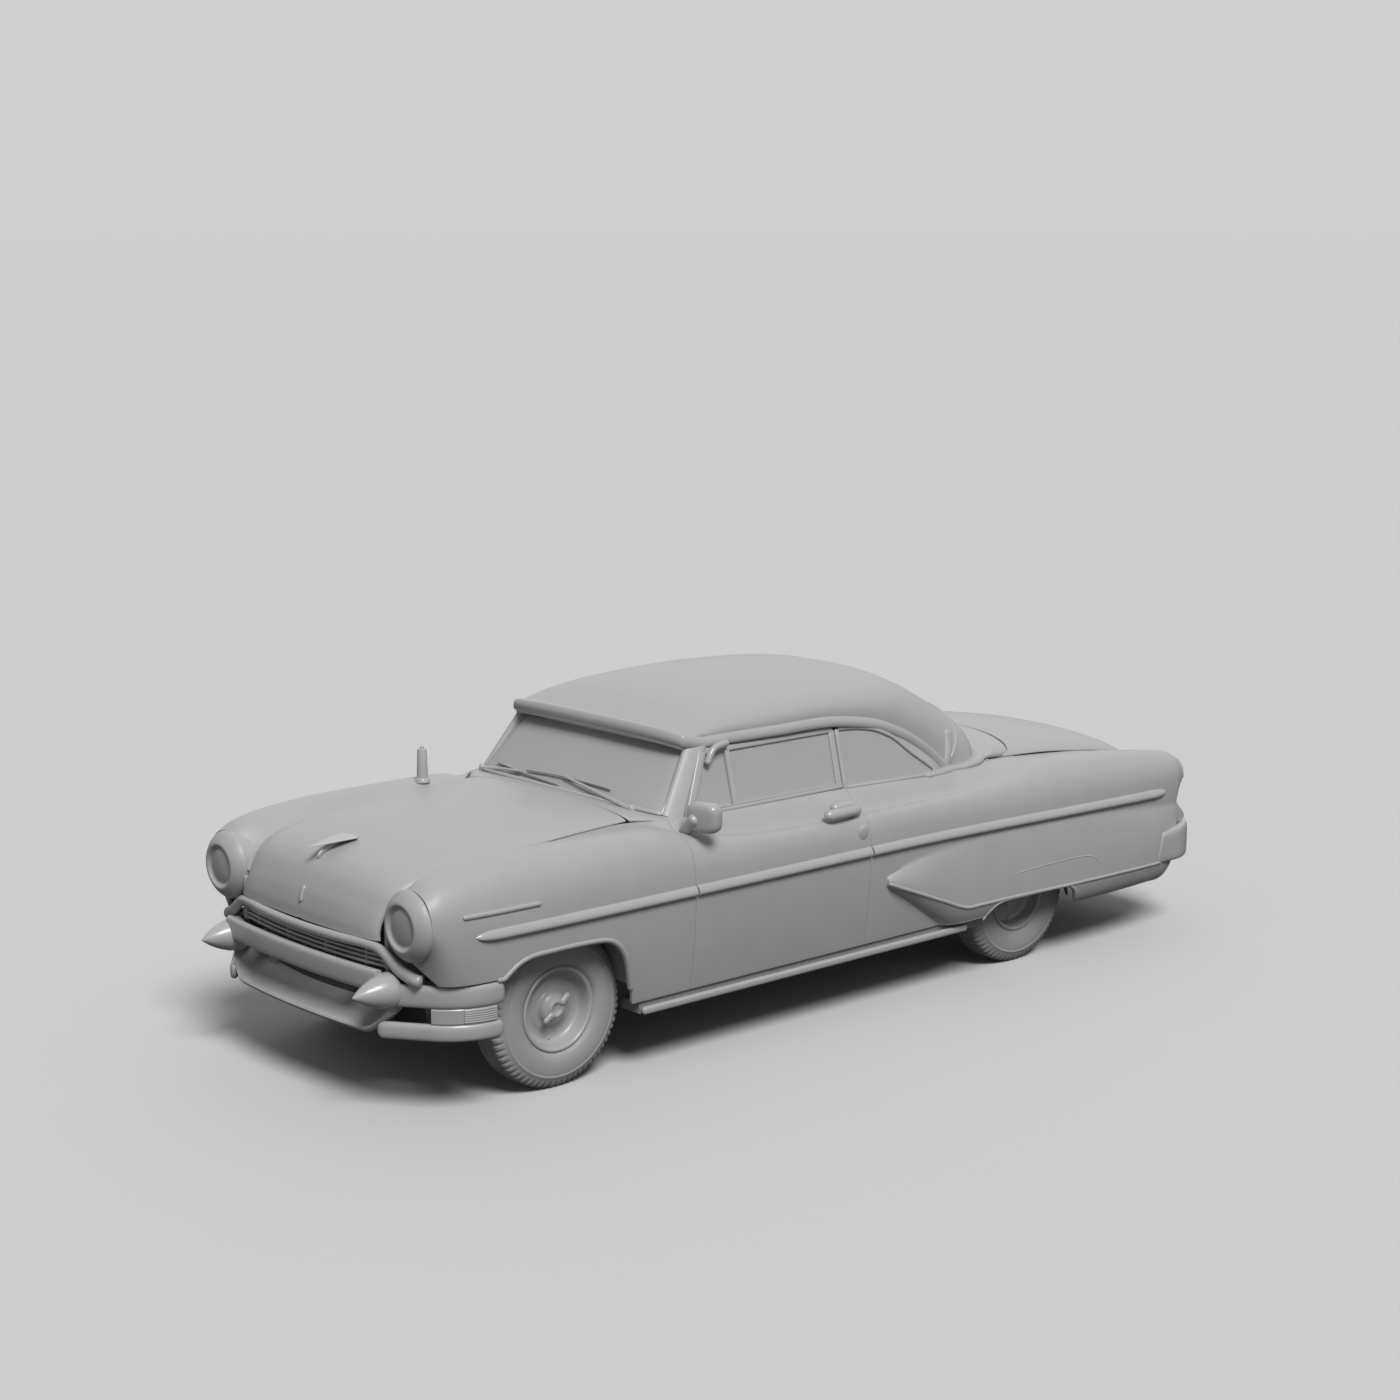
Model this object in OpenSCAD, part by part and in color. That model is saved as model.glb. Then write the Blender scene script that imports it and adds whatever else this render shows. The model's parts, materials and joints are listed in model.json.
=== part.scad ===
// Two-door hardtop coupe of the mid-1950s, real size in millimetres.
// +X is forward, +Y is the car's left, +Z is up, and the origin is on the ground below the middle of the car.

/* [Overall] */
// Distance between the front and rear axles
wheelbase = 3124; // [3080:1:3170]
// Front axle to the tips of the front bumper's bullets
front_overhang = 990; // [970:1:1010]
// Rear axle to the back of the rear bumper
rear_overhang = 1386; // [1370:1:1400]
// Width of the body over the side mouldings
body_w = 1970; // [1950:1:2000]
// Height of the belt line, where the side glass begins
belt_z = 1140; // [1130:1:1150]
// Height of the roof's crown above the belt line
cabin_h = 500; // [487:1:517]
// Height of the bottom of the sills
sill_z = 285; // [270:1:290]

/* [Panels] */
// Thickness of a fender, quarter, hood or lid with its inner stiffening
panel_t = 22; // [18:1:26]
// Thickness of the roof with its headlining
roof_t = 30; // [24:1:34]
// Gap round a door, the hood and the trunk lid
shut_gap = 6; // [5:0.5:8]
// Thickness of the glass
glass_t = 6; // [5:0.5:8]
// Lean of the side glass from upright, in degrees
glass_lean = 20; // [18:0.5:21]
// Thickness of a door's window frame
frame_t = 26; // [20:1:30]
// How far the side moulding stands off the sheet
spear_d = 13; // [10:0.5:14]

/* [Wheels] */
// From the body's side to the middle of a tyre
wheel_inset = 242; // [236:1:252]
// Radius of the tyre
tyre_r = 370; // [360:1:375]
// Width of the tyre's section
tyre_w = 204; // [190:1:215]
// Radius of the rim's flange
rim_r = 196; // [190:1:200]
// Radius of the spindle that a wheel turns on
spindle_r = 25; // [22:0.5:28]
// Radius of a steering kingpin
kingpin_r = 20; // [18:0.5:22]
// Radial running clearance of spindles, kingpins and the steering shaft
run_gap = 0.08; // [0.05:0.01:0.1]

/* [Fittings] */
// Radius of a headlamp's lens
lamp_r = 89; // [80:1:95]
// Outer radius of a headlamp's surround
pod_r = 178; // [174:1:184]
// Height of the front bumper's bars
bumper_h = 104; // [96:1:110]
// Radius of a bumper bullet
bullet_r = 82; // [76:1:86]
// Height of the rear bumper
rear_bumper_h = 166; // [156:1:176]
// Radius of the steering wheel's rim
steer_r = 215; // [200:1:220]
// Radius of the tailpipe's end
tailpipe_r = 30; // [26:0.5:32]
// Height of the aerial stub
aerial_h = 168; // [120:1:200]

/* [Hidden] */
$fn = 64;

// Clearance between two pieces that touch on the real car
seat_gap = 0.3;
length = front_overhang + wheelbase + rear_overhang;
axle_f = length / 2 - front_overhang;
axle_r = axle_f - wheelbase;
half_w = body_w / 2 - spear_d;
roof_z = belt_z + cabin_h;
wheel_z = tyre_r;
wheel_y = half_w - wheel_inset;
track = 2 * wheel_y;

// A place along the car, counted forward from the front or the rear axle
function xf(d) = axle_f + d;
function xr(d) = axle_r + d;

door_front_x = xf(-701);
door_rear_x = xr(1272);
door_low_z = sill_z + 65;
hinge_y = body_w / 2;

// Smooth curve through a table: every column is a cubic through its rows, with the first column as the place
function row_of(tab, x, i = 0) = (i >= len(tab) - 2 || x <= tab[i + 1][0]) ? i : row_of(tab, x, i + 1);
function slope(tab, i, c) =
  let (a = max(i - 1, 0), b = min(i + 1, len(tab) - 1)) (tab[b][c] - tab[a][c]) / (tab[b][0] - tab[a][0]);
function along(tab, x, c) =
  let (
    i = row_of(tab, x), h = tab[i + 1][0] - tab[i][0], t = (x - tab[i][0]) / h,
    p = tab[i][c], q = tab[i + 1][c], m = slope(tab, i, c) * h, n = slope(tab, i + 1, c) * h
  ) p + m * t + (3 * (q - p) - 2 * m - n) * t * t + (2 * (p - q) + m + n) * t * t * t;
function mix(a, b, t) = a + (b - a) * t;
function ramp(a, b, v) = let (t = min(max((v - a) / (b - a), 0), 1)) t * t * (3 - 2 * t);
function steps(a, b, n) = [for (i = [0:n]) mix(a, b, i / n)];

// A closed solid between an outer and an inner grid of points. Rows run forward, columns run up and then inward.
module shell_between(outer, inner) {
  nr = len(outer);
  nc = len(outer[0]);
  points = concat([for (r = outer) each r], [for (r = inner) each r]);
  function o(i, j) = i * nc + j;
  function n(i, j) = nr * nc + i * nc + j;
  polyhedron(points, concat(
    [for (i = [0:nr - 2], j = [0:nc - 2]) each [[o(i, j), o(i + 1, j), o(i + 1, j + 1)], [o(i, j), o(i + 1, j + 1), o(i, j + 1)]]],
    [for (i = [0:nr - 2], j = [0:nc - 2]) each [[n(i, j), n(i + 1, j + 1), n(i + 1, j)], [n(i, j), n(i, j + 1), n(i + 1, j + 1)]]],
    [for (i = [0:nr - 2]) each [[o(i + 1, 0), o(i, 0), n(i, 0)], [o(i + 1, 0), n(i, 0), n(i + 1, 0)]]],
    [for (i = [0:nr - 2], j = nc - 1) each [[o(i, j), o(i + 1, j), n(i + 1, j)], [o(i, j), n(i + 1, j), n(i, j)]]],
    [for (j = [0:nc - 2]) each [[o(0, j), o(0, j + 1), n(0, j + 1)], [o(0, j), n(0, j + 1), n(0, j)]]],
    [for (j = [0:nc - 2], i = nr - 1) each [[o(i, j + 1), o(i, j), n(i, j)], [o(i, j + 1), n(i, j), n(i, j + 1)]]]
  ));
}

// A solid through closed rings of points, each flat and with the same number of points
module ring_loft(rings) {
  n = len(rings[0]);
  last = len(rings) - 1;
  polyhedron([for (g = rings) each g], concat(
    [for (i = [0:last - 1], j = [0:n - 1]) let (k = (j + 1) % n) each [
      [i * n + j, (i + 1) * n + j, (i + 1) * n + k], [i * n + j, (i + 1) * n + k, i * n + k]]],
    [[for (j = [0:n - 1]) j]],
    [[for (j = [n - 1:-1:0]) last * n + j]]
  ));
}
// A round bar along a path
module bar_along(path, r, sides = 8) {
  function unit(v) = v / norm(v);
  function heading(i) = unit(path[min(i + 1, len(path) - 1)] - path[max(i - 1, 0)]);
  ring_loft([for (i = [0:len(path) - 1]) let (t = heading(i), b = unit(cross(t, [0, 0.001, 1])), u = cross(b, t))
    [for (k = [0:sides - 1]) path[i] + r * (b * cos(360 * k / sides) - u * sin(360 * k / sides))]]);
}

module both_sides() {
  children();
  mirror([0, 1, 0]) children();
}
module box(x0, x1, y0, y1, z0, z1) {
  translate([x0, y0, z0]) cube([x1 - x0, y1 - y0, z1 - z0]);
}
// A flat outline, drawn in X and Z, from y0 to y1
module side_plate(y0, y1) {
  translate([0, y1, 0]) rotate([90, 0, 0]) linear_extrude(y1 - y0) children();
}

// Headlamp place: middle of the lens, and the seam between the surround and the fender
pod_y = half_w - 232;
pod_z = belt_z - 256;
pod_seam_x = xf(758);

// Side of the body, one row for each place along the car. The low edge, the widest line, the crown and the inner edge
// each have an inset from half_w and a height; the heights of the crown and the inner edge are drops from the belt.
LOW_IN = 1; LOW_Z = 2; WIDE_IN = 3; WIDE_Z = 4; CROWN_IN = 5; CROWN_DROP = 6; EDGE_IN = 7; EDGE_DROP = 8;
SIDE = [
  // place      low        widest     crown       inner edge
  [xr(-1378), 178, 820, 152, 850, 186, 258, 227, 285],
  [xr(-1326), 150, 720, 112, 830, 190, 194, 300, 290],
  [xr(-1236), 100, 470,  67, 800, 194, 140, 370, 312],
  [xr(-1086),  90, 305,  42, 800, 196, 112, 366, 196],
  [xr(-936),   77, 300,  27, 805, 197,  98, 366, 140],
  [xr(-636),   67, 296,  12, 810, 200,  65, 366,  98],
  [xr(-115),   57, 296,   0, 815, 202,  36, 358,  55],
  [xr(214),    52, 330,   0, 818, 192,  34, 300,  42],
  [xr(455),    50, 352,   0, 819, 180,  33, 281,  38],
  [xr(614),    50, 350,   1, 820, 177,  32, 207,  36],
  [xr(1269),   47, 350,   2, 825, 169,  16, 204,  18],
  [xf(-1130),  47, 350,   2, 832, 167,   0, 204,   0],
  [xf(-701),   47, 350,   3, 832, 177,   2, 224,   3],
  [xf(-558),   47, 350,   4, 832, 187,   2, 328,  16],
  [xf(-470),   47, 350,   4, 832, 190,   1, 349,  20],
  [xf(-112),   50, 350,   6, 832, 207,  -1, 352,  39],
  [xf(277),    54, 350,  12, 832, 220,   2, 352,  72],
  [xf(561),    78, 480,  24, 840, 228,  24, 372, 108],
  [xf(690),   120, 610,  40, 860, 231,  44, 400, 168],
  [pod_seam_x, 226, pod_z - pod_r, 232 - pod_r, pod_z, 232, 256 - pod_r, 420, 255]
];
side_power = 2.35;

// The pontoon of the rear quarter: its sharp edge, the line under it where it meets the side, the soft line above it,
// and how much of its full depth it has there
EDGE_Z = 1; UNDER_Z = 2; TOP_LINE = 3; DEPTH = 4;
pontoon_tip = door_rear_x - 118;
pontoon_out = spear_d - 5;
PONTOON = [
  [xr(-1330), 398, 362, 690, 0],
  [xr(-1030), 400, 364, 712, 0],
  [xr(-930),  402, 366, 722, 0.55],
  [xr(-457),  412, 376, 765, 0.9],
  [xr(-200),  417, 360, 776, 1],
  [xr(300),   428, 296, 785, 1],
  [xr(494),   430, 290, 782, 1],
  [xr(607),   435, 306, 774, 1],
  [xr(780),   500, 402, 762, 0.97],
  [xr(976),   578, 530, 733, 0.84],
  [pontoon_tip - 74, 619, 594, 706, 0.55],
  [pontoon_tip, 650, 632, 684, 0]
];
function bulge(x, z, base_y) = x >= pontoon_tip ? 0 :
  let (e = along(PONTOON, x, EDGE_Z), u = along(PONTOON, x, UNDER_Z), t = along(PONTOON, x, TOP_LINE))
  max(along(PONTOON, x, DEPTH), 0) * (half_w + pontoon_out - base_y)
  * (z < e ? min(max((z - u) / (e - u), 0), 1) : 1 - ramp(0.4, 1.05, (z - e) / (t - e)));

// A point of the side: s from 0 to 1 is low edge to widest, to 2 is the crown, to 3 is the inner edge
function side_yz(x, s) =
  let (v = [for (c = [0:8]) c == 0 ? x : along(SIDE, x, c)])
  s <= 1 ? let (z = mix(v[LOW_Z], v[WIDE_Z], s), y = half_w - v[WIDE_IN] - (v[LOW_IN] - v[WIDE_IN]) * pow(1 - s, 2))
    [y + bulge(x, z, y), z] :
  s <= 2 ? let (a = 90 * (s - 1), k = 2 / side_power, cz = belt_z - v[CROWN_DROP])
    [half_w - mix(v[CROWN_IN], v[WIDE_IN], pow(max(cos(a), 0), k)), mix(v[WIDE_Z], cz, pow(sin(a), k))] :
  let (t = s - 2, w = (1 - cos(180 * t)) / 2)
    [half_w - mix(v[CROWN_IN], v[EDGE_IN], t), belt_z - mix(v[CROWN_DROP], v[EDGE_DROP], w)];
function side_point(x, s, inset = 0) =
  let (
    p = side_yz(x, s), a = side_yz(x, max(s - 0.03, 0)), b = side_yz(x, min(s + 0.03, 3)),
    d = (b - a) / max(norm(b - a), 0.001)
  ) [x, p[0] - inset * d[1], p[1] + inset * d[0]];
UPPER_STEPS = [1.15, 1.3, 1.45, 1.6, 1.75, 1.88, 2, 2.25, 2.5, 2.75, 3];
function fender_steps(x) = concat(steps(0, 1, 8), UPPER_STEPS);
// Steps of the quarter, which follow the pontoon's lines
function quarter_steps(x) =
  let (
    low = along(SIDE, x, LOW_Z), wide = along(SIDE, x, WIDE_Z), q = max(min(x, pontoon_tip), xr(-1330)),
    e = along(PONTOON, q, EDGE_Z), u = along(PONTOON, q, UNDER_Z), t = along(PONTOON, q, TOP_LINE), lift = max(low + 60 - u, 0),
    lines = [low, mix(low, u + lift, 0.5), u + lift, e + lift, e + 16 + lift, mix(e + lift, max(t, e + lift + 60), 0.4), mix(e + lift, max(t, e + lift + 60), 0.75),
      max(t, e + lift + 60) + 6]
  ) concat([for (z = lines) (z - low) / (wide - low)], [1], UPPER_STEPS);
module side_panel(places, steps_at) {
  shell_between(
    [for (x = places) [for (s = steps_at(x)) side_point(x, s)]],
    [for (x = places) [for (s = steps_at(x)) side_point(x, s, panel_t)]]
  );
}

// A panel that spans the car: each row has the middle's place and height, the edge's place and height and half the width
MID_X = 1; MID_Z = 2; END_X = 3; END_Z = 4; HALF = 5;
function span_point(tab, t, a, power, inset = 0) =
  let (
    k = 2 / power, c = (cos(a) < 0 ? -1 : 1) * pow(abs(cos(a)), k), s = pow(max(sin(a), 0), k),
    dx = along(tab, t + 0.05, MID_X) - along(tab, t - 0.05, MID_X),
    dz = along(tab, t + 0.05, MID_Z) - along(tab, t - 0.05, MID_Z), l = norm([dx, dz])
  ) [
    mix(along(tab, t, END_X), along(tab, t, MID_X), s) + inset * dz / l,
    c * along(tab, t, HALF),
    mix(along(tab, t, END_Z), along(tab, t, MID_Z), s) - inset * dx / l
  ];
module span_panel(tab, t0, t1, rows, columns, power, thick) {
  shell_between(
    [for (t = steps(t0, t1, rows)) [for (a = steps(0, 180, columns)) span_point(tab, t, a, power)]],
    [for (t = steps(t0, t1, rows)) [for (a = steps(0, 180, columns)) span_point(tab, t, a, power, thick)]]
  );
}

hood_half = half_w - 360;
HOOD = [
  [0, xf(-545), belt_z + 44, xf(-570), belt_z - 16, hood_half],
  [1, xf(-260), belt_z + 36, xf(-280), belt_z - 28, hood_half],
  [2, xf(140),  belt_z + 18, xf(120),  belt_z - 53, hood_half],
  [3, xf(440),  belt_z,      xf(400),  belt_z - 82, hood_half - 6],
  [4, xf(640),  belt_z - 48, xf(590),  belt_z - 118, hood_half - 22],
  [5, xf(750),  belt_z - 112, xf(690), belt_z - 168, hood_half - 46],
  [6, xf(810),  belt_z - 204, xf(752), belt_z - 248, hood_half - 66],
  [7, xf(838),  belt_z - 290, xf(782), belt_z - 310, hood_half - 66],
  [8, xf(846),  belt_z - 354, xf(790), belt_z - 354, hood_half - 56]
];
lid_half = half_w - 372;
LID = [
  [0, xr(-1304), belt_z - 450, xr(-1276), belt_z - 450, lid_half - 50],
  [1, xr(-1291), belt_z - 370, xr(-1261), belt_z - 375, lid_half - 20],
  [2, xr(-1251), belt_z - 255, xr(-1216), belt_z - 290, lid_half - 8],
  [3, xr(-1156), belt_z - 150, xr(-1126), belt_z - 210, lid_half],
  [4, xr(-982),  belt_z - 74,  xr(-956),  belt_z - 144, lid_half],
  [5, xr(-716),  belt_z - 24,  xr(-686),  belt_z - 104, lid_half],
  [6, xr(-486),  belt_z - 4,   xr(-416),  belt_z - 72,  lid_half],
  [7, xr(-308),  belt_z + 4,   xr(-90),   belt_z - 54,  lid_half]
];
DECK = [
  [0, xr(-299), belt_z + 4, xr(-76),  belt_z - 54, lid_half - 10],
  [1, xr(-260), belt_z + 5, xr(60),   belt_z - 46, lid_half + 24],
  [2, xr(-170), belt_z + 5, xr(190),  belt_z - 44, lid_half + 54]
];
COWL_FRONT = [
  [0, xf(-660), belt_z + 26, xf(-692), belt_z - 10, hood_half + 120],
  [1, xf(-606), belt_z + 36, xf(-636), belt_z - 14, hood_half + 66],
  [2, xf(-553), belt_z + 43, xf(-578), belt_z - 16, hood_half + 8]
];
cowl_half = half_w - 232;
COWL_REAR = [
  [0, xf(-720), belt_z + 22, xf(-830), belt_z - 8, cowl_half],
  [1, xf(-680), belt_z + 24, xf(-770), belt_z - 8, cowl_half],
  [2, xf(-650), belt_z + 26, xf(-740), belt_z - 8, cowl_half]
];

// Roof: each arch stands on a point of the drip rail and passes over the middle
RAIL_X = 1; RAIL_Y = 2; RAIL_Z = 3; TOP_X = 4; TOP_Z = 5;
rail_z = roof_z - 164;
rail_y = half_w - 292;
ROOF = [
  [0, xr(455),   rail_y + 10, belt_z - 42, xr(199),  roof_z - 258],
  [1, xr(564),   rail_y + 6,  mix(belt_z, rail_z, 0.18), xr(369), roof_z - 172],
  [2, xr(725),   rail_y + 4,  mix(belt_z, rail_z, 0.52), xr(528), roof_z - 95],
  [3, xr(954),   rail_y + 2,  rail_z - 60, xr(761),  roof_z - 22],
  [4, xr(1286),  rail_y + 2,  rail_z - 4,  xr(1192), roof_z],
  [5, xf(-1518), rail_y,      rail_z,      xf(-1503), roof_z - 7],
  [6, xf(-1160), rail_y - 10, rail_z + 2,  xf(-1137), roof_z - 43],
  [7, xf(-905),  rail_y - 25, rail_z,      xf(-855), roof_z - 126]
];
function roof_point(t, a, inset = 0, power = 2.6) =
  let (k = 2 / power, c = (cos(a) < 0 ? -1 : 1) * pow(abs(cos(a)), k), s = pow(max(sin(a), 0), k))
  [
    mix(along(ROOF, t, RAIL_X), along(ROOF, t, TOP_X), s),
    c * (along(ROOF, t, RAIL_Y) - inset),
    mix(along(ROOF, t, RAIL_Z), along(ROOF, t, TOP_Z) - inset, s)
  ];

// Glass between two curves that span the car: a lower and an upper one
module curved_glass(low, high, n = 12, rows = 4) {
  function at_(u, v, in) = mix(low(v), high(v), u) - [in * sign_x, 0, 0];
  sign_x = low(0.5)[0] > 0 ? 1 : -1;
  uu = sign_x > 0 ? steps(1, 0, rows) : steps(0, 1, rows);
  shell_between(
    [for (u = uu) [for (v = steps(0, 1, n)) at_(u, v, 0)]],
    [for (u = uu) [for (v = steps(0, 1, n)) at_(u, v, glass_t * 1.4)]]
  );
}

// Front end
module arch_front() {
  // Outline of the front wheel opening, with the strip that the bumper hides
  polygon([
    [xf(-355), sill_z - 60], [xf(-335), 420], [xf(-300), 560], [xf(-268), 625], [xf(-222), 672], [xf(-154), 698],
    [xf(0), 706], [xf(200), 704], [xf(268), 698], [xf(330), 676], [xf(380), 640], [xf(402), 622],
    [xf(1000), 622], [xf(1000), sill_z - 60]
  ]);
}
FENDER_PLACES = concat(steps(door_front_x + shut_gap / 2, xf(-112), 5), steps(xf(30), xf(561), 5),
  [xf(625), xf(670), xf(710), xf(738), pod_seam_x - seat_gap]);
module fender_one() {
  difference() {
    side_panel(FENDER_PLACES, function(x) fender_steps(x));
    side_plate(half_w - 300, half_w + 60) arch_front();
  }
}
module fender_left() { color("dimgray") fender_one(); }
module fender_right() { color("dimgray") mirror([0, 1, 0]) fender_one(); }
module hood() {
  color("dimgray") span_panel(HOOD, 0, 8, 16, 14, 2.1, panel_t);
  // Ornament on the hood's ridge: a flat swept wing on a low foot
  color("silver") {
    translate([xf(620), 0, belt_z - 46]) side_wedge();
    translate([xf(545), 0, belt_z - 24]) ornament_wing();
  }
}
module side_wedge() {
  rotate([90, 0, 0]) translate([0, 0, -9]) linear_extrude(18)
    polygon([[-90, -10], [125, -70], [165, 12], [120, 10], [-90, 22]]);
}
module ornament_wing() {
  rotate([0, 5, 0]) linear_extrude(9) polygon([[235, 0], [170, 26], [-20, 92], [20, 20], [20, -20], [-20, -92], [170, -26]]);
}
module cowl() {
  color("dimgray") {
    span_panel(COWL_FRONT, 0, 2, 2, 12, 2.1, 40);
    span_panel(COWL_REAR, 0, 2, 2, 12, 2.1, 44);
  }
}

// Hood-lip moulding and its three bars, the front's finest work
moulding_r = 20;
moulding_z = belt_z - 380;
MOULDING = [
  [xf(853), 0, moulding_z], [xf(850), 160, moulding_z + 1], [xf(838), 330, moulding_z + 3], [xf(816), 470, moulding_z + 3],
  [xf(798), 560, moulding_z - 6], [xf(788), 610, moulding_z - 36], [xf(776), 670, moulding_z - 78],
  [xf(757), 736, moulding_z - 108], [xf(742), 782, moulding_z - 124]
];
function mirrored(path) = concat([for (i = [len(path) - 1:-1:1]) [path[i][0], -path[i][1], path[i][2]]], path);
grille_r = 3400;
module plan_arc(front_x, radius, half, z) {
  turn = asin(half / radius);
  translate([front_x - radius, 0, z]) rotate([0, 0, -turn]) rotate_extrude(angle = 2 * turn, $fn = 360)
    translate([radius, 0]) children();
}
module grille() {
  color("silver") {
    bar_along(mirrored(MOULDING), moulding_r);
    for (k = [0:2]) plan_arc(xf(822), grille_r, 640 - 12 * k, belt_z - 428 - 22 * k) translate([-18, -6]) square([16, 12]);
    both_sides() for (y = [150, 430]) box(xf(740), xf(786) + (430 - y) * 0.08, y, y + 10, belt_z - 488, moulding_z);
    box(xf(726), xf(741), -470, 470, belt_z - 500, belt_z - 400);
  }
}
module radiator() {
  color("black") box(xf(596), xf(655), -rail_in + seat_gap, rail_in - seat_gap, 420, belt_z - 290);
}

bumper_z = 565;
bumper_d = 40;
corner_r = 331;
bumper_y = half_w - 27;
corner_x = xf(440);
corner_turn = 35.8;
module bumper_profile(h, d) {
  intersection() {
    translate([-d, -h / 2]) square([d, h]);
    translate([-h * 0.85, 0]) circle(h * 0.85);
  }
}
// A bumper bar: each row of its path has a plan point, the way it faces, and the bar's height, depth and level
module bumper_bar(path) {
  ring_loft([for (p = path) let (out = [p[2], p[3]], h = p[4], d = p[5]) concat(
    [for (k = [-4:4]) let (u = k / 4, in = 0.17 * h * u * u) [p[0] - in * out[0], p[1] - in * out[1], p[6] + u * h / 2]],
    [for (u = [1, -1]) [p[0] - d * out[0], p[1] - d * out[1], p[6] + u * h / 2]]
  )]);
}
// One side of a bar, from its end past the corner and on toward the middle
function wing_path(tail, run, h, d, z) =
  let (cy = bumper_y - corner_r, t = corner_turn)
  concat(
    [[corner_x - tail, bumper_y, 0, 1, h, d, z]],
    [for (a = steps(90, t, 7)) [corner_x + corner_r * cos(a), cy + corner_r * sin(a), cos(a), sin(a), h, d, z]],
    [[corner_x + corner_r * cos(t) + run * sin(t), cy + corner_r * sin(t) - run * cos(t), cos(t), sin(t), h, d, z]]
  );
function across(path) = concat(path, [for (i = [len(path) - 1:-1:0]) let (p = path[i]) [p[0], -p[1], p[2], -p[3], p[4], p[5], p[6]]]);
blade_x = xf(896);
blade_r = 5200;
function blade_path() = [for (y = steps(bullet_y, -bullet_y, 10))
  [blade_x - blade_r + sqrt(blade_r * blade_r - y * y), y, cos(asin(y / blade_r)), y / blade_r, bumper_h, bumper_d, 624]];
function pan_path() = concat(wing_path(40, 205, 78, bumper_d, 402), [
  [xf(838), 590, 0.98, 0.2, 60, 60, 396], [xf(852), 480, 1, 0.05, 44, 90, 394], [xf(864), 240, 1, 0.02, 44, 100, 394], [xf(868), 60, 1, 0.005, 44, 100, 394]
]);
bullet_y = half_w - 350;
bullet_z = 578;
// A bumper bullet: a round base that draws in to a point
BULLET = [for (a = [86, 66, 46, 24, 0]) [-30 + 190 * pow(sin(a), 1.15), pow(cos(a), 0.75)]];
module bullet(sides = 18) {
  rings = concat([[-60, 0.84], [-46, 0.98]], [for (k = [len(BULLET) - 1:-1:0]) BULLET[k]]);
  ring_loft([for (g = rings) [for (k = [0:sides - 1]) [g[0], -bullet_r * g[1] * sin(360 * k / sides), bullet_r * g[1] * cos(360 * k / sides)]]]);
}
module front_bumper() {
  color("silver") {
    bumper_bar(blade_path());
    bumper_bar(across(pan_path()));
    both_sides() {
      bumper_bar(wing_path(48, 205, bumper_h, bumper_d, bumper_z));
      translate([length / 2 - 160, bullet_y, bullet_z]) bullet();
      box(xf(790), xf(838), 520, 560, 380, 520);
      box(xf(736), xf(850), rail_in, rail_in + rail_w, 590, 640);
      box(xf(640), xf(738), rail_in, rail_in + rail_w, 512 + seat_gap, 640);
    }
  }
}
module headlamp_surrounds() {
  color("dimgray") both_sides() translate([pod_seam_x, pod_y, pod_z]) rotate([0, 90, 0]) rotate_extrude()
    polygon([
      [pod_r - 30, 0], [pod_r, 0], [pod_r - 2, 6], [pod_r - 8, 14], [pod_r - 18, 23], [pod_r - 30, 32], [pod_r - 42, 41],
      [pod_r - 53, 49], [pod_r - 62, 54.5], [lamp_r + 18, 57.5], [lamp_r + 9, 57], [lamp_r + 4, 53], [lamp_r + 1, 45],
      [lamp_r + 1, 10], [lamp_r + 30, 0]
    ]);
}
module headlamp_lenses() {
  color("gainsboro") both_sides() translate([pod_seam_x, pod_y, pod_z]) rotate([0, 90, 0]) rotate_extrude() {
    polygon(concat([[0, -40], [lamp_r * 0.5, -30], [lamp_r + 0.7, 12]],
      [for (a = [0:12:84]) [lamp_r * cos(a), 24 + 20 * sin(a)]], [[0, 44]]));
  }
}
module parking_lamps() {
  color("gainsboro") both_sides() {
    translate([corner_x, bumper_y - corner_r, 441 + seat_gap]) rotate([0, 0, corner_turn]) rotate_extrude(angle = 90 - corner_turn, $fn = 96)
      translate([corner_r - 34, 0]) square([28, 72 - 2 * seat_gap]);
  }
}

// Rear end
module arch_rear() {
  polygon([
    [xr(455), sill_z - 60], [xr(440), 330], [xr(400), 385], [xr(340), 418], [xr(200), 424], [xr(-180), 418],
    [xr(-230), 400], [xr(-262), 370], [xr(-285), 320], [xr(-300), sill_z - 60]
  ]);
}
QUARTER_PLACES = concat(
  [xr(-1318), xr(-1270), xr(-1220), xr(-1140), xr(-1030), xr(-930), xr(-740), xr(-560)], steps(xr(-400), xr(214), 4),
  [xr(330), xr(455), xr(540), xr(614), xr(760)],
  [xr(880), xr(976), pontoon_tip - 74, pontoon_tip, door_rear_x - shut_gap / 2]
);
module quarter_one() {
  difference() {
    side_panel(QUARTER_PLACES, function(x) quarter_steps(x));
    side_plate(half_w - 200, half_w + 80) arch_rear();
  }
}
module quarter_left() { color("dimgray") quarter_one(); }
module quarter_right() { color("dimgray") mirror([0, 1, 0]) quarter_one(); }
module trunk_lid() {
  color("dimgray") span_panel(LID, 0, 7, 14, 14, 2.1, panel_t);
}
module rear_deck() {
  color("dimgray") span_panel(DECK, 0, 2, 2, 14, 2, 30);
}
tail_x = xr(-1262);
module tail_panel() {
  color("dimgray") {
    box(tail_x, tail_x + 24, -half_w + 134, half_w - 134, 370, belt_z - 458);
    both_sides() translate([tail_x + 24, 0, 0]) rotate([90, 0, -90]) linear_extrude(24) polygon([
      [-half_w + 134, belt_z - 458.5], [-lid_half + 42, belt_z - 458.5], [-lid_half + 12, belt_z - 370],
      [-half_w + 300, belt_z - 350], [-half_w + 160, belt_z - 390]
    ]);
  }
}
rear_corner_r = 250;
rear_y = half_w;
rear_x = -length / 2 + 2;
rear_bumper_z = 482;
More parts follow.
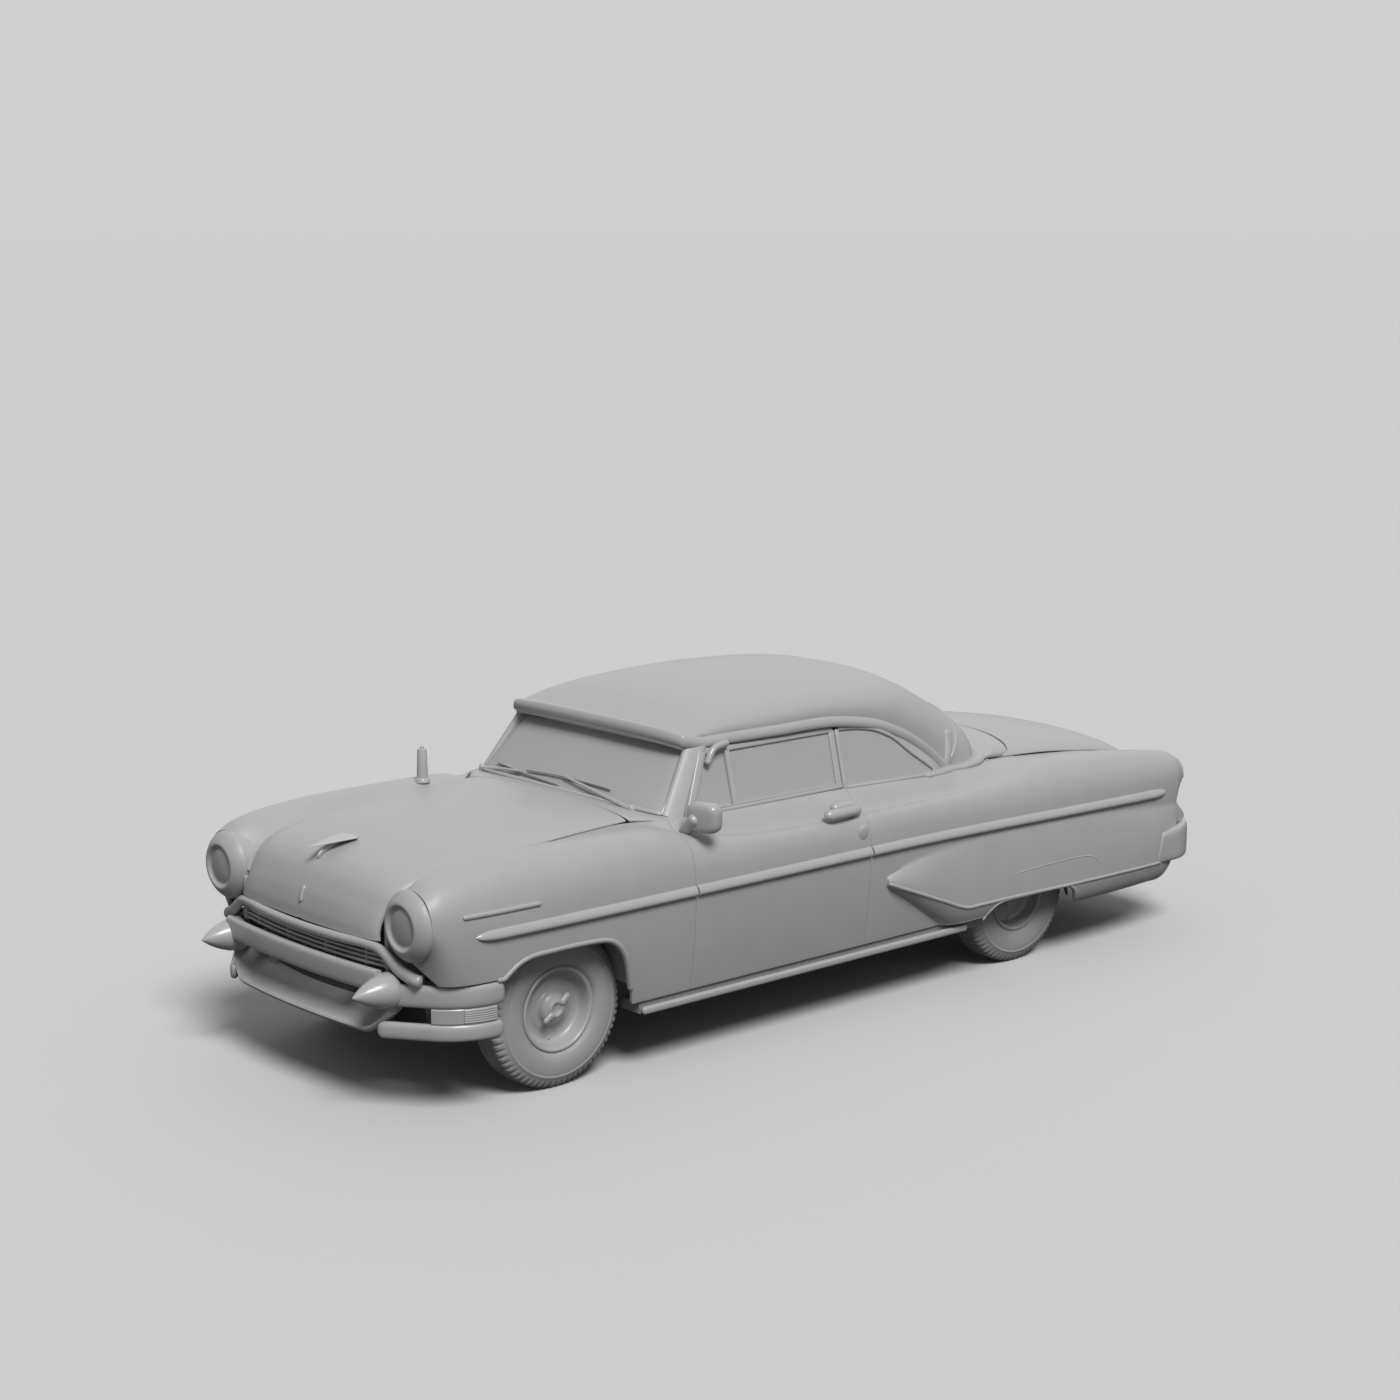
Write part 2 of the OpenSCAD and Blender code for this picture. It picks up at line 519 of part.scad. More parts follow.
module rear_bumper() {
  cx = rear_x + rear_corner_r;
  cy = rear_y - rear_corner_r;
  color("silver") {
    difference() {
      translate([rear_x, cy, rear_bumper_z]) rotate([90, 0, 0]) linear_extrude(2 * cy)
        mirror([1, 0]) bumper_profile(rear_bumper_h, 42);
      for (y = [-89, 89]) translate([rear_x - 10, y, rear_bumper_z]) rotate([0, 90, 0]) cylinder(r = 4, h = 80);
      translate([rear_x - 10, -160, rear_bumper_z - 55]) cube([14, 320, 110]);
    }
    both_sides() {
      translate([cx, cy, rear_bumper_z]) rotate([0, 0, 90]) rotate_extrude(angle = 90, $fn = 96)
        translate([rear_corner_r, 0]) bumper_profile(rear_bumper_h, 40);
      translate([cx, rear_y, rear_bumper_z]) rotate([90, 0, 90]) linear_extrude(xr(-1020) - cx)
        bumper_profile(rear_bumper_h, 40);
      box(rear_x + 38, tail_x - seat_gap, 372, 440, 440, 500);
    }
  }
}
// Tail lamp: a solid that carries the fin's section on to its rounded end
LAMP_STEPS = [0, 0.3, 0.6, 1, 1.3, 1.6, 1.8, 2, 2.3, 2.6, 3];
module tail_lamp() {
  ring_loft([for (x = [xr(-1378), xr(-1362), xr(-1340), xr(-1318) - seat_gap]) [for (s = LAMP_STEPS) side_point(x, s)]]);
}
module tail_lamps() { color("firebrick") both_sides() tail_lamp(); }

// Greenhouse
ROOF_ANGLES = [0, 6, 12, 20, 30, 42, 56, 72, 90, 108, 124, 138, 150, 160, 168, 174, 180];
module roof() {
  rows = [0, 0.5, 1, 1.5, 2, 2.5, 3, 3.5, 4, 4.5, 5, 5.5, 6, 6.5, 7];
  color("dimgray") shell_between(
    [for (t = rows) [for (a = ROOF_ANGLES) roof_point(t, a)]],
    [for (t = rows) [for (a = ROOF_ANGLES) roof_point(t, a, roof_t)]]
  );
}
rail_r = 16;
module drip_rails() {
  color("silver") both_sides() bar_along([for (t = steps(0.16, 6.9, 20))
    roof_point(t, 0) + [0, rail_r * 1.02, 4]], rail_r);
}
pillar_foot = [xf(-762), cowl_half - 22, belt_z + 3.2];
pillar_head = [xf(-962), rail_y - 32, rail_z - 40];
module windshield_frame() {
  color("dimgray") both_sides() hull() {
    translate(pillar_foot + [-26, -20, 0]) cube([52, 40, 6]);
    translate(pillar_head + [-26, -20, 0]) cube([52, 40, 6]);
  }
  color("silver") plan_arc(xf(-880), 4250, rail_y - 34, rail_z - 38) translate([-56, 0]) square([52, 36]);
}
function screen_low(v) = let (c = cos(180 * v), s = sin(180 * v))
  [mix(xf(-728), xf(-646), s), (cowl_half - 46) * c, belt_z + mix(8, 29, s)];
function screen_high(v) = let (c = cos(180 * v), s = sin(180 * v))
  [mix(xf(-962), xf(-902), s), (rail_y - 64) * c, rail_z - mix(46, 40, s)];
module windshield() { color("lightgray") curved_glass(function(v) screen_low(v), function(v) screen_high(v)); }
function back_low(v) = let (a = 180 * v, k = 0.8, c = (cos(a) < 0 ? -1 : 1) * pow(abs(cos(a)), k), s = pow(sin(a), k))
  [mix(xr(165), xr(-196), s), (lid_half + 44) * c, belt_z + mix(-28, 5.3, s)];
function back_high(v) = let (a = mix(16, 164, v)) roof_point(0, a, 12) + [-10, 0, -12];
module backlight() { color("lightgray") curved_glass(function(v) back_low(v), function(v) back_high(v), 14); }

// Side glass lies in a leaning plane; its outline is drawn with the place along the car and the height along the lean
glass_y = half_w - 192;
glass_h = (rail_z - 32 - belt_z) / cos(glass_lean);
module in_glass_plane(depth, thick) {
  translate([0, glass_y, belt_z]) rotate([90 + glass_lean, 0, 0]) translate([0, 0, depth]) linear_extrude(thick) children();
}
vent_x = xf(-1130);
door_glass_rear = door_rear_x + 60;
module door_frame_outline() {
  polygon([[door_rear_x + 14, -30], [door_rear_x - 26, glass_h], [xf(-1004), glass_h], [xf(-800), 10], [xf(-796), -30]]);
}
module vent_hole(g = 0) {
  polygon([[vent_x + 18 + g, 8 + g], [vent_x - 8 + g, glass_h - 36 - g], [xf(-1024), glass_h - 36 - g], [xf(-856) - 2 * g, 8 + g]]);
}
module main_hole(g = 0) {
  polygon([
    [door_rear_x + 58 + g, 4 + g], [door_rear_x + 22 + g, glass_h - 26 - g], [vent_x - 38 - g, glass_h - 26 - g], [vent_x - 12 - g, 4 + g]
  ]);
}
DOOR_STEPS = concat(steps(0, 1, 7), [1.15, 1.3, 1.45, 1.6, 1.75, 1.88, 2, 2.5, 3]);
DOOR_PLACES = steps(door_rear_x + shut_gap / 2, door_front_x - shut_gap / 2, 8);
door_in_low = half_w - 152;
door_in_top = half_w - 224;
module door_shell() {
  n = len(DOOR_STEPS) - 1;
  function inner_x(x) = mix(door_rear_x + shut_gap / 2 + 34, door_front_x - shut_gap / 2 - 4,
    (x - DOOR_PLACES[0]) / (DOOR_PLACES[8] - DOOR_PLACES[0]));
  function top_z(x) = side_point(x, 3)[2] - 4;
  shell_between(
    [for (x = DOOR_PLACES) [for (s = DOOR_STEPS) side_point(x, s)]],
    [for (x = DOOR_PLACES) [for (k = [0:n]) [inner_x(x), mix(door_in_low, door_in_top, k / n), mix(door_low_z + 4, top_z(x), k / n)]]]
  );
}
module door_one() {
  door_shell();
  in_glass_plane(0, frame_t) difference() {
    door_frame_outline();
    vent_hole();
    main_hole();
  }
}
// Mirror on a stalk, on the driver's side only, and the pull handle
module door_mirror() {
  translate([xf(-740), half_w - 120, belt_z - 30]) rotate([0, -22, 0]) cylinder(r = 11, h = 62);
  translate([xf(-790), half_w - 90, belt_z + 62]) rotate([0, 76, 8]) cylinder(r = 58, h = 34);
}
module door_handle() {
  translate([door_rear_x + 60, half_w - 33, belt_z - 92]) rotate([0, 90, 0]) cylinder(r = 11, h = 190);
}
SPEAR_Z = [812, 822, 846, 857];
SPEAR_D = [5, spear_d - 1, spear_d - 1, 5];
module spear(x0, x1, n) {
  function foot_y(x) = half_w - along(SIDE, x, WIDE_IN) + 5 * seat_gap;
  shell_between(
    [for (x = steps(x0, x1, n)) [for (k = [0:3]) [x, foot_y(x) + SPEAR_D[k], SPEAR_Z[k]]]],
    [for (x = steps(x0, x1, n)) [for (k = [0:3]) [x, foot_y(x), SPEAR_Z[k]]]]
  );
}
module door_left() {
  color("dimgray") door_one();
  color("silver") { door_mirror(); door_handle(); door_spear(); }
}
module door_right() {
  color("dimgray") mirror([0, 1, 0]) door_one();
  color("silver") mirror([0, 1, 0]) { door_handle(); door_spear(); }
}
module door_spear() { translate([0, -2, 0]) spear(door_rear_x + shut_gap / 2 + 2, door_front_x - shut_gap / 2 - 2, 4); }
module door_glass_one() {
  in_glass_plane(10, glass_t) {
    vent_hole(2 * seat_gap);
    main_hole(2 * seat_gap);
  }
}
module door_glass_left() { color("lightgray") door_glass_one(); }
module door_glass_right() { color("lightgray") mirror([0, 1, 0]) door_glass_one(); }
module quarter_glass() {
  color("lightgray") both_sides() in_glass_plane(6, glass_t) polygon([
    [door_rear_x - 10, -11.5], [door_rear_x - 50, glass_h - 6], [xr(1180), glass_h - 8], [xr(1100), glass_h - 28], [xr(990), glass_h - 78],
    [xr(860), glass_h - 168], [xr(750), glass_h - 266], [xr(690), -30.2]
  ]);
}
module body_mouldings() {
  color("silver") both_sides() {
    spear(door_front_x + shut_gap / 2 + 2, xf(556), 8);
    spear(xr(-1077), door_rear_x - shut_gap / 2 - 2, 12);
    box(xr(450), xf(-404), half_w - 62 + seat_gap, half_w - 34, sill_z, sill_z + 38);
  }
}
module sills() {
  color("dimgray") both_sides() {
    box(xr(440), xf(-400), half_w - 190, half_w - 62, sill_z + 4, door_low_z - shut_gap);
    box(door_rear_x + 10, xf(-700), half_w - 190, half_w - 176, sill_z + 4, floor_z);
  }
}
module wipers() {
  color("silver") for (foot = [[430, 29.5], [-300, 34.3]]) translate([xf(-594), foot[0], belt_z + foot[1]]) {
    cylinder(r = 14, h = 20);
    translate([4, 6, 12]) rotate([0, 0, 180]) cube([44, 12, 8]);
  }
}
module aerial() {
  color("silver") translate([xf(-350), -pod_y + 10, belt_z - 0.8]) {
    cylinder(r = 34, h = 12);
    cylinder(r1 = 26, r2 = 20, h = aerial_h - 10);
    cylinder(r = 9, h = aerial_h + 6);
  }
}

// Underbody
rail_in = wheel_y * 372 / 730;
rail_w = 66;
module frame_rail() {
  side_plate(rail_in, rail_in + rail_w) polygon([
    [xf(740), 400], [xf(740), 512], [xf(-420), 512], [xf(-640), floor_z - 16], [xr(462), floor_z - 16],
    [xr(250), 580], [xr(-1210), 580], [xr(-1210), 500], [xr(220), 500], [xr(430), sill_z + 5], [xf(-640), sill_z + 5], [xf(-420), 400]
  ]);
}
floor_z = 410;
module chassis_frame() {
  color("black") {
    both_sides() frame_rail();
    box(xf(660), xf(720), -rail_in, rail_in, 405, 470);
    box(xr(960), xr(1040), -rail_in, -130, sill_z + 56, floor_z - 18);
    box(xr(960), xr(1040), 130, rail_in, sill_z + 56, floor_z - 18);
    box(xr(960), xr(1040), -140, 140, sill_z + 34, sill_z + 62);
    box(xr(-1190), xr(-1120), -rail_in, rail_in, 505, 575);
    box(xr(-330), xr(-270), -rail_in, rail_in, 540, 580);
  }
}
tunnel_w = 330;
house_r = 432;
module floor_pan() {
  wall_x = xf(-690);
  color("darkgray") {
    difference() {
      union() {
        box(xr(470), wall_x, -half_w + 190 + seat_gap, half_w - 190 - seat_gap, floor_z - 15, floor_z);
        box(xf(-1180), wall_x, -tunnel_w / 2 - 12, tunnel_w / 2 + 12, floor_z - 15, 602);
        box(xr(470), xf(-1100), -140, 140, floor_z - 15, 500);
        box(xr(470), xr(485), -half_w + 192, half_w - 192, floor_z - 15, 615);
      }
      box(xf(-1168), wall_x + 20, -tunnel_w / 2, tunnel_w / 2, 300, 590);
      box(xr(460), xf(-1160), -128, 128, 300, 488);
    }
    // Firewall with the hinge pillars, and the lock pillars behind the doors
    difference() {
      box(wall_x - 5, wall_x + 13, -half_w + 212, half_w - 212, floor_z - 15, belt_z - 49 - seat_gap);
      box(wall_x - 20, wall_x + 20, -tunnel_w / 2, tunnel_w / 2, 300, 590);
    }
    both_sides() {
      box(wall_x, wall_x + 40, half_w - 262, half_w - 92, floor_z - 15, belt_z - 110);
      box(door_rear_x - 62, door_rear_x - 16, half_w - 202, half_w - 112, floor_z - 15, belt_z - 140);
      box(wall_x + 14, wall_x + 34, half_w - 100, half_w - panel_t - 4, 812, 840);
      box(door_rear_x - 60, door_rear_x - 36, half_w - 120, half_w - panel_t - 3, 812, 840);
    }
    // Trunk floor, the step up to it and the wheel houses
    box(xr(-1236), xr(482), -half_w + 382, half_w - 382, 600, 615);
    both_sides() difference() {
      translate([axle_r, half_w - 70, wheel_z]) rotate([90, 0, 0]) cylinder(r = house_r + 14, h = 327);
      translate([axle_r, half_w + 30, wheel_z]) rotate([90, 0, 0]) cylinder(r = house_r, h = 413);
      box(xr(-700), xr(700), 0, half_w + 100, -200, 452);
    }
  }
}
module engine() {
  half = rail_in * 215 / 372;
  color("dimgray") {
    box(xf(-440), xf(190), -half, half, 425, 880);
    both_sides() box(xf(-200), xf(-120), half - 15, rail_in - seat_gap, 425, 500);
    box(xf(-330), xf(60), -150, 150, 870, 960);
    translate([xf(190), 0, 640]) rotate([0, 90, 0]) cylinder(r = 190, h = 70);
  }
}
shaft_end_x = xr(152);
module drivetrain() {
  start = [xf(-440) - seat_gap, 0, 442];
  color("black") {
    translate(start) rotate([0, -90, 0]) cylinder(r1 = 140, r2 = 105, h = 560);
    drop = start[0] - 400 - shaft_end_x;
    translate([start[0] - 400, 0, 440]) rotate([0, -90 - atan2(440 - wheel_z, drop), 0]) cylinder(r = 38, h = norm([drop, 440 - wheel_z]));
  }
}
exhaust_y = -rail_in * 270 / 372;
exhaust_z = sill_z + 4;
module exhaust() {
  tail_end = rear_x + 40;
  color("gray") translate([0, exhaust_y, exhaust_z]) {
    translate([tail_end, 0, 0]) rotate([0, 90, 0]) cylinder(r = tailpipe_r, h = 220);
    translate([tail_end + 100, 0, 0]) rotate([0, 90, 0]) cylinder(r = tailpipe_r - 5, h = xf(-200) - tail_end - 100);
    translate([xr(1100), 0, 0]) rotate([0, 90, 0]) cylinder(r = 85, h = 620);
    translate([xf(-240), 0, 0]) cylinder(r = tailpipe_r - 5, h = 440 - exhaust_z);
    translate([xf(-240), 0, 440 - exhaust_z]) rotate([-90, 0, 0]) cylinder(r = 20, h = -exhaust_y - rail_in * 215 / 372 - seat_gap);
    translate([xr(1300), -10, 40]) cube([30, 20, floor_z - 15.3 - exhaust_z - 40]);
  }
}
module fuel_tank() {
  color("black") box(xr(-1000), xr(-400), -rail_in + 12, rail_in - 12, 425, 600 - seat_gap);
}

// Axles, knuckles and wheels
kingpin_y = wheel_y - 96;
eye_r = kingpin_r + 16;
module front_suspension() {
  color("black") {
    difference() {
      union() {
        box(xf(-70), xf(70), -rail_in + seat_gap, rail_in - seat_gap, 330, 400 - seat_gap);
        both_sides() {
          box(xf(-55), xf(55), rail_in - 40, kingpin_y - 90, wheel_z - 66, wheel_z - 40);
          box(xf(-28), xf(28), kingpin_y - 100, kingpin_y, wheel_z - 66, wheel_z - 40);
          box(xf(-28), xf(28), rail_in + rail_w + seat_gap, kingpin_y, wheel_z + 44, wheel_z + 66);
          box(xf(-28), xf(28), rail_in + rail_w + seat_gap, rail_in + rail_w + 26, wheel_z - 66, wheel_z + 66);
          for (z = [-66, 44]) translate([axle_f, kingpin_y, wheel_z + z]) cylinder(r = eye_r, h = z < 0 ? 26 : 22);
        }
      }
      both_sides() translate([axle_f, kingpin_y, wheel_z - 100]) cylinder(r = kingpin_r + run_gap, h = 200);
    }
  }
}
hub_y = 46;
module knuckle_one() {
  translate([axle_f, kingpin_y, wheel_z]) {
    translate([0, 0, -72]) cylinder(r = kingpin_r, h = 144);
    translate([0, 0, -39]) cylinder(r = eye_r, h = 82);
    rotate([-90, 0, 0]) cylinder(r = spindle_r, h = wheel_y + hub_y - kingpin_y);
    translate([0, 40, 0]) rotate([-90, 0, 0]) cylinder(r = 140, h = 46);
  }
}
module knuckle_left() { color("gray") knuckle_one(); }
module knuckle_right() { color("gray") mirror([0, 1, 0]) knuckle_one(); }
module rear_axle() {
  color("black") {
    translate([axle_r, -wheel_y + 14, wheel_z]) rotate([-90, 0, 0]) cylinder(r = 42, h = track - 28);
    translate([axle_r, 0, wheel_z]) rotate([-90, 0, 0]) translate([0, 0, -95]) cylinder(r = 150, h = 190);
    both_sides() {
      translate([axle_r, 0, wheel_z]) rotate([-90, 0, 0]) cylinder(r = spindle_r, h = wheel_y + hub_y);
      translate([axle_r, wheel_y - 56, wheel_z]) rotate([-90, 0, 0]) cylinder(r = 140, h = 46);
      box(xr(-620), xr(440), rail_in + rail_w + 4, rail_in + rail_w + 60, wheel_z + 44, wheel_z + 64);
      box(xr(-45), xr(45), rail_in + rail_w + 4, rail_in + rail_w + 60, wheel_z + 30, wheel_z + 80);
      box(xr(-620), xr(-590), rail_in + rail_w + seat_gap, rail_in + rail_w + 60, wheel_z + 44, 560);
      box(xr(410), xr(440), rail_in + rail_w + seat_gap, rail_in + rail_w + 60, floor_z - 60, wheel_z + 64);
    }
  }
}
bead_r = rim_r - 8;
module tyre_one() {
  w = tyre_w / 2;
  mid_r = (tyre_r + bead_r) / 2;
  rotate([-90, 0, 0]) rotate_extrude($fn = 120) polygon(concat(
    [[bead_r, -w * 0.74], [rim_r + 6, -w * 0.74]],
    [for (a = [-56:14:70]) [mid_r - 8 + (tyre_r - bead_r) * 0.42 * sin(a), -w + 16 * (1 - cos(a)) * 1.6]],
    [[tyre_r - 8, -w * 0.78], [tyre_r - 1, -w * 0.66], [tyre_r, -w * 0.5], [tyre_r, w * 0.5], [tyre_r - 1, w * 0.66], [tyre_r - 8, w * 0.78]],
    [for (a = [70:-14:-56]) [mid_r - 8 + (tyre_r - bead_r) * 0.42 * sin(a), w - 16 * (1 - cos(a)) * 1.6]],
    [[rim_r + 6, w * 0.74], [bead_r, w * 0.74], [bead_r, 0]]
  ));
}
module wheel_one() {
  w = tyre_w / 2;
  rotate([-90, 0, 0]) rotate_extrude($fn = 120) polygon([
    [bead_r - 16, -w * 0.74], [bead_r - 16, -w * 0.80], [bead_r - seat_gap, -w * 0.80], [bead_r - seat_gap, w * 0.74 + seat_gap],
    [rim_r + 4, w * 0.74 + seat_gap], [rim_r + 4, w * 0.74 + 6], [rim_r - 8, w * 0.74 + 12], [rim_r - 20, w * 0.74 + 8],
    [rim_r - 28, w * 0.5], [rim_r - 40, 22], [130, 18], [100, 28], [70, 44], [52, 52], [46, 74], [38, 84], [0, 86],
    [0, hub_y + 2], [spindle_r + run_gap, hub_y + 2], [spindle_r + run_gap, -8], [60, -8], [60, 4], [bead_r - 28, 4], [bead_r - 16, -6]
  ]);
  // Two opposed ears on the boss
  for (a = [0, 180]) rotate([0, a + 35, 0]) translate([20, 62, -15]) cube([84, 16, 30]);
}
module on_wheel(x, side) {
  translate([x, side * wheel_y, wheel_z]) mirror([0, side < 0 ? 1 : 0, 0]) children();
}
module wheel_front_left() { color("silver") on_wheel(axle_f, 1) wheel_one(); }
module wheel_front_right() { color("silver") on_wheel(axle_f, -1) wheel_one(); }
module wheel_rear_left() { color("silver") on_wheel(axle_r, 1) wheel_one(); }
module wheel_rear_right() { color("silver") on_wheel(axle_r, -1) wheel_one(); }
module tyre_front_left() { color("black") on_wheel(axle_f, 1) tyre_one(); }
module tyre_front_right() { color("black") on_wheel(axle_f, -1) tyre_one(); }
module tyre_rear_left() { color("black") on_wheel(axle_r, 1) tyre_one(); }
module tyre_rear_right() { color("black") on_wheel(axle_r, -1) tyre_one(); }

// Cabin
seat_half = half_w - 262;
module front_seat() {
  color("gray") {
    side_plate(-seat_half, seat_half) polygon([
      [xf(-1700), 560], [xf(-1690), 690], [xf(-1240), 720], [xf(-1195), 690], [xf(-1200), 580], [xf(-1230), 545]
    ]);
    side_plate(-seat_half, seat_half) polygon([
      [xf(-1690), 600], [xf(-1800), 620], [xf(-1905), 1075], [xf(-1880), 1110], [xf(-1835), 1105], [xf(-1800), 1060], [xf(-1660), 700]
    ]);
    both_sides() box(xf(-1680), xf(-1300), 200, 560, floor_z + seat_gap, 570);
  }
}
module rear_seat() {
  color("gray") {
    side_plate(-seat_half + 40, seat_half - 40) polygon([
      [xr(490), 506], [xr(500), 690], [xr(930), 720], [xr(975), 690], [xr(970), 506]
    ]);
    side_plate(-seat_half + 40, seat_half - 40) polygon([
      [xr(510), 640], [xr(490), 640], [xr(300), 1050], [xr(330), 1085], [xr(370), 1080], [xr(420), 1030], [xr(560), 700]
    ]);
    both_sides() box(xr(520), xr(900), 150, 560, floor_z + seat_gap, 510);
  }
}
dash_half = half_w - 245;
column_y = half_w - 582;
column_foot = [xf(-700), column_y, 720];
column_head = [xf(-1120), column_y, 905];
column_lean = atan2(column_head[2] - column_foot[2], column_foot[0] - column_head[0]);
column_len = norm(column_head - column_foot);
module on_column() {
  translate(column_foot) rotate([0, -90 + column_lean, 0]) children();
}
module dashboard() {
  color("gray") difference() {
    union() {
      side_plate(-dash_half, dash_half) polygon([
        [xf(-696), belt_z - 66], [xf(-820), belt_z - 56], [xf(-905), belt_z - 66], [xf(-935), belt_z - 100], [xf(-925), belt_z - 180],
        [xf(-880), belt_z - 290], [xf(-850), belt_z - 300], [xf(-840), belt_z - 270], [xf(-696), belt_z - 250]
      ]);
      on_column() cylinder(r = 30, h = column_len);
      box(xf(-905), xf(-870), column_y - 18, column_y + 18, 800, belt_z - 270);
    }
    on_column() translate([0, 0, column_len - 60]) cylinder(r = 14 + run_gap, h = 80);
    box(xf(-695.3), xf(-500), column_y - 90, column_y + 90, 500, 800);
  }
}
module steering_wheel() {
  color("gray") on_column() translate([0, 0, column_len]) {
    translate([0, 0, -50]) cylinder(r = 14, h = 60);
    translate([0, 0, 6]) cylinder(r1 = 40, r2 = 28, h = 30);
    translate([0, 0, 40]) rotate_extrude($fn = 96) translate([steer_r - 13, 0]) circle(13);
    for (a = [90, -90]) rotate([0, 0, a]) translate([10, -14, 18]) rotate([0, -5, 0]) cube([steer_r - 30, 28, 12]);
  }
}

chassis_frame();
floor_pan();
sills();
cowl();
fender_left();
fender_right();
quarter_left();
quarter_right();
rear_deck();
tail_panel();
roof();
windshield_frame();
drip_rails();
grille();
radiator();
front_bumper();
rear_bumper();
headlamp_surrounds();
headlamp_lenses();
parking_lamps();
tail_lamps();
windshield();
backlight();
quarter_glass();
body_mouldings();
wipers();
aerial();
front_seat();
rear_seat();
dashboard();
engine();
drivetrain();
exhaust();
fuel_tank();
front_suspension();
rear_axle();
hood();
trunk_lid();
door_left();
door_right();
door_glass_left();
door_glass_right();
steering_wheel();
knuckle_left();
knuckle_right();
wheel_front_left();
wheel_front_right();
wheel_rear_left();
wheel_rear_right();
tyre_front_left();
tyre_front_right();
tyre_rear_left();
tyre_rear_right();
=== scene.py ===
"""A mid-1950s two-door hardtop coupe in satin grey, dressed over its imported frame.

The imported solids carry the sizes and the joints. This script lays fine skins over the body, models the
trim, lamps, wheels and cabin, gives every surface its finish, and sets up the camera and the lights.
Sizes are in millimetres.
"""

from __future__ import annotations

import json
import logging
import math
from dataclasses import dataclass
from enum import Enum
from typing import Callable, Iterable, Sequence

import bpy
import numpy as np
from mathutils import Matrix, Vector

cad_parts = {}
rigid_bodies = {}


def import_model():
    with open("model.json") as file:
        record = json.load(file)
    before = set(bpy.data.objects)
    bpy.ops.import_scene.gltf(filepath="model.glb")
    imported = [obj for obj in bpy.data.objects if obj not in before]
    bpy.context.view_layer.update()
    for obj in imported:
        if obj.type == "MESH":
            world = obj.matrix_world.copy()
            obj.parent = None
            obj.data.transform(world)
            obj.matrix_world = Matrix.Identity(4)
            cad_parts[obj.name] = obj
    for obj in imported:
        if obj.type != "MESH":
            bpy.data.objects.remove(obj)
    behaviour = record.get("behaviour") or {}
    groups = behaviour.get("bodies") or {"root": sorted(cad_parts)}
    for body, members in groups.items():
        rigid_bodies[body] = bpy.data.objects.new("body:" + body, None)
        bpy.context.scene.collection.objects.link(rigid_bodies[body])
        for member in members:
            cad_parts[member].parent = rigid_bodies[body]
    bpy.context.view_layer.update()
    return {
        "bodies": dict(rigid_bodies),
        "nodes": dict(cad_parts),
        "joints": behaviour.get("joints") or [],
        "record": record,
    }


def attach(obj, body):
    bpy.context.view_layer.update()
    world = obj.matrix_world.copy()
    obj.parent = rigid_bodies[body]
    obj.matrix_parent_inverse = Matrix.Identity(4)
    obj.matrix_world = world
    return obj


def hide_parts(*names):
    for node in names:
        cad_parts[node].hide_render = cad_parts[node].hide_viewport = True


log = logging.getLogger("coupe")

MM = 0.001
Piece = bpy.types.Object
Pair = tuple[float, float]
Triple = tuple[float, float, float]


class Axis(Enum):
    """The axis that a turned piece is turned about."""

    X = (1.0, 0.0, 0.0)
    Y = (0.0, 1.0, 0.0)
    Z = (0.0, 0.0, 1.0)


class Edge(Enum):
    """The edges of a pulled sheet: its first and last row, and its first and last column."""

    FIRST_ROW = "first_row"
    LAST_ROW = "last_row"
    FIRST_COLUMN = "first_column"
    LAST_COLUMN = "last_column"


ENDS = (Edge.FIRST_ROW, Edge.LAST_ROW)
SIDE_EDGES = (*ENDS, Edge.LAST_COLUMN, Edge.FIRST_COLUMN)


@dataclass(frozen=True)
class Sizes:
    """The car's main sizes and places, the same as the solids have."""

    length: float = 5500.0
    axle_f: float = 1760.0
    axle_r: float = -1364.0
    half_w: float = 972.0
    belt_z: float = 1140.0
    roof_z: float = 1640.0
    sill_z: float = 285.0
    spear_d: float = 13.0
    tyre_r: float = 370.0
    tyre_w: float = 204.0
    rim_r: float = 196.0
    wheel_y: float = 730.0
    glass_lean: float = 20.0

    @property
    def door_front(self) -> float:
        """Place of the door's front shut line."""
        return self.axle_f - 701.0

    @property
    def door_rear(self) -> float:
        """Place of the door's rear shut line."""
        return self.axle_r + 1272.0

    @property
    def door_low(self) -> float:
        """Height of the door's lower edge."""
        return self.sill_z + 65.0

    @property
    def rail_z(self) -> float:
        """Height of the drip rail over the door."""
        return self.roof_z - 164.0

    @property
    def pod(self) -> Triple:
        """Middle of the left headlamp at the seam of its surround."""
        return (self.axle_f + 758.0, self.half_w - 232.0, self.belt_z - 256.0)

    @property
    def glass_h(self) -> float:
        """Height of the side glass along its lean."""
        return (self.rail_z - 32.0 - self.belt_z) / math.cos(math.radians(self.glass_lean))


CAR = Sizes()


def xf(distance: float) -> float:
    """A place along the car, counted forward from the front axle."""
    return CAR.axle_f + distance


def xr(distance: float) -> float:
    """A place along the car, counted forward from the rear axle."""
    return CAR.axle_r + distance


def ramp(low: float, high: float, value: np.ndarray) -> np.ndarray:
    """A soft step from 0 at low to 1 at high."""
    t = np.clip((np.asarray(value, float) - low) / (high - low), 0.0, 1.0)
    return t * t * (3.0 - 2.0 * t)


def spread(*stops: tuple[float, int]) -> np.ndarray:
    """Places with a spacing of their own between each two stops.

    Args:
        stops: Pairs of a place and the number of steps to it from the stop before.

    Returns:
        The places in order.
    """
    places = [stops[0][0]]
    for (start, _), (end, steps) in zip(stops, stops[1:]):
        places.extend(start + (end - start) * (k + 1) / steps for k in range(steps))
    return np.array(places)


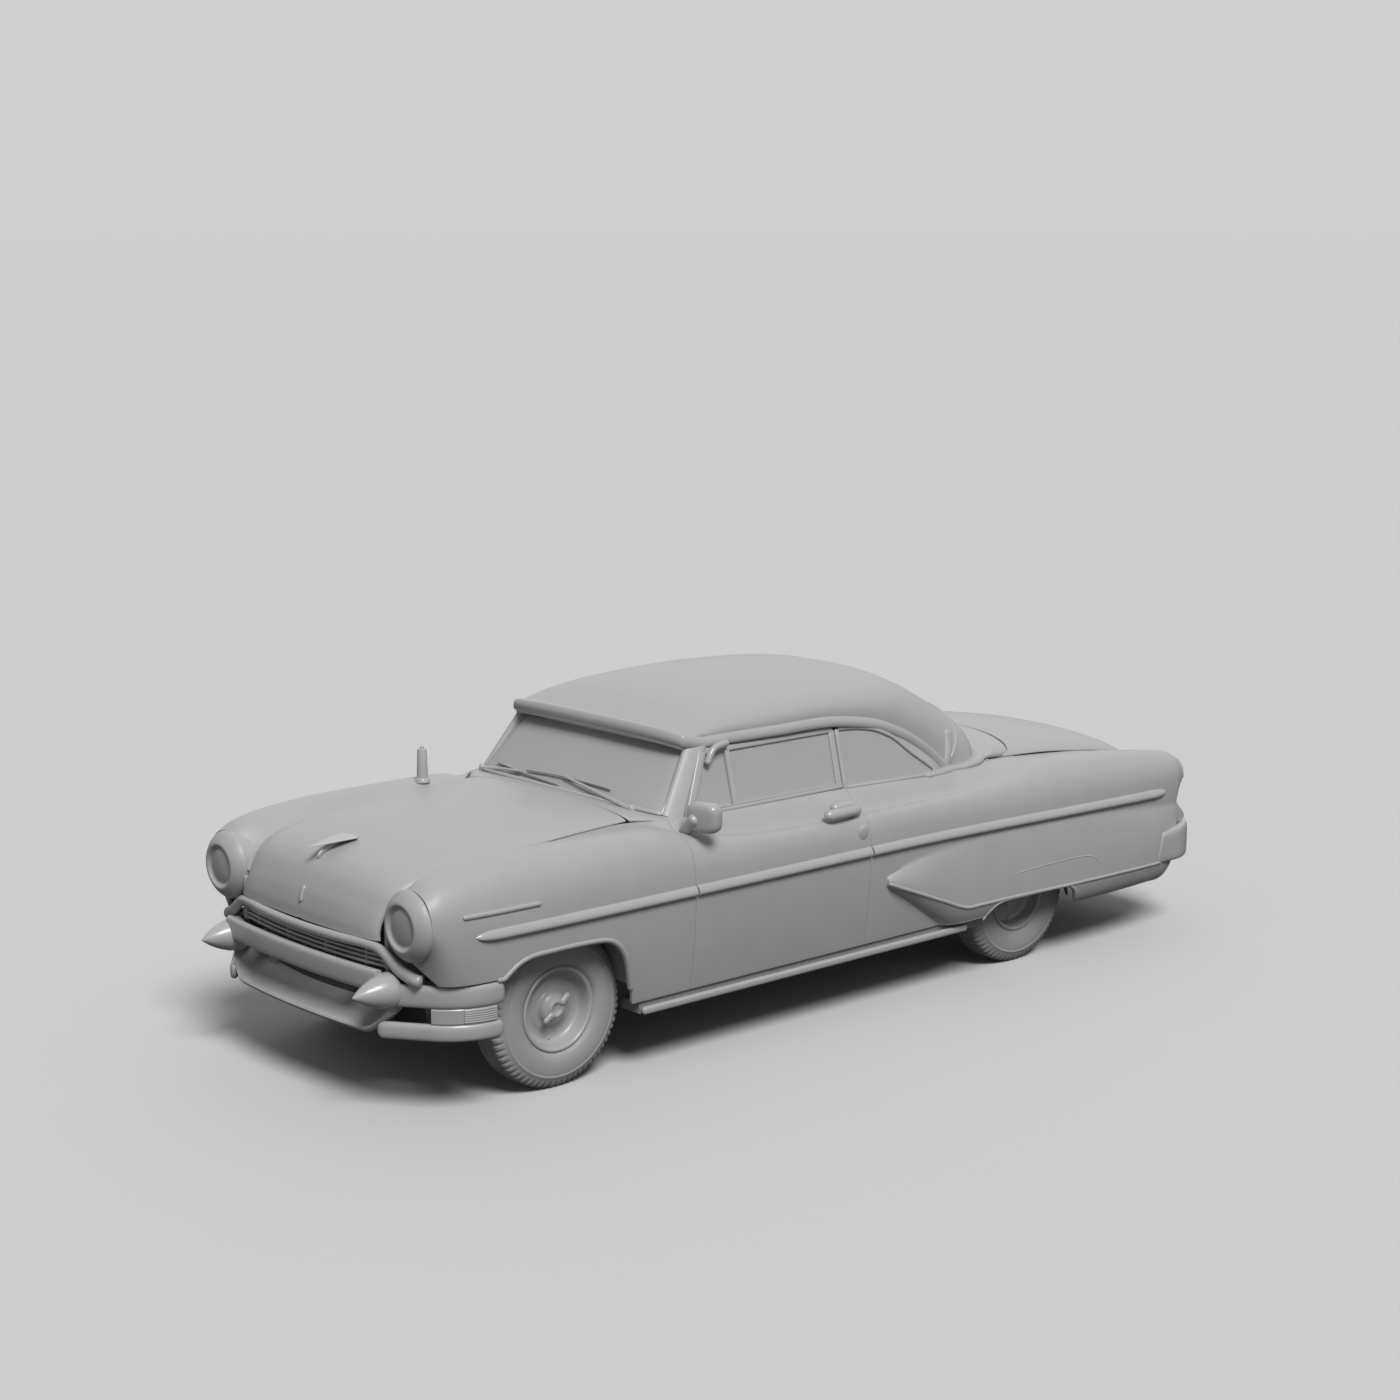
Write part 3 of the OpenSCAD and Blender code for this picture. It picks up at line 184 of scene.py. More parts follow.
def smooth_path(points: Sequence[Triple], per_span: int = 8) -> np.ndarray:
    """A smooth line through a few points.

    Args:
        points: The points, in order.
        per_span: Steps between each two of them.

    Returns:
        The line's points as an array.
    """
    p = np.array(points, float)
    p = np.vstack([2 * p[0] - p[1], p, 2 * p[-1] - p[-2]])
    out = []
    for i in range(1, len(p) - 2):
        for t in np.linspace(0.0, 1.0, per_span, endpoint=False):
            a, b, c, d = p[i - 1], p[i], p[i + 1], p[i + 2]
            rise, bend, twist = c - a, 2 * a - 5 * b + 4 * c - d, 3 * b - a - 3 * c + d
            out.append(0.5 * (2 * b + rise * t + bend * t**2 + twist * t**3))
    out.append(p[-2])
    return np.array(out)


def oval(width: float, height: float, sides: int = 16, power: float = 2.0) -> np.ndarray:
    """A closed rounded section.

    Args:
        width: Its size along the surface.
        height: Its size out of the surface.
        sides: Number of points.
        power: 2 for an ellipse, more for a squarer section.

    Returns:
        The section's points, as pairs.
    """
    a = np.arange(sides) * 2 * math.pi / sides
    c, s = np.cos(a), np.sin(a)
    k = 2.0 / power
    return np.stack([width / 2 * np.sign(c) * abs(c) ** k, height / 2 * np.sign(s) * abs(s) ** k], axis=1)


def unit(ways: np.ndarray) -> np.ndarray:
    """Rows of directions, each of length 1."""
    return ways / np.linalg.norm(ways, axis=1, keepdims=True)


class Table:
    """A smooth curve through rows of sizes, with the place in the first column."""

    def __init__(self, rows: Sequence[Sequence[float]]) -> None:
        """Keep the rows and work out the slope at each of them.

        Args:
            rows: Rows of a place and the sizes there.
        """
        self.rows = np.array(rows, float)
        last = len(rows) - 1
        ahead = self.rows[[min(i + 1, last) for i in range(last + 1)]]
        behind = self.rows[[max(i - 1, 0) for i in range(last + 1)]]
        self.slopes = (ahead - behind) / (ahead[:, :1] - behind[:, :1])

    def at(self, place: float) -> np.ndarray:
        """All columns at a place.

        Args:
            place: The place.

        Returns:
            One value for each column.
        """
        x = self.rows[:, 0]
        i = int(np.clip(np.searchsorted(x, place) - 1, 0, len(x) - 2))
        h = x[i + 1] - x[i]
        t = (place - x[i]) / h
        p, q, m, n = self.rows[i], self.rows[i + 1], self.slopes[i] * h, self.slopes[i + 1] * h
        return p + m * t + (3 * (q - p) - 2 * m - n) * t * t + (2 * (p - q) + m + n) * t**3


class BodySide:
    """The surface of the car's left side: sill, widest line, crown and inner edge."""

    POWER = 2.35
    PONTOON_TIP = CAR.door_rear - 118.0
    PONTOON_OUT = CAR.spear_d + 18.0
    # place, low inset and height, widest inset and height, crown inset and drop, inner edge inset and drop
    SIDE = Table([
        (xr(-1362), 176, 846, 156, 858, 186, 264, 230, 288),
        (xr(-1320), 150, 796, 112, 830, 190, 216, 318, 300),
        (xr(-1276), 132, 744, 90, 814, 192, 190, 348, 304),
        (xr(-1242), 118, 700, 72, 804, 194, 172, 366, 308),
        (xr(-1222), 108, 620, 64, 801, 194, 165, 370, 312),
        (xr(-1190), 98, 470, 58, 800, 194, 159, 370, 290),
        (xr(-1086), 90, 305, 42, 800, 196, 144, 366, 200),
        (xr(-936), 77, 300, 27, 805, 197, 124, 366, 156),
        (xr(-636), 67, 296, 12, 810, 198, 92, 366, 114),
        (xr(-115), 57, 296, 0, 815, 180, 72, 358, 74),
        (xr(214), 52, 330, 0, 818, 118, 108, 296, 46),
        (xr(455), 50, 352, 0, 819, 92, 120, 258, 40),
        (xr(614), 50, 350, 1, 820, 82, 124, 200, 34),
        (xr(1269), 47, 350, 2, 825, 72, 126, 196, 14),
        (xf(-1130), 47, 350, 2, 832, 84, 112, 196, 8),
        (xf(-701), 47, 350, 3, 832, 146, 50, 222, 4),
        (xf(-558), 47, 350, 4, 832, 180, 12, 328, 16),
        (xf(-470), 47, 350, 4, 832, 190, 4, 349, 20),
        (xf(-112), 50, 350, 6, 832, 207, -1, 352, 39),
        (xf(277), 54, 350, 12, 832, 220, 2, 352, 72),
        (xf(561), 78, 480, 26, 840, 229, 26, 372, 108),
        (xf(690), 120, 618, 48, 862, 231, 55, 400, 168),
        (xf(758), 226, 721, 69, 884, 232, 93, 412, 255),
    ])
    # place, edge height, height of the line under it, height of the soft line over it, share of the depth
    PONTOON = Table([
        (xr(-1330), 398, 286, 690, 0.2),
        (xr(-1030), 400, 286, 712, 0.6),
        (xr(-930), 402, 286, 722, 0.75),
        (xr(-457), 412, 286, 765, 0.95),
        (xr(-200), 417, 290, 776, 1),
        (xr(300), 428, 290, 785, 1),
        (xr(494), 430, 288, 782, 1),
        (xr(607), 435, 300, 774, 1),
        (xr(780), 500, 396, 762, 1),
        (xr(976), 578, 524, 733, 0.96),
        (PONTOON_TIP - 74, 619, 590, 706, 0.84),
        (PONTOON_TIP - 22, 641, 620, 692, 0.62),
        (PONTOON_TIP, 650, 634, 682, 0.3),
    ])

    def pontoon_lines(self, x: float) -> np.ndarray:
        """The pontoon's edge, under and top heights and its depth share at a place."""
        return self.PONTOON.at(min(max(x, xr(-1330)), self.PONTOON_TIP))[1:]

    def bulge(self, x: float, z: np.ndarray, base: np.ndarray) -> np.ndarray:
        """How far the pontoon stands out of the plain side.

        Args:
            x: Place along the car.
            z: Heights.
            base: Distance of the plain side from the car's middle at those heights.

        Returns:
            The distances to add.
        """
        if x >= self.PONTOON_TIP:
            return np.zeros_like(z)
        edge, under, top, share = self.pontoon_lines(x)
        roundness = 0.35 + 0.3 * float(ramp(xr(-300), xr(300), x))
        below = np.clip((z - under) / (edge - under), 0.0, 1.0) ** roundness
        above = 1.0 - np.clip((z - edge) / (top - edge), 0.0, 1.0) ** 2.6
        return max(share, 0.0) * (CAR.half_w + self.PONTOON_OUT - base) * np.where(z < edge, below, above)

    def row(self, x: float, s: np.ndarray) -> np.ndarray:
        """A section of the side.

        Args:
            x: Place along the car.
            s: Steps up the section: 0 is the low edge, 1 the widest line, 2 the crown, 3 the inner edge.

        Returns:
            One point for each step.
        """
        _, low_in, low_z, wide_in, wide_z, crown_in, crown_drop, edge_in, edge_drop = self.SIDE.at(x)
        crown_z = CAR.belt_z - crown_drop
        s = np.asarray(s, float)
        a = np.clip(s - 1.0, 0.0, 1.0) * math.pi / 2
        k = 2.0 / self.POWER
        t = np.clip(s - 2.0, 0.0, 1.0)
        z_low = low_z + (wide_z - low_z) * s
        y_low = CAR.half_w - wide_in - (low_in - wide_in) * (1.0 - s) ** 2
        y_low = y_low + self.bulge(x, z_low, y_low)
        shoulder = np.maximum(np.cos(a), 0.0) ** k
        y_mid = CAR.half_w - (crown_in + (wide_in - crown_in) * shoulder)
        z_mid = wide_z + (crown_z - wide_z) * np.sin(a) ** k
        y_top = CAR.half_w - (crown_in + (edge_in - crown_in) * t)
        z_top = CAR.belt_z - (crown_drop + (edge_drop - crown_drop) * (1.0 - np.cos(math.pi * t)) / 2)
        y = np.where(s <= 1, y_low, np.where(s <= 2, y_mid, y_top))
        z = np.where(s <= 1, z_low, np.where(s <= 2, z_mid, z_top))
        return np.stack([np.full_like(y, x), y, z], axis=1)

    def step_at(self, x: float, z: float) -> float:
        """The step at a height below the widest line."""
        v = self.SIDE.at(x)
        return float(np.clip((z - v[2]) / (v[4] - v[2]), 0.0, 1.0))

    def point(self, x: float, z: float, out: float = 0.0) -> Triple:
        """A point of the side below the widest line, pushed out by some millimetres."""
        p = self.row(x, np.array([self.step_at(x, z)]))[0]
        return (float(x), float(p[1] + out), float(z))

    def grid(self, places: Iterable[float], steps_at: Callable[[float], np.ndarray]) -> np.ndarray:
        """Sections at many places as one grid of points."""
        return np.array([self.row(float(x), steps_at(float(x))) for x in places])


SIDE = BodySide()


class Span:
    """A panel that spans the car: its middle line, its edge line and half its width, at steps along it."""

    def __init__(self, rows: Sequence[Sequence[float]], power: float = 2.1) -> None:
        """Keep the table of step, middle x and z, edge x and z, and half width."""
        self.table = Table(rows)
        self.power = power

    def grid(
        self, steps: Iterable[float], columns: int, ridge: float = 0.0, ridge_w: float = 15.0,
        grow: float = 0.0
    ) -> np.ndarray:
        """Points over the panel.

        Args:
            steps: Steps along the panel.
            columns: Number of points across it.
            ridge: Height of a crease along the middle.
            ridge_w: Width over which the crease dies out.
            grow: How much wider each edge is.

        Returns:
            A grid of points from the left edge to the right one.
        """
        a = np.linspace(0.0, math.pi, columns)
        k = 2.0 / self.power
        c = np.sign(np.cos(a)) * abs(np.cos(a)) ** k
        s = np.maximum(np.sin(a), 0.0) ** k
        rows = []
        for step in steps:
            _, mid_x, mid_z, end_x, end_z, half = self.table.at(step)
            y = c * (half + grow)
            lift = ridge * np.exp(-abs(y) / ridge_w)
            rows.append(
                np.stack([end_x + (mid_x - end_x) * s, y, end_z + (mid_z - end_z) * s + lift], axis=1)
            )
        return np.array(rows)


def normals_of(points: np.ndarray) -> np.ndarray:
    """The direction out of a grid at each of its points.

    Args:
        points: The grid.

    Returns:
        A direction of length 1 for each point.
    """
    across = np.gradient(points, axis=1)
    along = np.gradient(points, axis=0)
    n = np.cross(across, along)
    return n / np.maximum(np.linalg.norm(n, axis=2, keepdims=True), 1e-9)


def hemmed(points: np.ndarray, edges: Iterable[Edge], radius: float = 4.0, depth: float = 16.0) -> np.ndarray:
    """Turn edges of a grid inward, as a panel's edge is turned over.

    Args:
        points: The grid.
        edges: The edges to turn.
        radius: Radius of the turn.
        depth: How far the flange goes in.

    Returns:
        The grid with the turned rows and columns added.
    """
    for edge in edges:
        swap = edge in (Edge.FIRST_COLUMN, Edge.LAST_COLUMN)
        back = edge in (Edge.LAST_ROW, Edge.LAST_COLUMN)
        n = normals_of(points)
        g, n = (points.transpose(1, 0, 2), n.transpose(1, 0, 2)) if swap else (points, n)
        g, n = (g[::-1], n[::-1]) if back else (g, n)
        out = g[0] - g[1]
        out = out - (out * n[0]).sum(1, keepdims=True) * n[0]
        out = out / np.maximum(np.linalg.norm(out, axis=1, keepdims=True), 1e-9)
        rows = [g[0] - depth * n[0] - 0.4 * radius * out]
        for angle in (90, 65, 40, 20, 0):
            turn = math.radians(angle)
            rows.append(g[0] - out * radius * (1 - math.sin(turn)) - n[0] * radius * (1 - math.cos(turn)))
        g = np.concatenate([np.array(rows), g[1:]])
        g = g[::-1] if back else g
        points = g.transpose(1, 0, 2) if swap else g
    return points


def begin() -> None:
    """Leave edit mode and clear the selection."""
    if bpy.context.object and bpy.context.object.mode != "OBJECT":
        bpy.ops.object.mode_set(mode="OBJECT")
    bpy.ops.object.select_all(action="DESELECT")


def pick(obj: Piece) -> None:
    """Make one piece the only one that is selected.

    Args:
        obj: The piece.
    """
    begin()
    obj.select_set(True)
    bpy.context.view_layer.objects.active = obj


def in_edit_mode(obj: Piece, *steps: Callable[[], object]) -> None:
    """Run operators on all of a piece's mesh in edit mode.

    Args:
        obj: The piece.
        steps: The operators, in order.
    """
    pick(obj)
    bpy.ops.object.mode_set(mode="EDIT")
    for step in steps:
        bpy.ops.mesh.select_all(action="SELECT")
        step()
    bpy.ops.object.mode_set(mode="OBJECT")


def weld() -> None:
    """Merge points that lie on each other."""
    bpy.ops.mesh.remove_doubles(threshold=1e-5)


def face_out() -> None:
    """Turn all faces outward."""
    bpy.ops.mesh.normals_make_consistent(inside=False)


def close_holes() -> None:
    """Put a face on every open end."""
    bpy.ops.mesh.fill_holes(sides=0)


def places_of(obj: Piece) -> np.ndarray:
    """The points of a piece's mesh in metres.

    Args:
        obj: The piece.

    Returns:
        One point in each row.
    """
    co = np.empty(len(obj.data.vertices) * 3)
    obj.data.vertices.foreach_get("co", co)
    return co.reshape(-1, 3)


def put_places(obj: Piece, places: np.ndarray) -> Piece:
    """Move the points of a piece's mesh.

    Args:
        obj: The piece.
        places: Where each point goes, in metres.

    Returns:
        The piece.
    """
    obj.data.vertices.foreach_set("co", np.ascontiguousarray(places).ravel())
    obj.data.update()
    return obj


def pulled(
    name: str, points: np.ndarray, around: bool = False, ring: bool = False, solid: bool = False
) -> Piece:
    """Add a flat grid and pull its points over a form.

    Args:
        name: Name of the piece.
        points: Rows and columns of places.
        around: The columns close on themselves, so the sheet is a tube.
        ring: The rows close on themselves too.
        solid: Both open ends get a face, and the faces are turned outward.

    Returns:
        The new piece.
    """
    if around:
        points = np.concatenate([points, points[:, :1]], axis=1)
    if ring:
        points = np.concatenate([points, points[:1]], axis=0)
    begin()
    rows, columns = points.shape[:2]
    bpy.ops.mesh.primitive_grid_add(x_subdivisions=columns - 1, y_subdivisions=rows - 1, size=1)
    obj = bpy.context.object
    obj.name = obj.data.name = name
    put_places(obj, points * MM)
    if around or ring:
        in_edit_mode(obj, weld)
    if solid:
        in_edit_mode(obj, close_holes, face_out)
    return obj


def bar(
    name: str,
    path: np.ndarray,
    section: np.ndarray,
    out: np.ndarray | Triple = (0.0, 0.0, 1.0),
    taper: float = 0.0,
    scale: Callable[[float], float] | None = None,
    loop: bool = False,
) -> Piece:
    """A bar along a path.

    Args:
        name: Name of the piece.
        path: Points along the bar's middle.
        section: Closed section, as pairs of a distance along the surface and a distance out of it.
        out: The direction out of the surface, one for all or one for each point of the path.
        taper: Length over which each end is rounded off.
        scale: Size of the section at a share of the path, 1 where none is given.
        loop: The path closes on itself.

    Returns:
        The new piece.
    """
    path = np.asarray(path, float)
    span = np.concatenate([[0.0], np.cumsum(np.linalg.norm(np.diff(path, axis=0), axis=1))])
    if taper > 0:
        ends = [taper * (1 - math.cos(math.radians(a))) for a in (8, 20, 36, 54, 72, 90)]
        wanted = sorted(
            set(ends) | {span[-1] - e for e in ends} | {s for s in span if taper < s < span[-1] - taper}
        )
        normals = np.broadcast_to(np.asarray(out, float), path.shape)
        out = np.stack([np.interp(wanted, span, normals[:, k]) for k in range(3)], axis=1)
        path = np.stack([np.interp(wanted, span, path[:, k]) for k in range(3)], axis=1)
        span = np.array(wanted)
    normals = np.broadcast_to(np.asarray(out, float), path.shape)
    if loop:
        tangent = np.roll(path, -1, axis=0) - np.roll(path, 1, axis=0)
    else:
        tangent = np.gradient(path, axis=0)
    tangent = unit(tangent)
    side = np.cross(normals, tangent)
    side = side / np.maximum(np.linalg.norm(side, axis=1, keepdims=True), 1e-9)
    up = np.cross(tangent, side)
    total = span[-1]
    sizes = np.ones(len(path))
    if scale is not None:
        sizes = np.array([scale(s / total) for s in span])
    if taper > 0:
        near = np.clip(np.minimum(span, total - span) / taper, 0.0, 1.0)
        sizes = sizes * np.sqrt(np.maximum(1.0 - (1.0 - near) ** 2, 0.0))
    points = np.array([
        p + k * (section[:, :1] * b + section[:, 1:] * u) for p, b, u, k in zip(path, side, up, sizes)
    ])
    return pulled(name, points, around=True, ring=loop, solid=True)


def turned(
    name: str, profile: Sequence[Pair], centre: Triple, axis: Axis, steps: int = 96, closed: bool = True
) -> Piece:
    """Draw a profile point by point and spin it round an axis.

    Args:
        name: Name of the piece.
        profile: Pairs of a radius and a place along the axis.
        centre: A point of the axis.
        axis: Direction of the axis.
        steps: Number of steps in a turn.
        closed: The profile runs back to its first point.

    Returns:
        The new piece.
    """
    along = Vector(axis.value)
    away = Vector((1.0, 0.0, 0.0)) if axis is Axis.Z else Vector((0.0, 0.0, 1.0))
    stops = [(Vector(centre) + away * r + along * a) * MM for r, a in profile]
    if closed:
        stops.append(stops[0].copy())
    begin()
    bpy.ops.mesh.primitive_plane_add(size=0.01, location=stops[0])
    obj = bpy.context.object
    obj.name = obj.data.name = name
    bpy.ops.object.transform_apply(location=True)
    bpy.ops.object.mode_set(mode="EDIT")
    bpy.ops.mesh.select_all(action="SELECT")
    bpy.ops.mesh.merge(type="CENTER")
    for here, there in zip(stops, stops[1:]):
        bpy.ops.mesh.extrude_region_move(TRANSFORM_OT_translate={"value": there - here})
    bpy.ops.mesh.select_all(action="SELECT")
    bpy.ops.mesh.spin(steps=steps, angle=2 * math.pi, center=Vector(centre) * MM, axis=along)
    bpy.ops.object.mode_set(mode="OBJECT")
    in_edit_mode(obj, weld, face_out)
    return obj


def apply_modifier(obj: Piece, kind: str, **values: object) -> Piece:
    """Add a modifier with its values and apply it.

    Args:
        obj: The piece.
        kind: Kind of modifier.
        values: Its settings.

    Returns:
        The piece.
    """
    pick(obj)
    modifier = obj.modifiers.new(kind.lower(), kind)
    for key, value in values.items():
        setattr(modifier, key, value)
    bpy.ops.object.modifier_apply(modifier=modifier.name)
    return obj


def thickened(obj: Piece, wall: float = 2.2) -> Piece:
    """Give a sheet a wall on its inner side."""
    return apply_modifier(obj, "SOLIDIFY", thickness=wall * MM, offset=-1.0, use_even_offset=False)


def softened(obj: Piece, width: float, segments: int = 3, angle: float = 35.0) -> Piece:
    """Round the edges of a piece."""
    return apply_modifier(
        obj, "BEVEL", width=width * MM, segments=segments, limit_method="ANGLE",
        angle_limit=math.radians(angle)
    )


def block(name: str, low: Triple, high: Triple, round_by: float = 3.0, segments: int = 3) -> Piece:
    """A box between two corners with its edges rounded.

    Args:
        name: Name of the piece.
        low: Its lowest corner.
        high: Its highest corner.
        round_by: Radius of its edges.
        segments: Steps round each edge.

    Returns:
        The new piece.
    """
    begin()
    size = Vector(high) - Vector(low)
    bpy.ops.mesh.primitive_cube_add(size=1.0, location=(Vector(low) + Vector(high)) * MM / 2, scale=size * MM)
    obj = bpy.context.object
    obj.name = obj.data.name = name
    bpy.ops.object.transform_apply(location=True, rotation=True, scale=True)
    return softened(obj, round_by, segments)


def placed(
    obj: Piece, angle: float = 0.0, axis: str = "Y", centre: Triple = (0, 0, 0), shift: Triple = (0, 0, 0)
) -> Piece:
    """Turn a finished piece about a point, shift it, and put its place in its mesh.

    Args:
        obj: The piece.
        angle: Turn in degrees.
        axis: Letter of the axis.
        centre: Point that it turns about.
        shift: Way to shift it afterwards.

    Returns:
        The piece.
    """
    turn = {"X": 0, "Y": 1, "Z": 2}[axis]
    co = places_of(obj) - np.array(centre) * MM
    c, s = math.cos(math.radians(angle)), math.sin(math.radians(angle))
    i, j = (turn + 1) % 3, (turn + 2) % 3
    co[:, i], co[:, j] = co[:, i] * c - co[:, j] * s, co[:, i] * s + co[:, j] * c
    co += (np.array(centre) + np.array(shift)) * MM
    return put_places(obj, co)


def mirrored(obj: Piece, name: str) -> Piece:
    """A copy of a piece for the other side of the car, with a mesh of its own.

    Args:
        obj: The left piece.
        name: Name of the copy.

    Returns:
        The right piece.
    """
    twin = obj.copy()
    twin.data = obj.data.copy()
    twin.name = twin.data.name = name
    bpy.context.scene.collection.objects.link(twin)
    put_places(twin, places_of(twin) * np.array([1.0, -1.0, 1.0]))
    twin.data.flip_normals()
    return twin


def joined(name: str, pieces: Sequence[Piece]) -> Piece:
    """Join pieces into one.

    Args:
        name: Name of the whole.
        pieces: The pieces.

    Returns:
        The whole.
    """
    pick(pieces[0])
    for piece in pieces:
        piece.select_set(True)
    bpy.ops.object.join()
    obj = bpy.context.object
    obj.name = obj.data.name = name
    return obj


# Finishes


class Group(Enum):
    """The shared effects, each a node group."""

    GRAIN = "fine_grain"
    # Convex edges lightened: partly edge wear, partly a painted edge highlight.
    WEAR_AND_EDGE_HIGHLIGHT = "edge_wear_and_highlight"
    DUST = "settled_dust"


class Effects:
    """Builds the node groups that the finishes share."""

    def __init__(self) -> None:
        """Make each group once."""
        self.grain()
        self.wear_and_edge_highlight()
        self.dust()

    @staticmethod
    def _new(
        group: Group, inputs: dict[str, float], outputs: Sequence[str]
    ) -> tuple[bpy.types.NodeTree, object, object]:
        """A node group with named value sockets.

        Args:
            group: Which effect it is.
            inputs: Names and first values of the inputs.
            outputs: Names of the outputs.

        Returns:
            The tree, its input node and its output node.
        """
        tree = bpy.data.node_groups.new(group.value, "ShaderNodeTree")
        for name, value in inputs.items():
            socket = tree.interface.new_socket(name, in_out="INPUT", socket_type="NodeSocketFloat")
            socket.default_value = value
        for name in outputs:
            tree.interface.new_socket(name, in_out="OUTPUT", socket_type="NodeSocketFloat")
        return tree, tree.nodes.new("NodeGroupInput"), tree.nodes.new("NodeGroupOutput")

    def grain(self) -> None:
        """Fine tooth for the bump and broad, faint clouds for the shade."""
        tree, given, result = self._new(Group.GRAIN, {"Scale": 900.0, "Clouds": 6.0}, ("Height", "Cloud"))
        place = tree.nodes.new("ShaderNodeTexCoord")
        fine = tree.nodes.new("ShaderNodeTexNoise")
        fine.inputs["Detail"].default_value = 3.0
        broad = tree.nodes.new("ShaderNodeTexNoise")
        broad.inputs["Detail"].default_value = 5.0
        for node, name in ((fine, "Scale"), (broad, "Clouds")):
            tree.links.new(place.outputs["Object"], node.inputs["Vector"])
            tree.links.new(given.outputs[name], node.inputs["Scale"])
        tree.links.new(fine.outputs["Fac"], result.inputs["Height"])
        tree.links.new(broad.outputs["Fac"], result.inputs["Cloud"])

    def wear_and_edge_highlight(self) -> None:
        """A mask of convex edges, found by pointiness: they are lightened, partly as wear and partly as a
        painted edge highlight.
        """
        tree, given, result = self._new(Group.WEAR_AND_EDGE_HIGHLIGHT, {"Amount": 0.5}, ("Mask",))
        shape = tree.nodes.new("ShaderNodeNewGeometry")
        edge = tree.nodes.new("ShaderNodeMapRange")
        edge.inputs["From Min"].default_value = 0.53
        edge.inputs["From Max"].default_value = 0.62
        scale = tree.nodes.new("ShaderNodeMath")
        scale.operation = "MULTIPLY"
        tree.links.new(shape.outputs["Pointiness"], edge.inputs["Value"])
        tree.links.new(edge.outputs["Result"], scale.inputs[0])
        tree.links.new(given.outputs["Amount"], scale.inputs[1])
        tree.links.new(scale.outputs["Value"], result.inputs["Mask"])

    def dust(self) -> None:
        """A mask of faces that look up, broken by noise, where dust settles."""
        tree, given, result = self._new(Group.DUST, {"Amount": 0.3, "Scale": 14.0}, ("Mask",))
        shape = tree.nodes.new("ShaderNodeNewGeometry")
        place = tree.nodes.new("ShaderNodeTexCoord")
        split = tree.nodes.new("ShaderNodeSeparateXYZ")
        up = tree.nodes.new("ShaderNodeMapRange")
        up.inputs["From Min"].default_value = 0.55
        speckle = tree.nodes.new("ShaderNodeTexNoise")
        speckle.inputs["Detail"].default_value = 8.0
        first, second = (tree.nodes.new("ShaderNodeMath") for _ in range(2))
        first.operation = second.operation = "MULTIPLY"
        tree.links.new(shape.outputs["Normal"], split.inputs["Vector"])
        tree.links.new(split.outputs["Z"], up.inputs["Value"])
        tree.links.new(place.outputs["Object"], speckle.inputs["Vector"])
        tree.links.new(given.outputs["Scale"], speckle.inputs["Scale"])
        tree.links.new(up.outputs["Result"], first.inputs[0])
        tree.links.new(speckle.outputs["Fac"], first.inputs[1])
        tree.links.new(first.outputs["Value"], second.inputs[0])
        tree.links.new(given.outputs["Amount"], second.inputs[1])
        tree.links.new(second.outputs["Value"], result.inputs["Mask"])


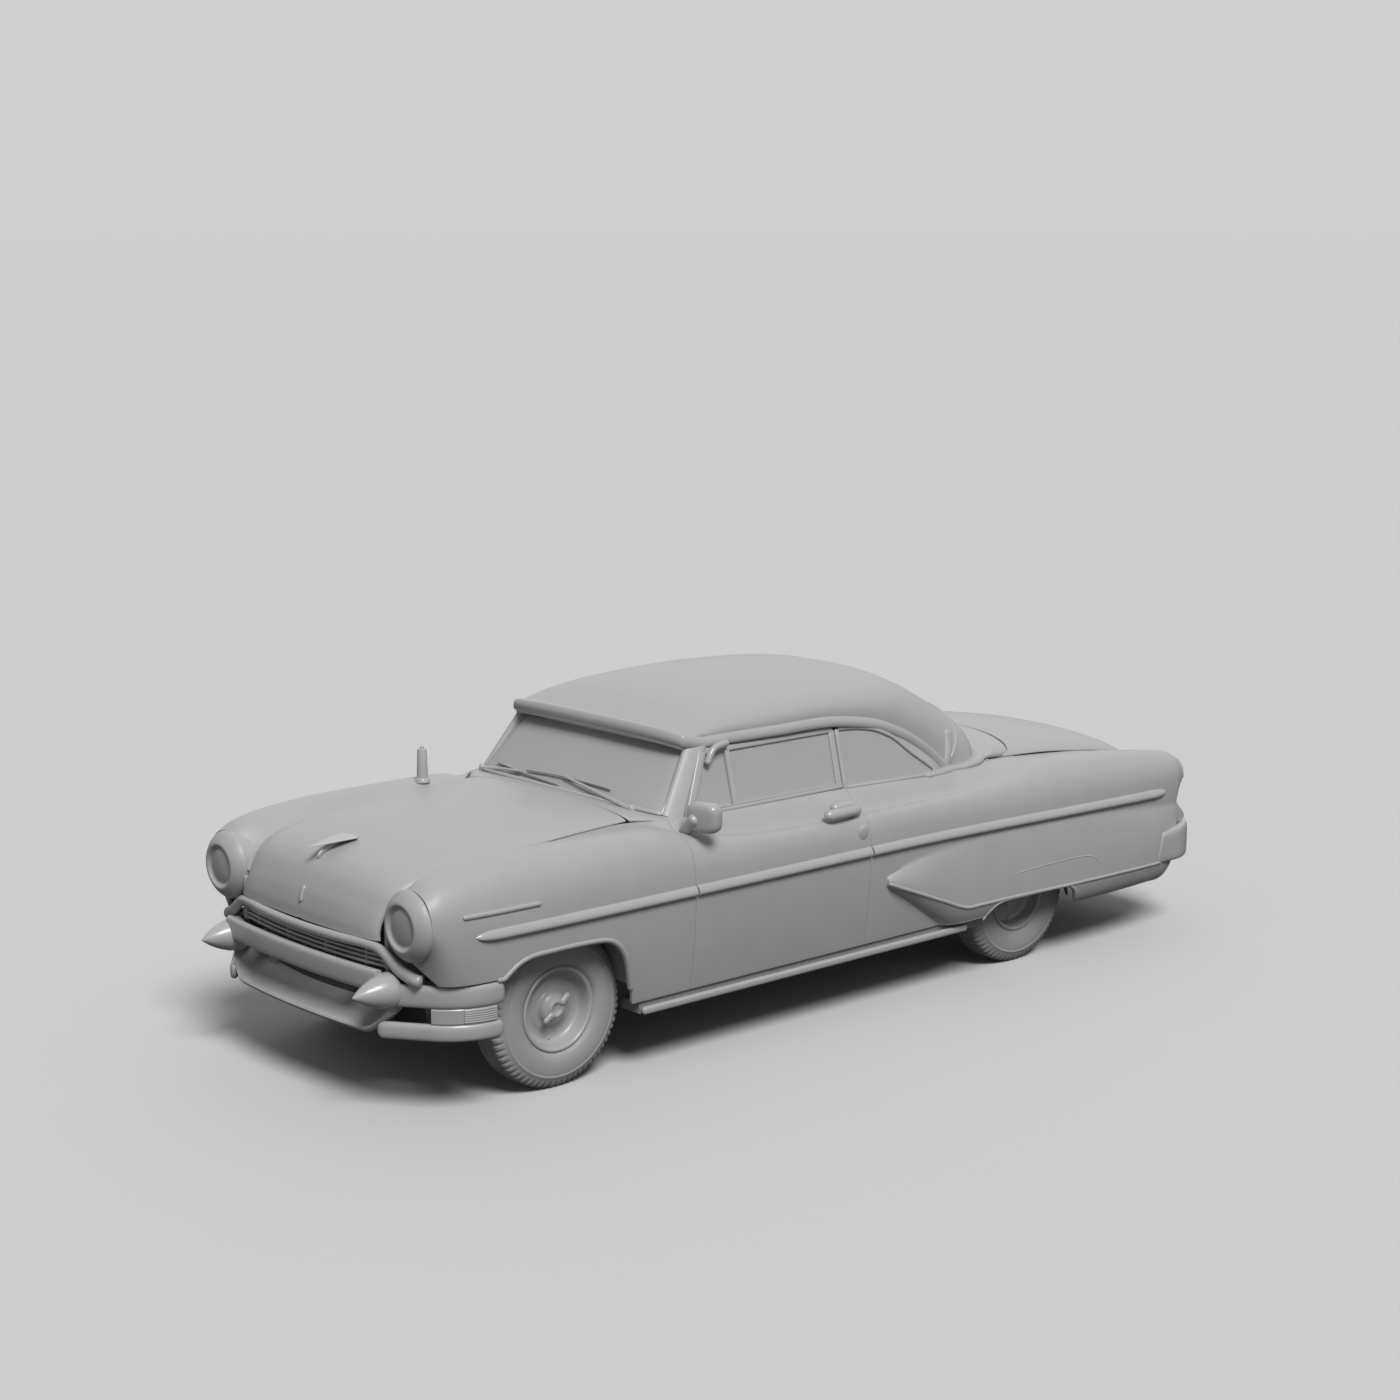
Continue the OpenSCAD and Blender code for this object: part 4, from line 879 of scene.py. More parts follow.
@dataclass(frozen=True)
class Finish:
    """A surface: its grey, its gloss, and how much grain, cloud, edge lightening and dust it has; the edge
    lightening is partly wear, partly a painted edge highlight.
    """

    name: str
    slot: str
    grey: float
    roughness: float
    coat: float = 0.0
    grain_scale: float = 900.0
    grain_bump: float = 0.03
    cloud: float = 0.06
    # Share of lightening on convex edges, as wear and as a painted edge highlight.
    wear_and_edge_highlight: float = 0.25
    dust: float = 0.2
    weave: float = 0.0

    def material(self) -> bpy.types.Material:
        """The finish as a material, made on first use.

        Returns:
            The material.
        """
        found = bpy.data.materials.get(self.name)
        if found:
            return found
        made = bpy.data.materials.new(self.name)
        made.use_nodes = True
        tree = made.node_tree
        shader = tree.nodes["Principled BSDF"]
        shader.inputs["Coat Weight"].default_value = self.coat
        shader.inputs["Coat Roughness"].default_value = 0.12
        shader.inputs["IOR"].default_value = 1.5
        grain, wear_and_edge_highlight, dust = (self._placed(tree, group) for group in Group)
        grain.inputs["Scale"].default_value = self.grain_scale
        wear_and_edge_highlight.inputs["Amount"].default_value = self.wear_and_edge_highlight
        dust.inputs["Amount"].default_value = self.dust
        dark, light = self.grey * (1 - self.cloud), self.grey * (1 + self.cloud)
        clouds = self._mixed(tree, (dark,) * 3, (light,) * 3, grain.outputs["Cloud"])
        # Convex edges are lightened towards a paler grey: partly wear, partly a painted edge highlight.
        worn_and_highlit = self._mixed(tree, clouds, (min(self.grey * 1.3, 0.8),) * 3, wear_and_edge_highlight.outputs["Mask"])
        dusty = self._mixed(tree, worn_and_highlit, (0.46, 0.455, 0.445), dust.outputs["Mask"])
        tree.links.new(dusty, shader.inputs["Base Color"])
        gloss = tree.nodes.new("ShaderNodeMapRange")
        gloss.inputs["To Min"].default_value = max(self.roughness - 0.06, 0.02)
        gloss.inputs["To Max"].default_value = min(self.roughness + 0.08, 1.0)
        tree.links.new(grain.outputs["Cloud"], gloss.inputs["Value"])
        tree.links.new(gloss.outputs["Result"], shader.inputs["Roughness"])
        bump = tree.nodes.new("ShaderNodeBump")
        bump.inputs["Strength"].default_value = self.grain_bump
        bump.inputs["Distance"].default_value = 0.001
        height = grain.outputs["Height"] if not self.weave else self._threads(tree, grain.outputs["Height"])
        tree.links.new(height, bump.inputs["Height"])
        tree.links.new(bump.outputs["Normal"], shader.inputs["Normal"])
        return made

    def _threads(self, tree: bpy.types.NodeTree, grain: bpy.types.NodeSocket) -> bpy.types.NodeSocket:
        """Crossed threads over the grain, for cloth.

        Args:
            tree: The material's nodes.
            grain: The grain's height.

        Returns:
            The height of both together.
        """
        place = tree.nodes.new("ShaderNodeTexCoord")
        total = grain
        for direction in ("X", "Y"):
            wave = tree.nodes.new("ShaderNodeTexWave")
            wave.bands_direction = direction
            wave.inputs["Scale"].default_value = self.weave
            wave.inputs["Distortion"].default_value = 0.6
            both = tree.nodes.new("ShaderNodeMath")
            both.operation = "ADD"
            tree.links.new(place.outputs["Object"], wave.inputs["Vector"])
            tree.links.new(total, both.inputs[0])
            tree.links.new(wave.outputs["Fac"], both.inputs[1])
            total = both.outputs["Value"]
        return total

    @staticmethod
    def _placed(tree: bpy.types.NodeTree, group: Group) -> bpy.types.Node:
        """Place a shared effect in a material.

        Args:
            tree: The material's nodes.
            group: Which effect it is.

        Returns:
            The group's node.
        """
        node = tree.nodes.new("ShaderNodeGroup")
        node.node_tree = bpy.data.node_groups[group.value]
        return node

    @staticmethod
    def _mixed(
        tree: bpy.types.NodeTree,
        first: bpy.types.NodeSocket | Triple,
        second: Triple,
        share: bpy.types.NodeSocket,
    ) -> bpy.types.NodeSocket:
        """Mix two colours.

        Args:
            tree: The material's nodes.
            first: The colour at a share of 0, or the socket that gives it.
            second: The colour at a share of 1.
            share: The socket that gives the share.

        Returns:
            The mixed colour's socket.
        """
        node = tree.nodes.new("ShaderNodeMix")
        node.data_type = "RGBA"
        tree.links.new(share, node.inputs["Factor"])
        colours = [s for s in node.inputs if s.type == "RGBA"]
        if isinstance(first, bpy.types.NodeSocket):
            tree.links.new(first, colours[0])
        else:
            colours[0].default_value = (*first, 1.0)
        colours[1].default_value = (*second, 1.0)
        return next(s for s in node.outputs if s.type == "RGBA")


class Finishes:
    """Every finish on the car. All are neutral greys, told apart by gloss and grain."""

    PAINT = Finish(
        "satin_body_paint", "paint", 0.39, 0.46, coat=0.05, grain_scale=700, grain_bump=0.02, dust=0.22
    )
    BRIGHT = Finish(
        "polished_trim", "bright", 0.40, 0.3, coat=0.25, grain_scale=1600, grain_bump=0.012, wear_and_edge_highlight=0.35,
        dust=0.1,
    )
    GLASS = Finish(
        "blind_window_glass", "glass", 0.37, 0.4, coat=0.08, grain_bump=0.004, cloud=0.03, wear_and_edge_highlight=0.0, dust=0.12
    )
    LENS = Finish(
        "moulded_lamp_lens", "lens", 0.38, 0.3, coat=0.2, grain_bump=0.004, cloud=0.03, wear_and_edge_highlight=0.1, dust=0.05
    )
    RIM = Finish(
        "painted_wheel_steel", "wheel", 0.39, 0.36, coat=0.12, grain_scale=1100, grain_bump=0.02, dust=0.18
    )
    RUBBER = Finish(
        "tyre_rubber", "tyre", 0.35, 0.62, grain_scale=1500, grain_bump=0.12, cloud=0.1, wear_and_edge_highlight=0.4, dust=0.3
    )
    UNDER = Finish(
        "underbody_coating", "underbody", 0.24, 0.7, grain_scale=420, grain_bump=0.25, cloud=0.18, dust=0.35
    )
    CLOTH = Finish(
        "seat_cloth", "upholstery", 0.33, 0.85, grain_scale=900, grain_bump=0.2, cloud=0.1, dust=0.05,
        weave=90,
    )
    PIPING = Finish("seat_piping", "upholstery", 0.42, 0.5, grain_scale=900, grain_bump=0.08, dust=0.0)
    TRIM = Finish(
        "cabin_vinyl", "cabin_trim", 0.3, 0.55, grain_scale=520, grain_bump=0.18, cloud=0.08, dust=0.1
    )
    # Near black: painted shade for recesses, and the painted shadow line under the pontoon's bead.
    SHADOW = Finish("unlit_recess", "underbody", 0.06, 0.9, grain_bump=0.1, dust=0.0, wear_and_edge_highlight=0.0)


def fitted(
    obj: Piece, finish: Finish, body: str = "body", replaces: Sequence[str] = (), smooth: float = 38.0
) -> Piece:
    """Give a piece its finish, its shading, its body and the solids it stands for.

    Args:
        obj: The piece.
        finish: Its surface.
        body: The body that it moves with.
        replaces: Solids that it stands for.
        smooth: Edges sharper than this angle stay sharp, in degrees.

    Returns:
        The piece.
    """
    pick(obj)
    bpy.ops.object.shade_smooth_by_angle(angle=math.radians(smooth))
    obj.data.materials.clear()
    obj.data.materials.append(finish.material())
    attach(obj, body)
    if replaces:
        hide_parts(*replaces)
    log.info("%s: %d faces on %s", obj.name, len(obj.data.polygons), body)
    return obj


def fitted_pair(
    left: Piece, finish: Finish, body: str | tuple[str, str] = "body", replaces: Sequence[str] = (),
    smooth: float = 38.0
) -> None:
    """Mirror a left piece, name the two, and fit both.

    Args:
        left: The left piece; its name has no side in it.
        finish: Their surface.
        body: One body for both, or the left and the right one.
        replaces: Solids that they stand for, with {side} for the side; others go with the left piece.
        smooth: Edges sharper than this angle stay sharp, in degrees.
    """
    stem = left.name
    left.name = left.data.name = f"{stem}_left"
    right = mirrored(left, f"{stem}_right")
    bodies = (body, body) if isinstance(body, str) else body
    for obj, side, rides in ((left, "left", bodies[0]), (right, "right", bodies[1])):
        own = [n.format(side=side) for n in replaces if "{side}" in n]
        shared = [n for n in replaces if "{side}" not in n] if side == "left" else []
        fitted(obj, finish, rides, own + shared, smooth)


# Body panels


FRONT_ARCH = Table([
    (xf(-357), 225), (xf(-335), 420), (xf(-300), 560), (xf(-268), 625), (xf(-222), 672), (xf(-154), 698),
    (xf(0), 706), (xf(200), 704), (xf(268), 698), (xf(330), 676), (xf(380), 640), (xf(404), 622),
])
REAR_ARCH = Table([
    (xr(-302), 225), (xr(-285), 320), (xr(-262), 370), (xr(-230), 400), (xr(-180), 418), (xr(200), 424),
    (xr(340), 418), (xr(400), 385), (xr(440), 330), (xr(457), 225),
])


def low_edge(x: float, arch: Table, plain: float) -> float:
    """Height of a panel's lower edge: its plain height, or the wheel opening where that is higher.

    Args:
        x: Place along the car.
        arch: The wheel opening.
        plain: The plain height.

    Returns:
        The height.
    """
    rows = arch.rows
    if not rows[0, 0] < x < rows[-1, 0]:
        return plain
    return max(plain, float(np.interp(x, rows[:, 0], rows[:, 1])))


def gutter(name: str, places: np.ndarray) -> Piece:
    """A narrow ledge under the shut line along a side panel's inner edge.

    Args:
        name: The piece's name.
        places: Places along the car, from rear to front.

    Returns:
        The ledge, on the left.
    """
    rows = []
    for x in places:
        edge = SIDE.row(x, np.array([3.0]))[0]
        rows.append([
            edge + np.array([0.0, *step])
            for step in ((3.0, -5.0), (-6.0, -8.0), (-24.0, -20.0), (-44.0, -24.0))
        ])
    return thickened(pulled(name, np.array(rows)), 2.0)


@dataclass
class Fenders:
    """The front fenders with their wheel openings, wheel lips and headlamp pods."""

    plain_low: float = 350.0
    nose_low: float = 622.0
    nose_from: float = xf(404)
    nose_end: float = 2517.5
    shut: float = 0.7
    hem: Pair = (2.5, 16.0)
    lip_inset: float = 10.0
    house_ys: tuple[float, ...] = (930.0, 860.0, 700.0, 520.0)
    house_rise: float = 16.0

    def build(self) -> None:
        """Make the left fender and its parts, and mirror them."""
        fitted_pair(self.skin(), Finishes.PAINT, replaces=("fender_{side}",))
        fitted_pair(self.lip(), Finishes.PAINT)
        fitted_pair(self.gutter(), Finishes.PAINT)
        fitted_pair(self.pod_barrel(), Finishes.PAINT)
        fitted_pair(self.liner(), Finishes.UNDER)

    def floor(self, x: float) -> float:
        """Lower edge of the fender at a place.

        Args:
            x: Place along the car.

        Returns:
            The height.
        """
        if x >= self.nose_from:
            return max(self.nose_low, float(SIDE.SIDE.at(x)[2]))
        return low_edge(x, FRONT_ARCH, self.plain_low)

    def steps_at(self, x: float) -> np.ndarray:
        """Steps up the section at a place."""
        low = SIDE.step_at(x, self.floor(x))
        return np.concatenate([
            np.linspace(low, 1.0, 26), np.linspace(1.0, 2.0, 26)[1:], np.linspace(2.0, 3.0, 11)[1:]
        ])

    def skin(self) -> Piece:
        """The fender's outer skin.

        Returns:
            The new piece.
        """
        places = spread(
            (CAR.door_front + self.shut, 0), (xf(-360), 24), (xf(-200), 34), (xf(200), 28),
            (self.nose_from, 34), (xf(560), 14), (self.nose_end, 18),
        )
        points = SIDE.grid(places, self.steps_at)
        points = hemmed(points, SIDE_EDGES, *self.hem)
        return thickened(pulled("fender_skin", points))

    def gutter(self) -> Piece:
        """The ledge beside the hood, and the cheek between its nose and the pod.

        Returns:
            The new piece.
        """
        ledge = gutter("hood_gutter", np.linspace(xf(-548), xf(740), 60))
        cheek = block("pod_cheek", (xf(560), 563, 650), (xf(776), 592, 862), 10)
        return joined("hood_gutter", [ledge, cheek])

    def opening(self) -> np.ndarray:
        """The wheel opening's outline on the fender's surface."""
        flat = smooth_path([(x, 0.0, z) for x, z in FRONT_ARCH.rows[1:]] + [(xf(440), 0.0, self.nose_low)], 8)
        return np.array([SIDE.point(x, z) for x, _, z in flat])

    def lip(self) -> Piece:
        """The rolled lip round the wheel opening."""
        path = self.opening() - np.array([0.0, self.lip_inset, 0.0])
        return bar("fender_lip", path, oval(30, 34, 16), (0.0, 1.0, 0.0), taper=14)

    def pod_barrel(self) -> Piece:
        """The barrel behind the headlamp surround."""
        profile = [(110, -262), (140, -250), (152, -215), (158, -120), (161.5, -1), (130, -1)]
        return turned("pod_barrel", profile, CAR.pod, Axis.X, 72)

    def liner(self) -> Piece:
        """The dark inner panel over the front wheel.

        Returns:
            The new piece.
        """
        flat = smooth_path([(x - 6, 0.0, z + 10) for x, z in FRONT_ARCH.rows[1:]], 4)
        rises = [0.0] + [self.house_rise] * (len(self.house_ys) - 1)
        points = np.array([[(x, y, z + rise) for y, rise in zip(self.house_ys, rises)] for x, _, z in flat])
        return thickened(pulled("wheel_house", points[:, ::-1]), 3.0)


@dataclass
class Quarters:
    """The rear quarters with pontoon, skirted wheel opening, fin and tail lamp."""

    fin_end: float = xr(-1318)
    shut: float = 0.7
    hem: Pair = (2.5, 16.0)
    house_low: float = 326.0
    house_half: float = 420.0
    house_rise: float = 380.0
    house_ys: tuple[float, ...] = (905.0, 880.0, 760.0, 560.0)

    def build(self) -> None:
        """Make the left quarter and its parts, and mirror them."""
        fitted_pair(self.skin(), Finishes.PAINT, replaces=("quarter_{side}",))
        fitted_pair(self.bead(), Finishes.PAINT)
        # A near-black bar under the pontoon's bead is painted shadow, the shadow that the bead casts.
        fitted_pair(self.seam(), Finishes.SHADOW)
        fitted_pair(gutter("lid_gutter", np.linspace(xr(-1250), xr(-60), 60)), Finishes.PAINT)
        fitted_pair(self.skirt_seam(), Finishes.PAINT)
        fitted_pair(self.lip(), Finishes.PAINT)
        fitted_pair(self.tail_lamp(), Finishes.LENS, replaces=("tail_lamps",))
        fitted_pair(self.tail_ring(), Finishes.BRIGHT)
        fitted_pair(self.fin_back(), Finishes.PAINT)
        fitted_pair(self.liner(), Finishes.UNDER)

    def steps_at(self, x: float) -> np.ndarray:
        """Steps up the section, gathered at the pontoon's edge.

        Args:
            x: Place along the car.

        Returns:
            The steps.
        """
        v = SIDE.SIDE.at(x)
        floor = max(low_edge(x, REAR_ARCH, float(v[2])), float(v[2]))
        edge, under, top, _ = SIDE.pontoon_lines(x)
        wide = float(v[4])
        lines = np.maximum.accumulate([floor, *(max(h, floor) for h in (under, edge, edge + 18, top)), wide])
        lines = np.minimum(lines, wide)
        parts = [np.linspace(a, b, n)[1:] for a, b, n in zip(lines, lines[1:], (7, 7, 5, 19, 7))]
        heights = np.concatenate([[floor], *parts])
        s = np.clip((heights - v[2]) / (v[4] - v[2]), 0.0, 1.0)
        return np.concatenate([s, np.linspace(1.0, 2.0, 24)[1:], np.linspace(2.0, 3.0, 14)[1:]])

    def skin(self) -> Piece:
        """The quarter's outer skin.

        Returns:
            The new piece.
        """
        places = spread(
            (self.fin_end, 0), (xr(-1030), 26), (xr(-302), 34), (xr(-170), 24), (xr(330), 20), (xr(460), 26),
            (xr(900), 24), (CAR.door_rear - 200, 16), (CAR.door_rear - 100, 24),
            (CAR.door_rear - self.shut, 10),
        )
        points = SIDE.grid(places, self.steps_at)
        points = hemmed(points, SIDE_EDGES, *self.hem)
        return thickened(pulled("quarter_skin", points))

    def bead(self) -> Piece:
        """The bead along the pontoon's lower edge.

        Returns:
            The new piece.
        """
        places = np.linspace(xr(-1010), CAR.door_rear - 121, 110)
        path = np.array([SIDE.point(x, SIDE.pontoon_lines(x)[0] + 3, -3.0) for x in places])
        return bar("pontoon_bead", path, oval(20, 15, 14), (0.0, 1.0, 0.0), taper=16)

    def seam(self) -> Piece:
        """A painted shadow under the bead, behind the wheel opening: a thin near-black bar.

        Returns:
            The new piece.
        """
        places = np.linspace(xr(-1000), xr(-310), 50)
        path = np.array([SIDE.point(x, SIDE.pontoon_lines(x)[0] - 7, -1.5) for x in places])
        return bar("quarter_seam", path, oval(5, 5, 10), (0.0, 1.0, 0.0))

    def skirt_seam(self) -> Piece:
        """The raised edge of the wheel skirt.

        Returns:
            The new piece.
        """
        outline = [
            (-1120, 549), (-1250, 557), (-1500, 560), (-1640, 558), (-1730, 549), (-1782, 526), (-1816, 494),
            (-1828, 466),
        ]
        flat = smooth_path([(x, 0.0, z) for x, z in outline], 8)
        path = np.array([SIDE.point(x, z, -1.2) for x, _, z in flat])
        return bar("skirt_seam", path, oval(9, 6, 12), (0.0, 1.0, 0.0), taper=60)

    def lip(self) -> Piece:
        """The rolled lip round the rear wheel opening.

        Returns:
            The new piece.
        """
        flat = smooth_path([(x, 0.0, z) for x, z in REAR_ARCH.rows if z > 230], 8)
        path = np.array([SIDE.point(x, z, -8.0) for x, _, z in flat])
        return bar("quarter_lip", path, oval(20, 24, 14), (0.0, 1.0, 0.0), taper=20)

    def tail_lamp(self) -> Piece:
        """The lamp that ends the fin, and its kinked lower lens.

        Returns:
            The new piece.
        """
        points = SIDE.grid(np.linspace(xr(-1360), xr(-1321), 16), lambda x: np.linspace(0.0, 3.0, 48))
        first, last = points[0], points[-1]
        middle = first.mean(axis=0)
        cap = np.array([
            middle + (first - middle) * k + np.array([-6.0 * (1 - k * k), 0, 0])
            for k in (0.02, 0.35, 0.6, 0.8, 0.92)
        ])
        inner = last + (last.mean(axis=0) - last) * 0.08
        upper = pulled("tail_lamp_upper", np.concatenate([cap, points, inner[None]]), around=True, solid=True)
        outline = np.array([
            (-2540, 566), (-2540, 690), (-2596, 708), (-2612, 698), (-2644, 662), (-2678, 628), (-2688, 608),
            (-2682, 582), (-2666, 560),
        ])[::-1]
        centre = outline.mean(axis=0)
        rows = []
        for y, k in (
            (740.0, 0.86), (742.0, 0.97), (752.0, 1.0), (862.0, 1.0), (874.0, 0.97), (879.0, 0.88),
            (882.0, 0.6), (883.0, 0.1),
        ):
            ring = centre + (outline - centre) * k
            rows.append([(x, y, z) for x, z in ring])
        return joined(
            "tail_lamp", [upper, pulled("tail_lamp_lower", np.array(rows), around=True, solid=True)]
        )

    def fin_back(self) -> Piece:
        """The panel that closes the fin behind and below.

        Returns:
            The new piece.
        """
        rows = []
        for x in np.linspace(xr(-1316), xr(-1192), 16):
            low, high = SIDE.row(x, np.array([0.0, 3.0]))
            rows.append([high + (low - high) * k for k in np.linspace(0.02, 0.98, 8)])
        return thickened(pulled("fin_back", np.array(rows)), 2.0)

    def tail_ring(self) -> Piece:
        """The bright ring between fin and lamp.

        Returns:
            The new piece.
        """
        path = SIDE.row(xr(-1319), np.linspace(0.0, 3.0, 60))
        middle = path.mean(axis=0)
        out = unit(path - middle)
        return bar("tail_lamp_ring", path - out * 1.5, oval(13, 9, 12), out)

    def liner(self) -> Piece:
        """The dark inner panel over the rear wheel.

        Returns:
            The new piece.
        """
        flat = smooth_path([(x, 0.0, max(z + 14.0, self.house_low)) for x, z in REAR_ARCH.rows], 4)
        rise = np.array([max(0.0, 1.0 - ((x - CAR.axle_r) / self.house_half) ** 2) for x, _, _ in flat])
        shares = [0.0] + [self.house_rise] * (len(self.house_ys) - 1)
        points = np.array([
            [(x, y, z + r * share) for y, share in zip(self.house_ys, shares)]
            for (x, _, z), r in zip(flat, rise)
        ])
        return thickened(pulled("rear_wheel_house", points), 3.0)


HOOD = Span([
    (0, xf(-545), 1184, xf(-570), 1124, 612),
    (1, xf(-260), 1176, xf(-280), 1112, 612),
    (2, xf(140), 1158, xf(120), 1087, 612),
    (3, xf(440), 1140, xf(400), 1058, 606),
    (4, xf(640), 1092, xf(590), 1022, 590),
    (5, xf(750), 1028, xf(690), 972, 566),
    (6, xf(810), 936, xf(752), 892, 546),
    (7, xf(838), 850, xf(782), 830, 546),
    (8, xf(846), 786, xf(790), 786, 556),
])
LID = Span([
    (0, xr(-1304), 690, xr(-1276), 690, 550),
    (1, xr(-1291), 770, xr(-1261), 765, 580),
    (2, xr(-1251), 885, xr(-1216), 846, 592),
    (3, xr(-1156), 990, xr(-1126), 922, 600),
    (4, xr(-982), 1066, xr(-956), 982, 600),
    (5, xr(-716), 1116, xr(-686), 1020, 600),
    (6, xr(-486), 1136, xr(-416), 1050, 600),
    (7, xr(-308), 1144, xr(-90), 1068, 600),
])
DECK = Span([
    (0, xr(-299), 1144, xr(-76), 1068, 590),
    (1, xr(-260), 1145, xr(60), 1082, 628),
    (2, xr(-170), 1145, xr(190), 1094, 666),
    (3, xr(120), 1132, xr(440), 1082, 690),
], 2.0)
COWL = Span([
    (0, xf(-720), 1162, xf(-830), 1132, 740),
    (1, xf(-660), 1166, xf(-692), 1130, 732),
    (2, xf(-606), 1176, xf(-636), 1126, 678),
    (3, xf(-553), 1183, xf(-578), 1124, 620),
])


HOOD_CREASE = (4.0, 9.0)


@dataclass
class Decks:
    """The hood, the trunk lid, the deck behind the window and the cowl."""

    hem: Pair = (2.5, 7.0)
    flange: Pair = (2.5, 14.0)
    gutter_drop: float = 9.0
    frame_depth: float = 20.0

    def build(self) -> None:
        """Make each of the four panels, and the inner frames of the hood and of the trunk lid."""
        hood = HOOD.grid(spread((-0.012, 0), (3, 36), (8, 90)), 121, *HOOD_CREASE, grow=3.5)
        lid = LID.grid(spread((0, 0), (4, 64), (7, 36)), 91, grow=1.5)
        for name, points, body in (("hood", hood, "hood"), ("trunk", lid, "trunk_lid")):
            skin = thickened(pulled(f"{name}_skin", hemmed(points, Edge, *self.hem)))
            fitted(skin, Finishes.PAINT, body, (body,))
        deck = DECK.grid(np.linspace(-0.1, 3, 36), 80, grow=6.0)
        skin = thickened(pulled("deck_skin", hemmed(deck, ENDS, *self.flange)))
        fitted(skin, Finishes.PAINT, replaces=("rear_deck",))
        gap = np.concatenate([
            LID.grid(np.linspace(6.75, 7.0, 5), 80), DECK.grid(np.linspace(0.0, 0.3, 5), 80)
        ])
        ledge = gap - np.array([0.0, 0.0, self.gutter_drop])
        fitted(thickened(pulled("deck_gutter", ledge), 2.0), Finishes.PAINT)
        cowl = COWL.grid(np.linspace(0, 3, 40), 80, grow=8.0)
        skin = thickened(pulled("cowl_skin", hemmed(cowl, ENDS, *self.flange)))
        fitted(skin, Finishes.PAINT, replaces=("cowl",))
        self.inner_frames()

    def inner_frames(self) -> None:
        """Pressed frames on the inner side of the hood and of the trunk lid."""
        for name, span, body, steps in (
            ("hood_frame", HOOD, "hood", (0.4, 3.4)), ("trunk_frame", LID, "trunk_lid", (3.2, 6.6)),
        ):
            pieces = []
            grid = span.grid(np.linspace(*steps, 30), 61)
            under = grid - self.frame_depth * normals_of(grid)
            for k, column in enumerate((13, 47)):
                pieces.append(bar(f"{name}_rib_{k}", under[:, column], oval(70, 24, 16, 4), taper=20))
            for k, row in enumerate((0, -1)):
                pieces.append(bar(f"{name}_cross_{k}", under[row, 9:-9], oval(60, 22, 16, 4), taper=20))
            fitted(joined(name, pieces), Finishes.PAINT, body)


# Doors and greenhouse


LEAN = math.radians(CAR.glass_lean)
GLASS_OUT = (0.0, math.cos(LEAN), math.sin(LEAN))
VENT_X = xf(-1130)


def in_glass(x: float, height: float, depth: float = 0.0) -> Triple:
    """A point of the left side glass: its place along the car, height along the lean, and depth."""
    y = CAR.half_w - 192 - height * math.sin(LEAN) - depth * math.cos(LEAN)
    return (x, y, CAR.belt_z + height * math.cos(LEAN) - depth * math.sin(LEAN))


def pane(name: str, low: Sequence[Pair], high: Sequence[Pair], depth: float, wall: float = 5.0) -> Piece:
    """A flat pane in the side glass plane between a lower and an upper line.

    Args:
        name: Name of the piece.
        low: Points of the lower line, from the rear to the front.
        high: As many points of the upper line.
        depth: Depth of its outer face.
        wall: Its thickness.

    Returns:
        The new piece.
    """
    rows = []
    for (x0, h0), (x1, h1) in zip(low, high):
        rows.append([in_glass(x0 + (x1 - x0) * t, h0 + (h1 - h0) * t, depth) for t in np.linspace(0, 1, 5)])
    return thickened(pulled(name, np.array(rows)), wall)


def member(name: str, start: Pair, end: Pair, width: float, depth: float, at: float) -> Piece:
    """A straight frame member in the side glass plane.

    Args:
        name: Name of the piece.
        start: Its first end: place along the car and height along the lean.
        end: Its other end.
        width: Its width.
        depth: Its thickness.
        at: Depth of its middle.

    Returns:
        The new piece.
    """
    steps = np.linspace(0, 1, 9)
    path = np.array([
        in_glass(start[0] + (end[0] - start[0]) * t, start[1] + (end[1] - start[1]) * t, at) for t in steps
    ])
    return bar(name, path, oval(width, depth, 20, 4.0), GLASS_OUT, taper=5)


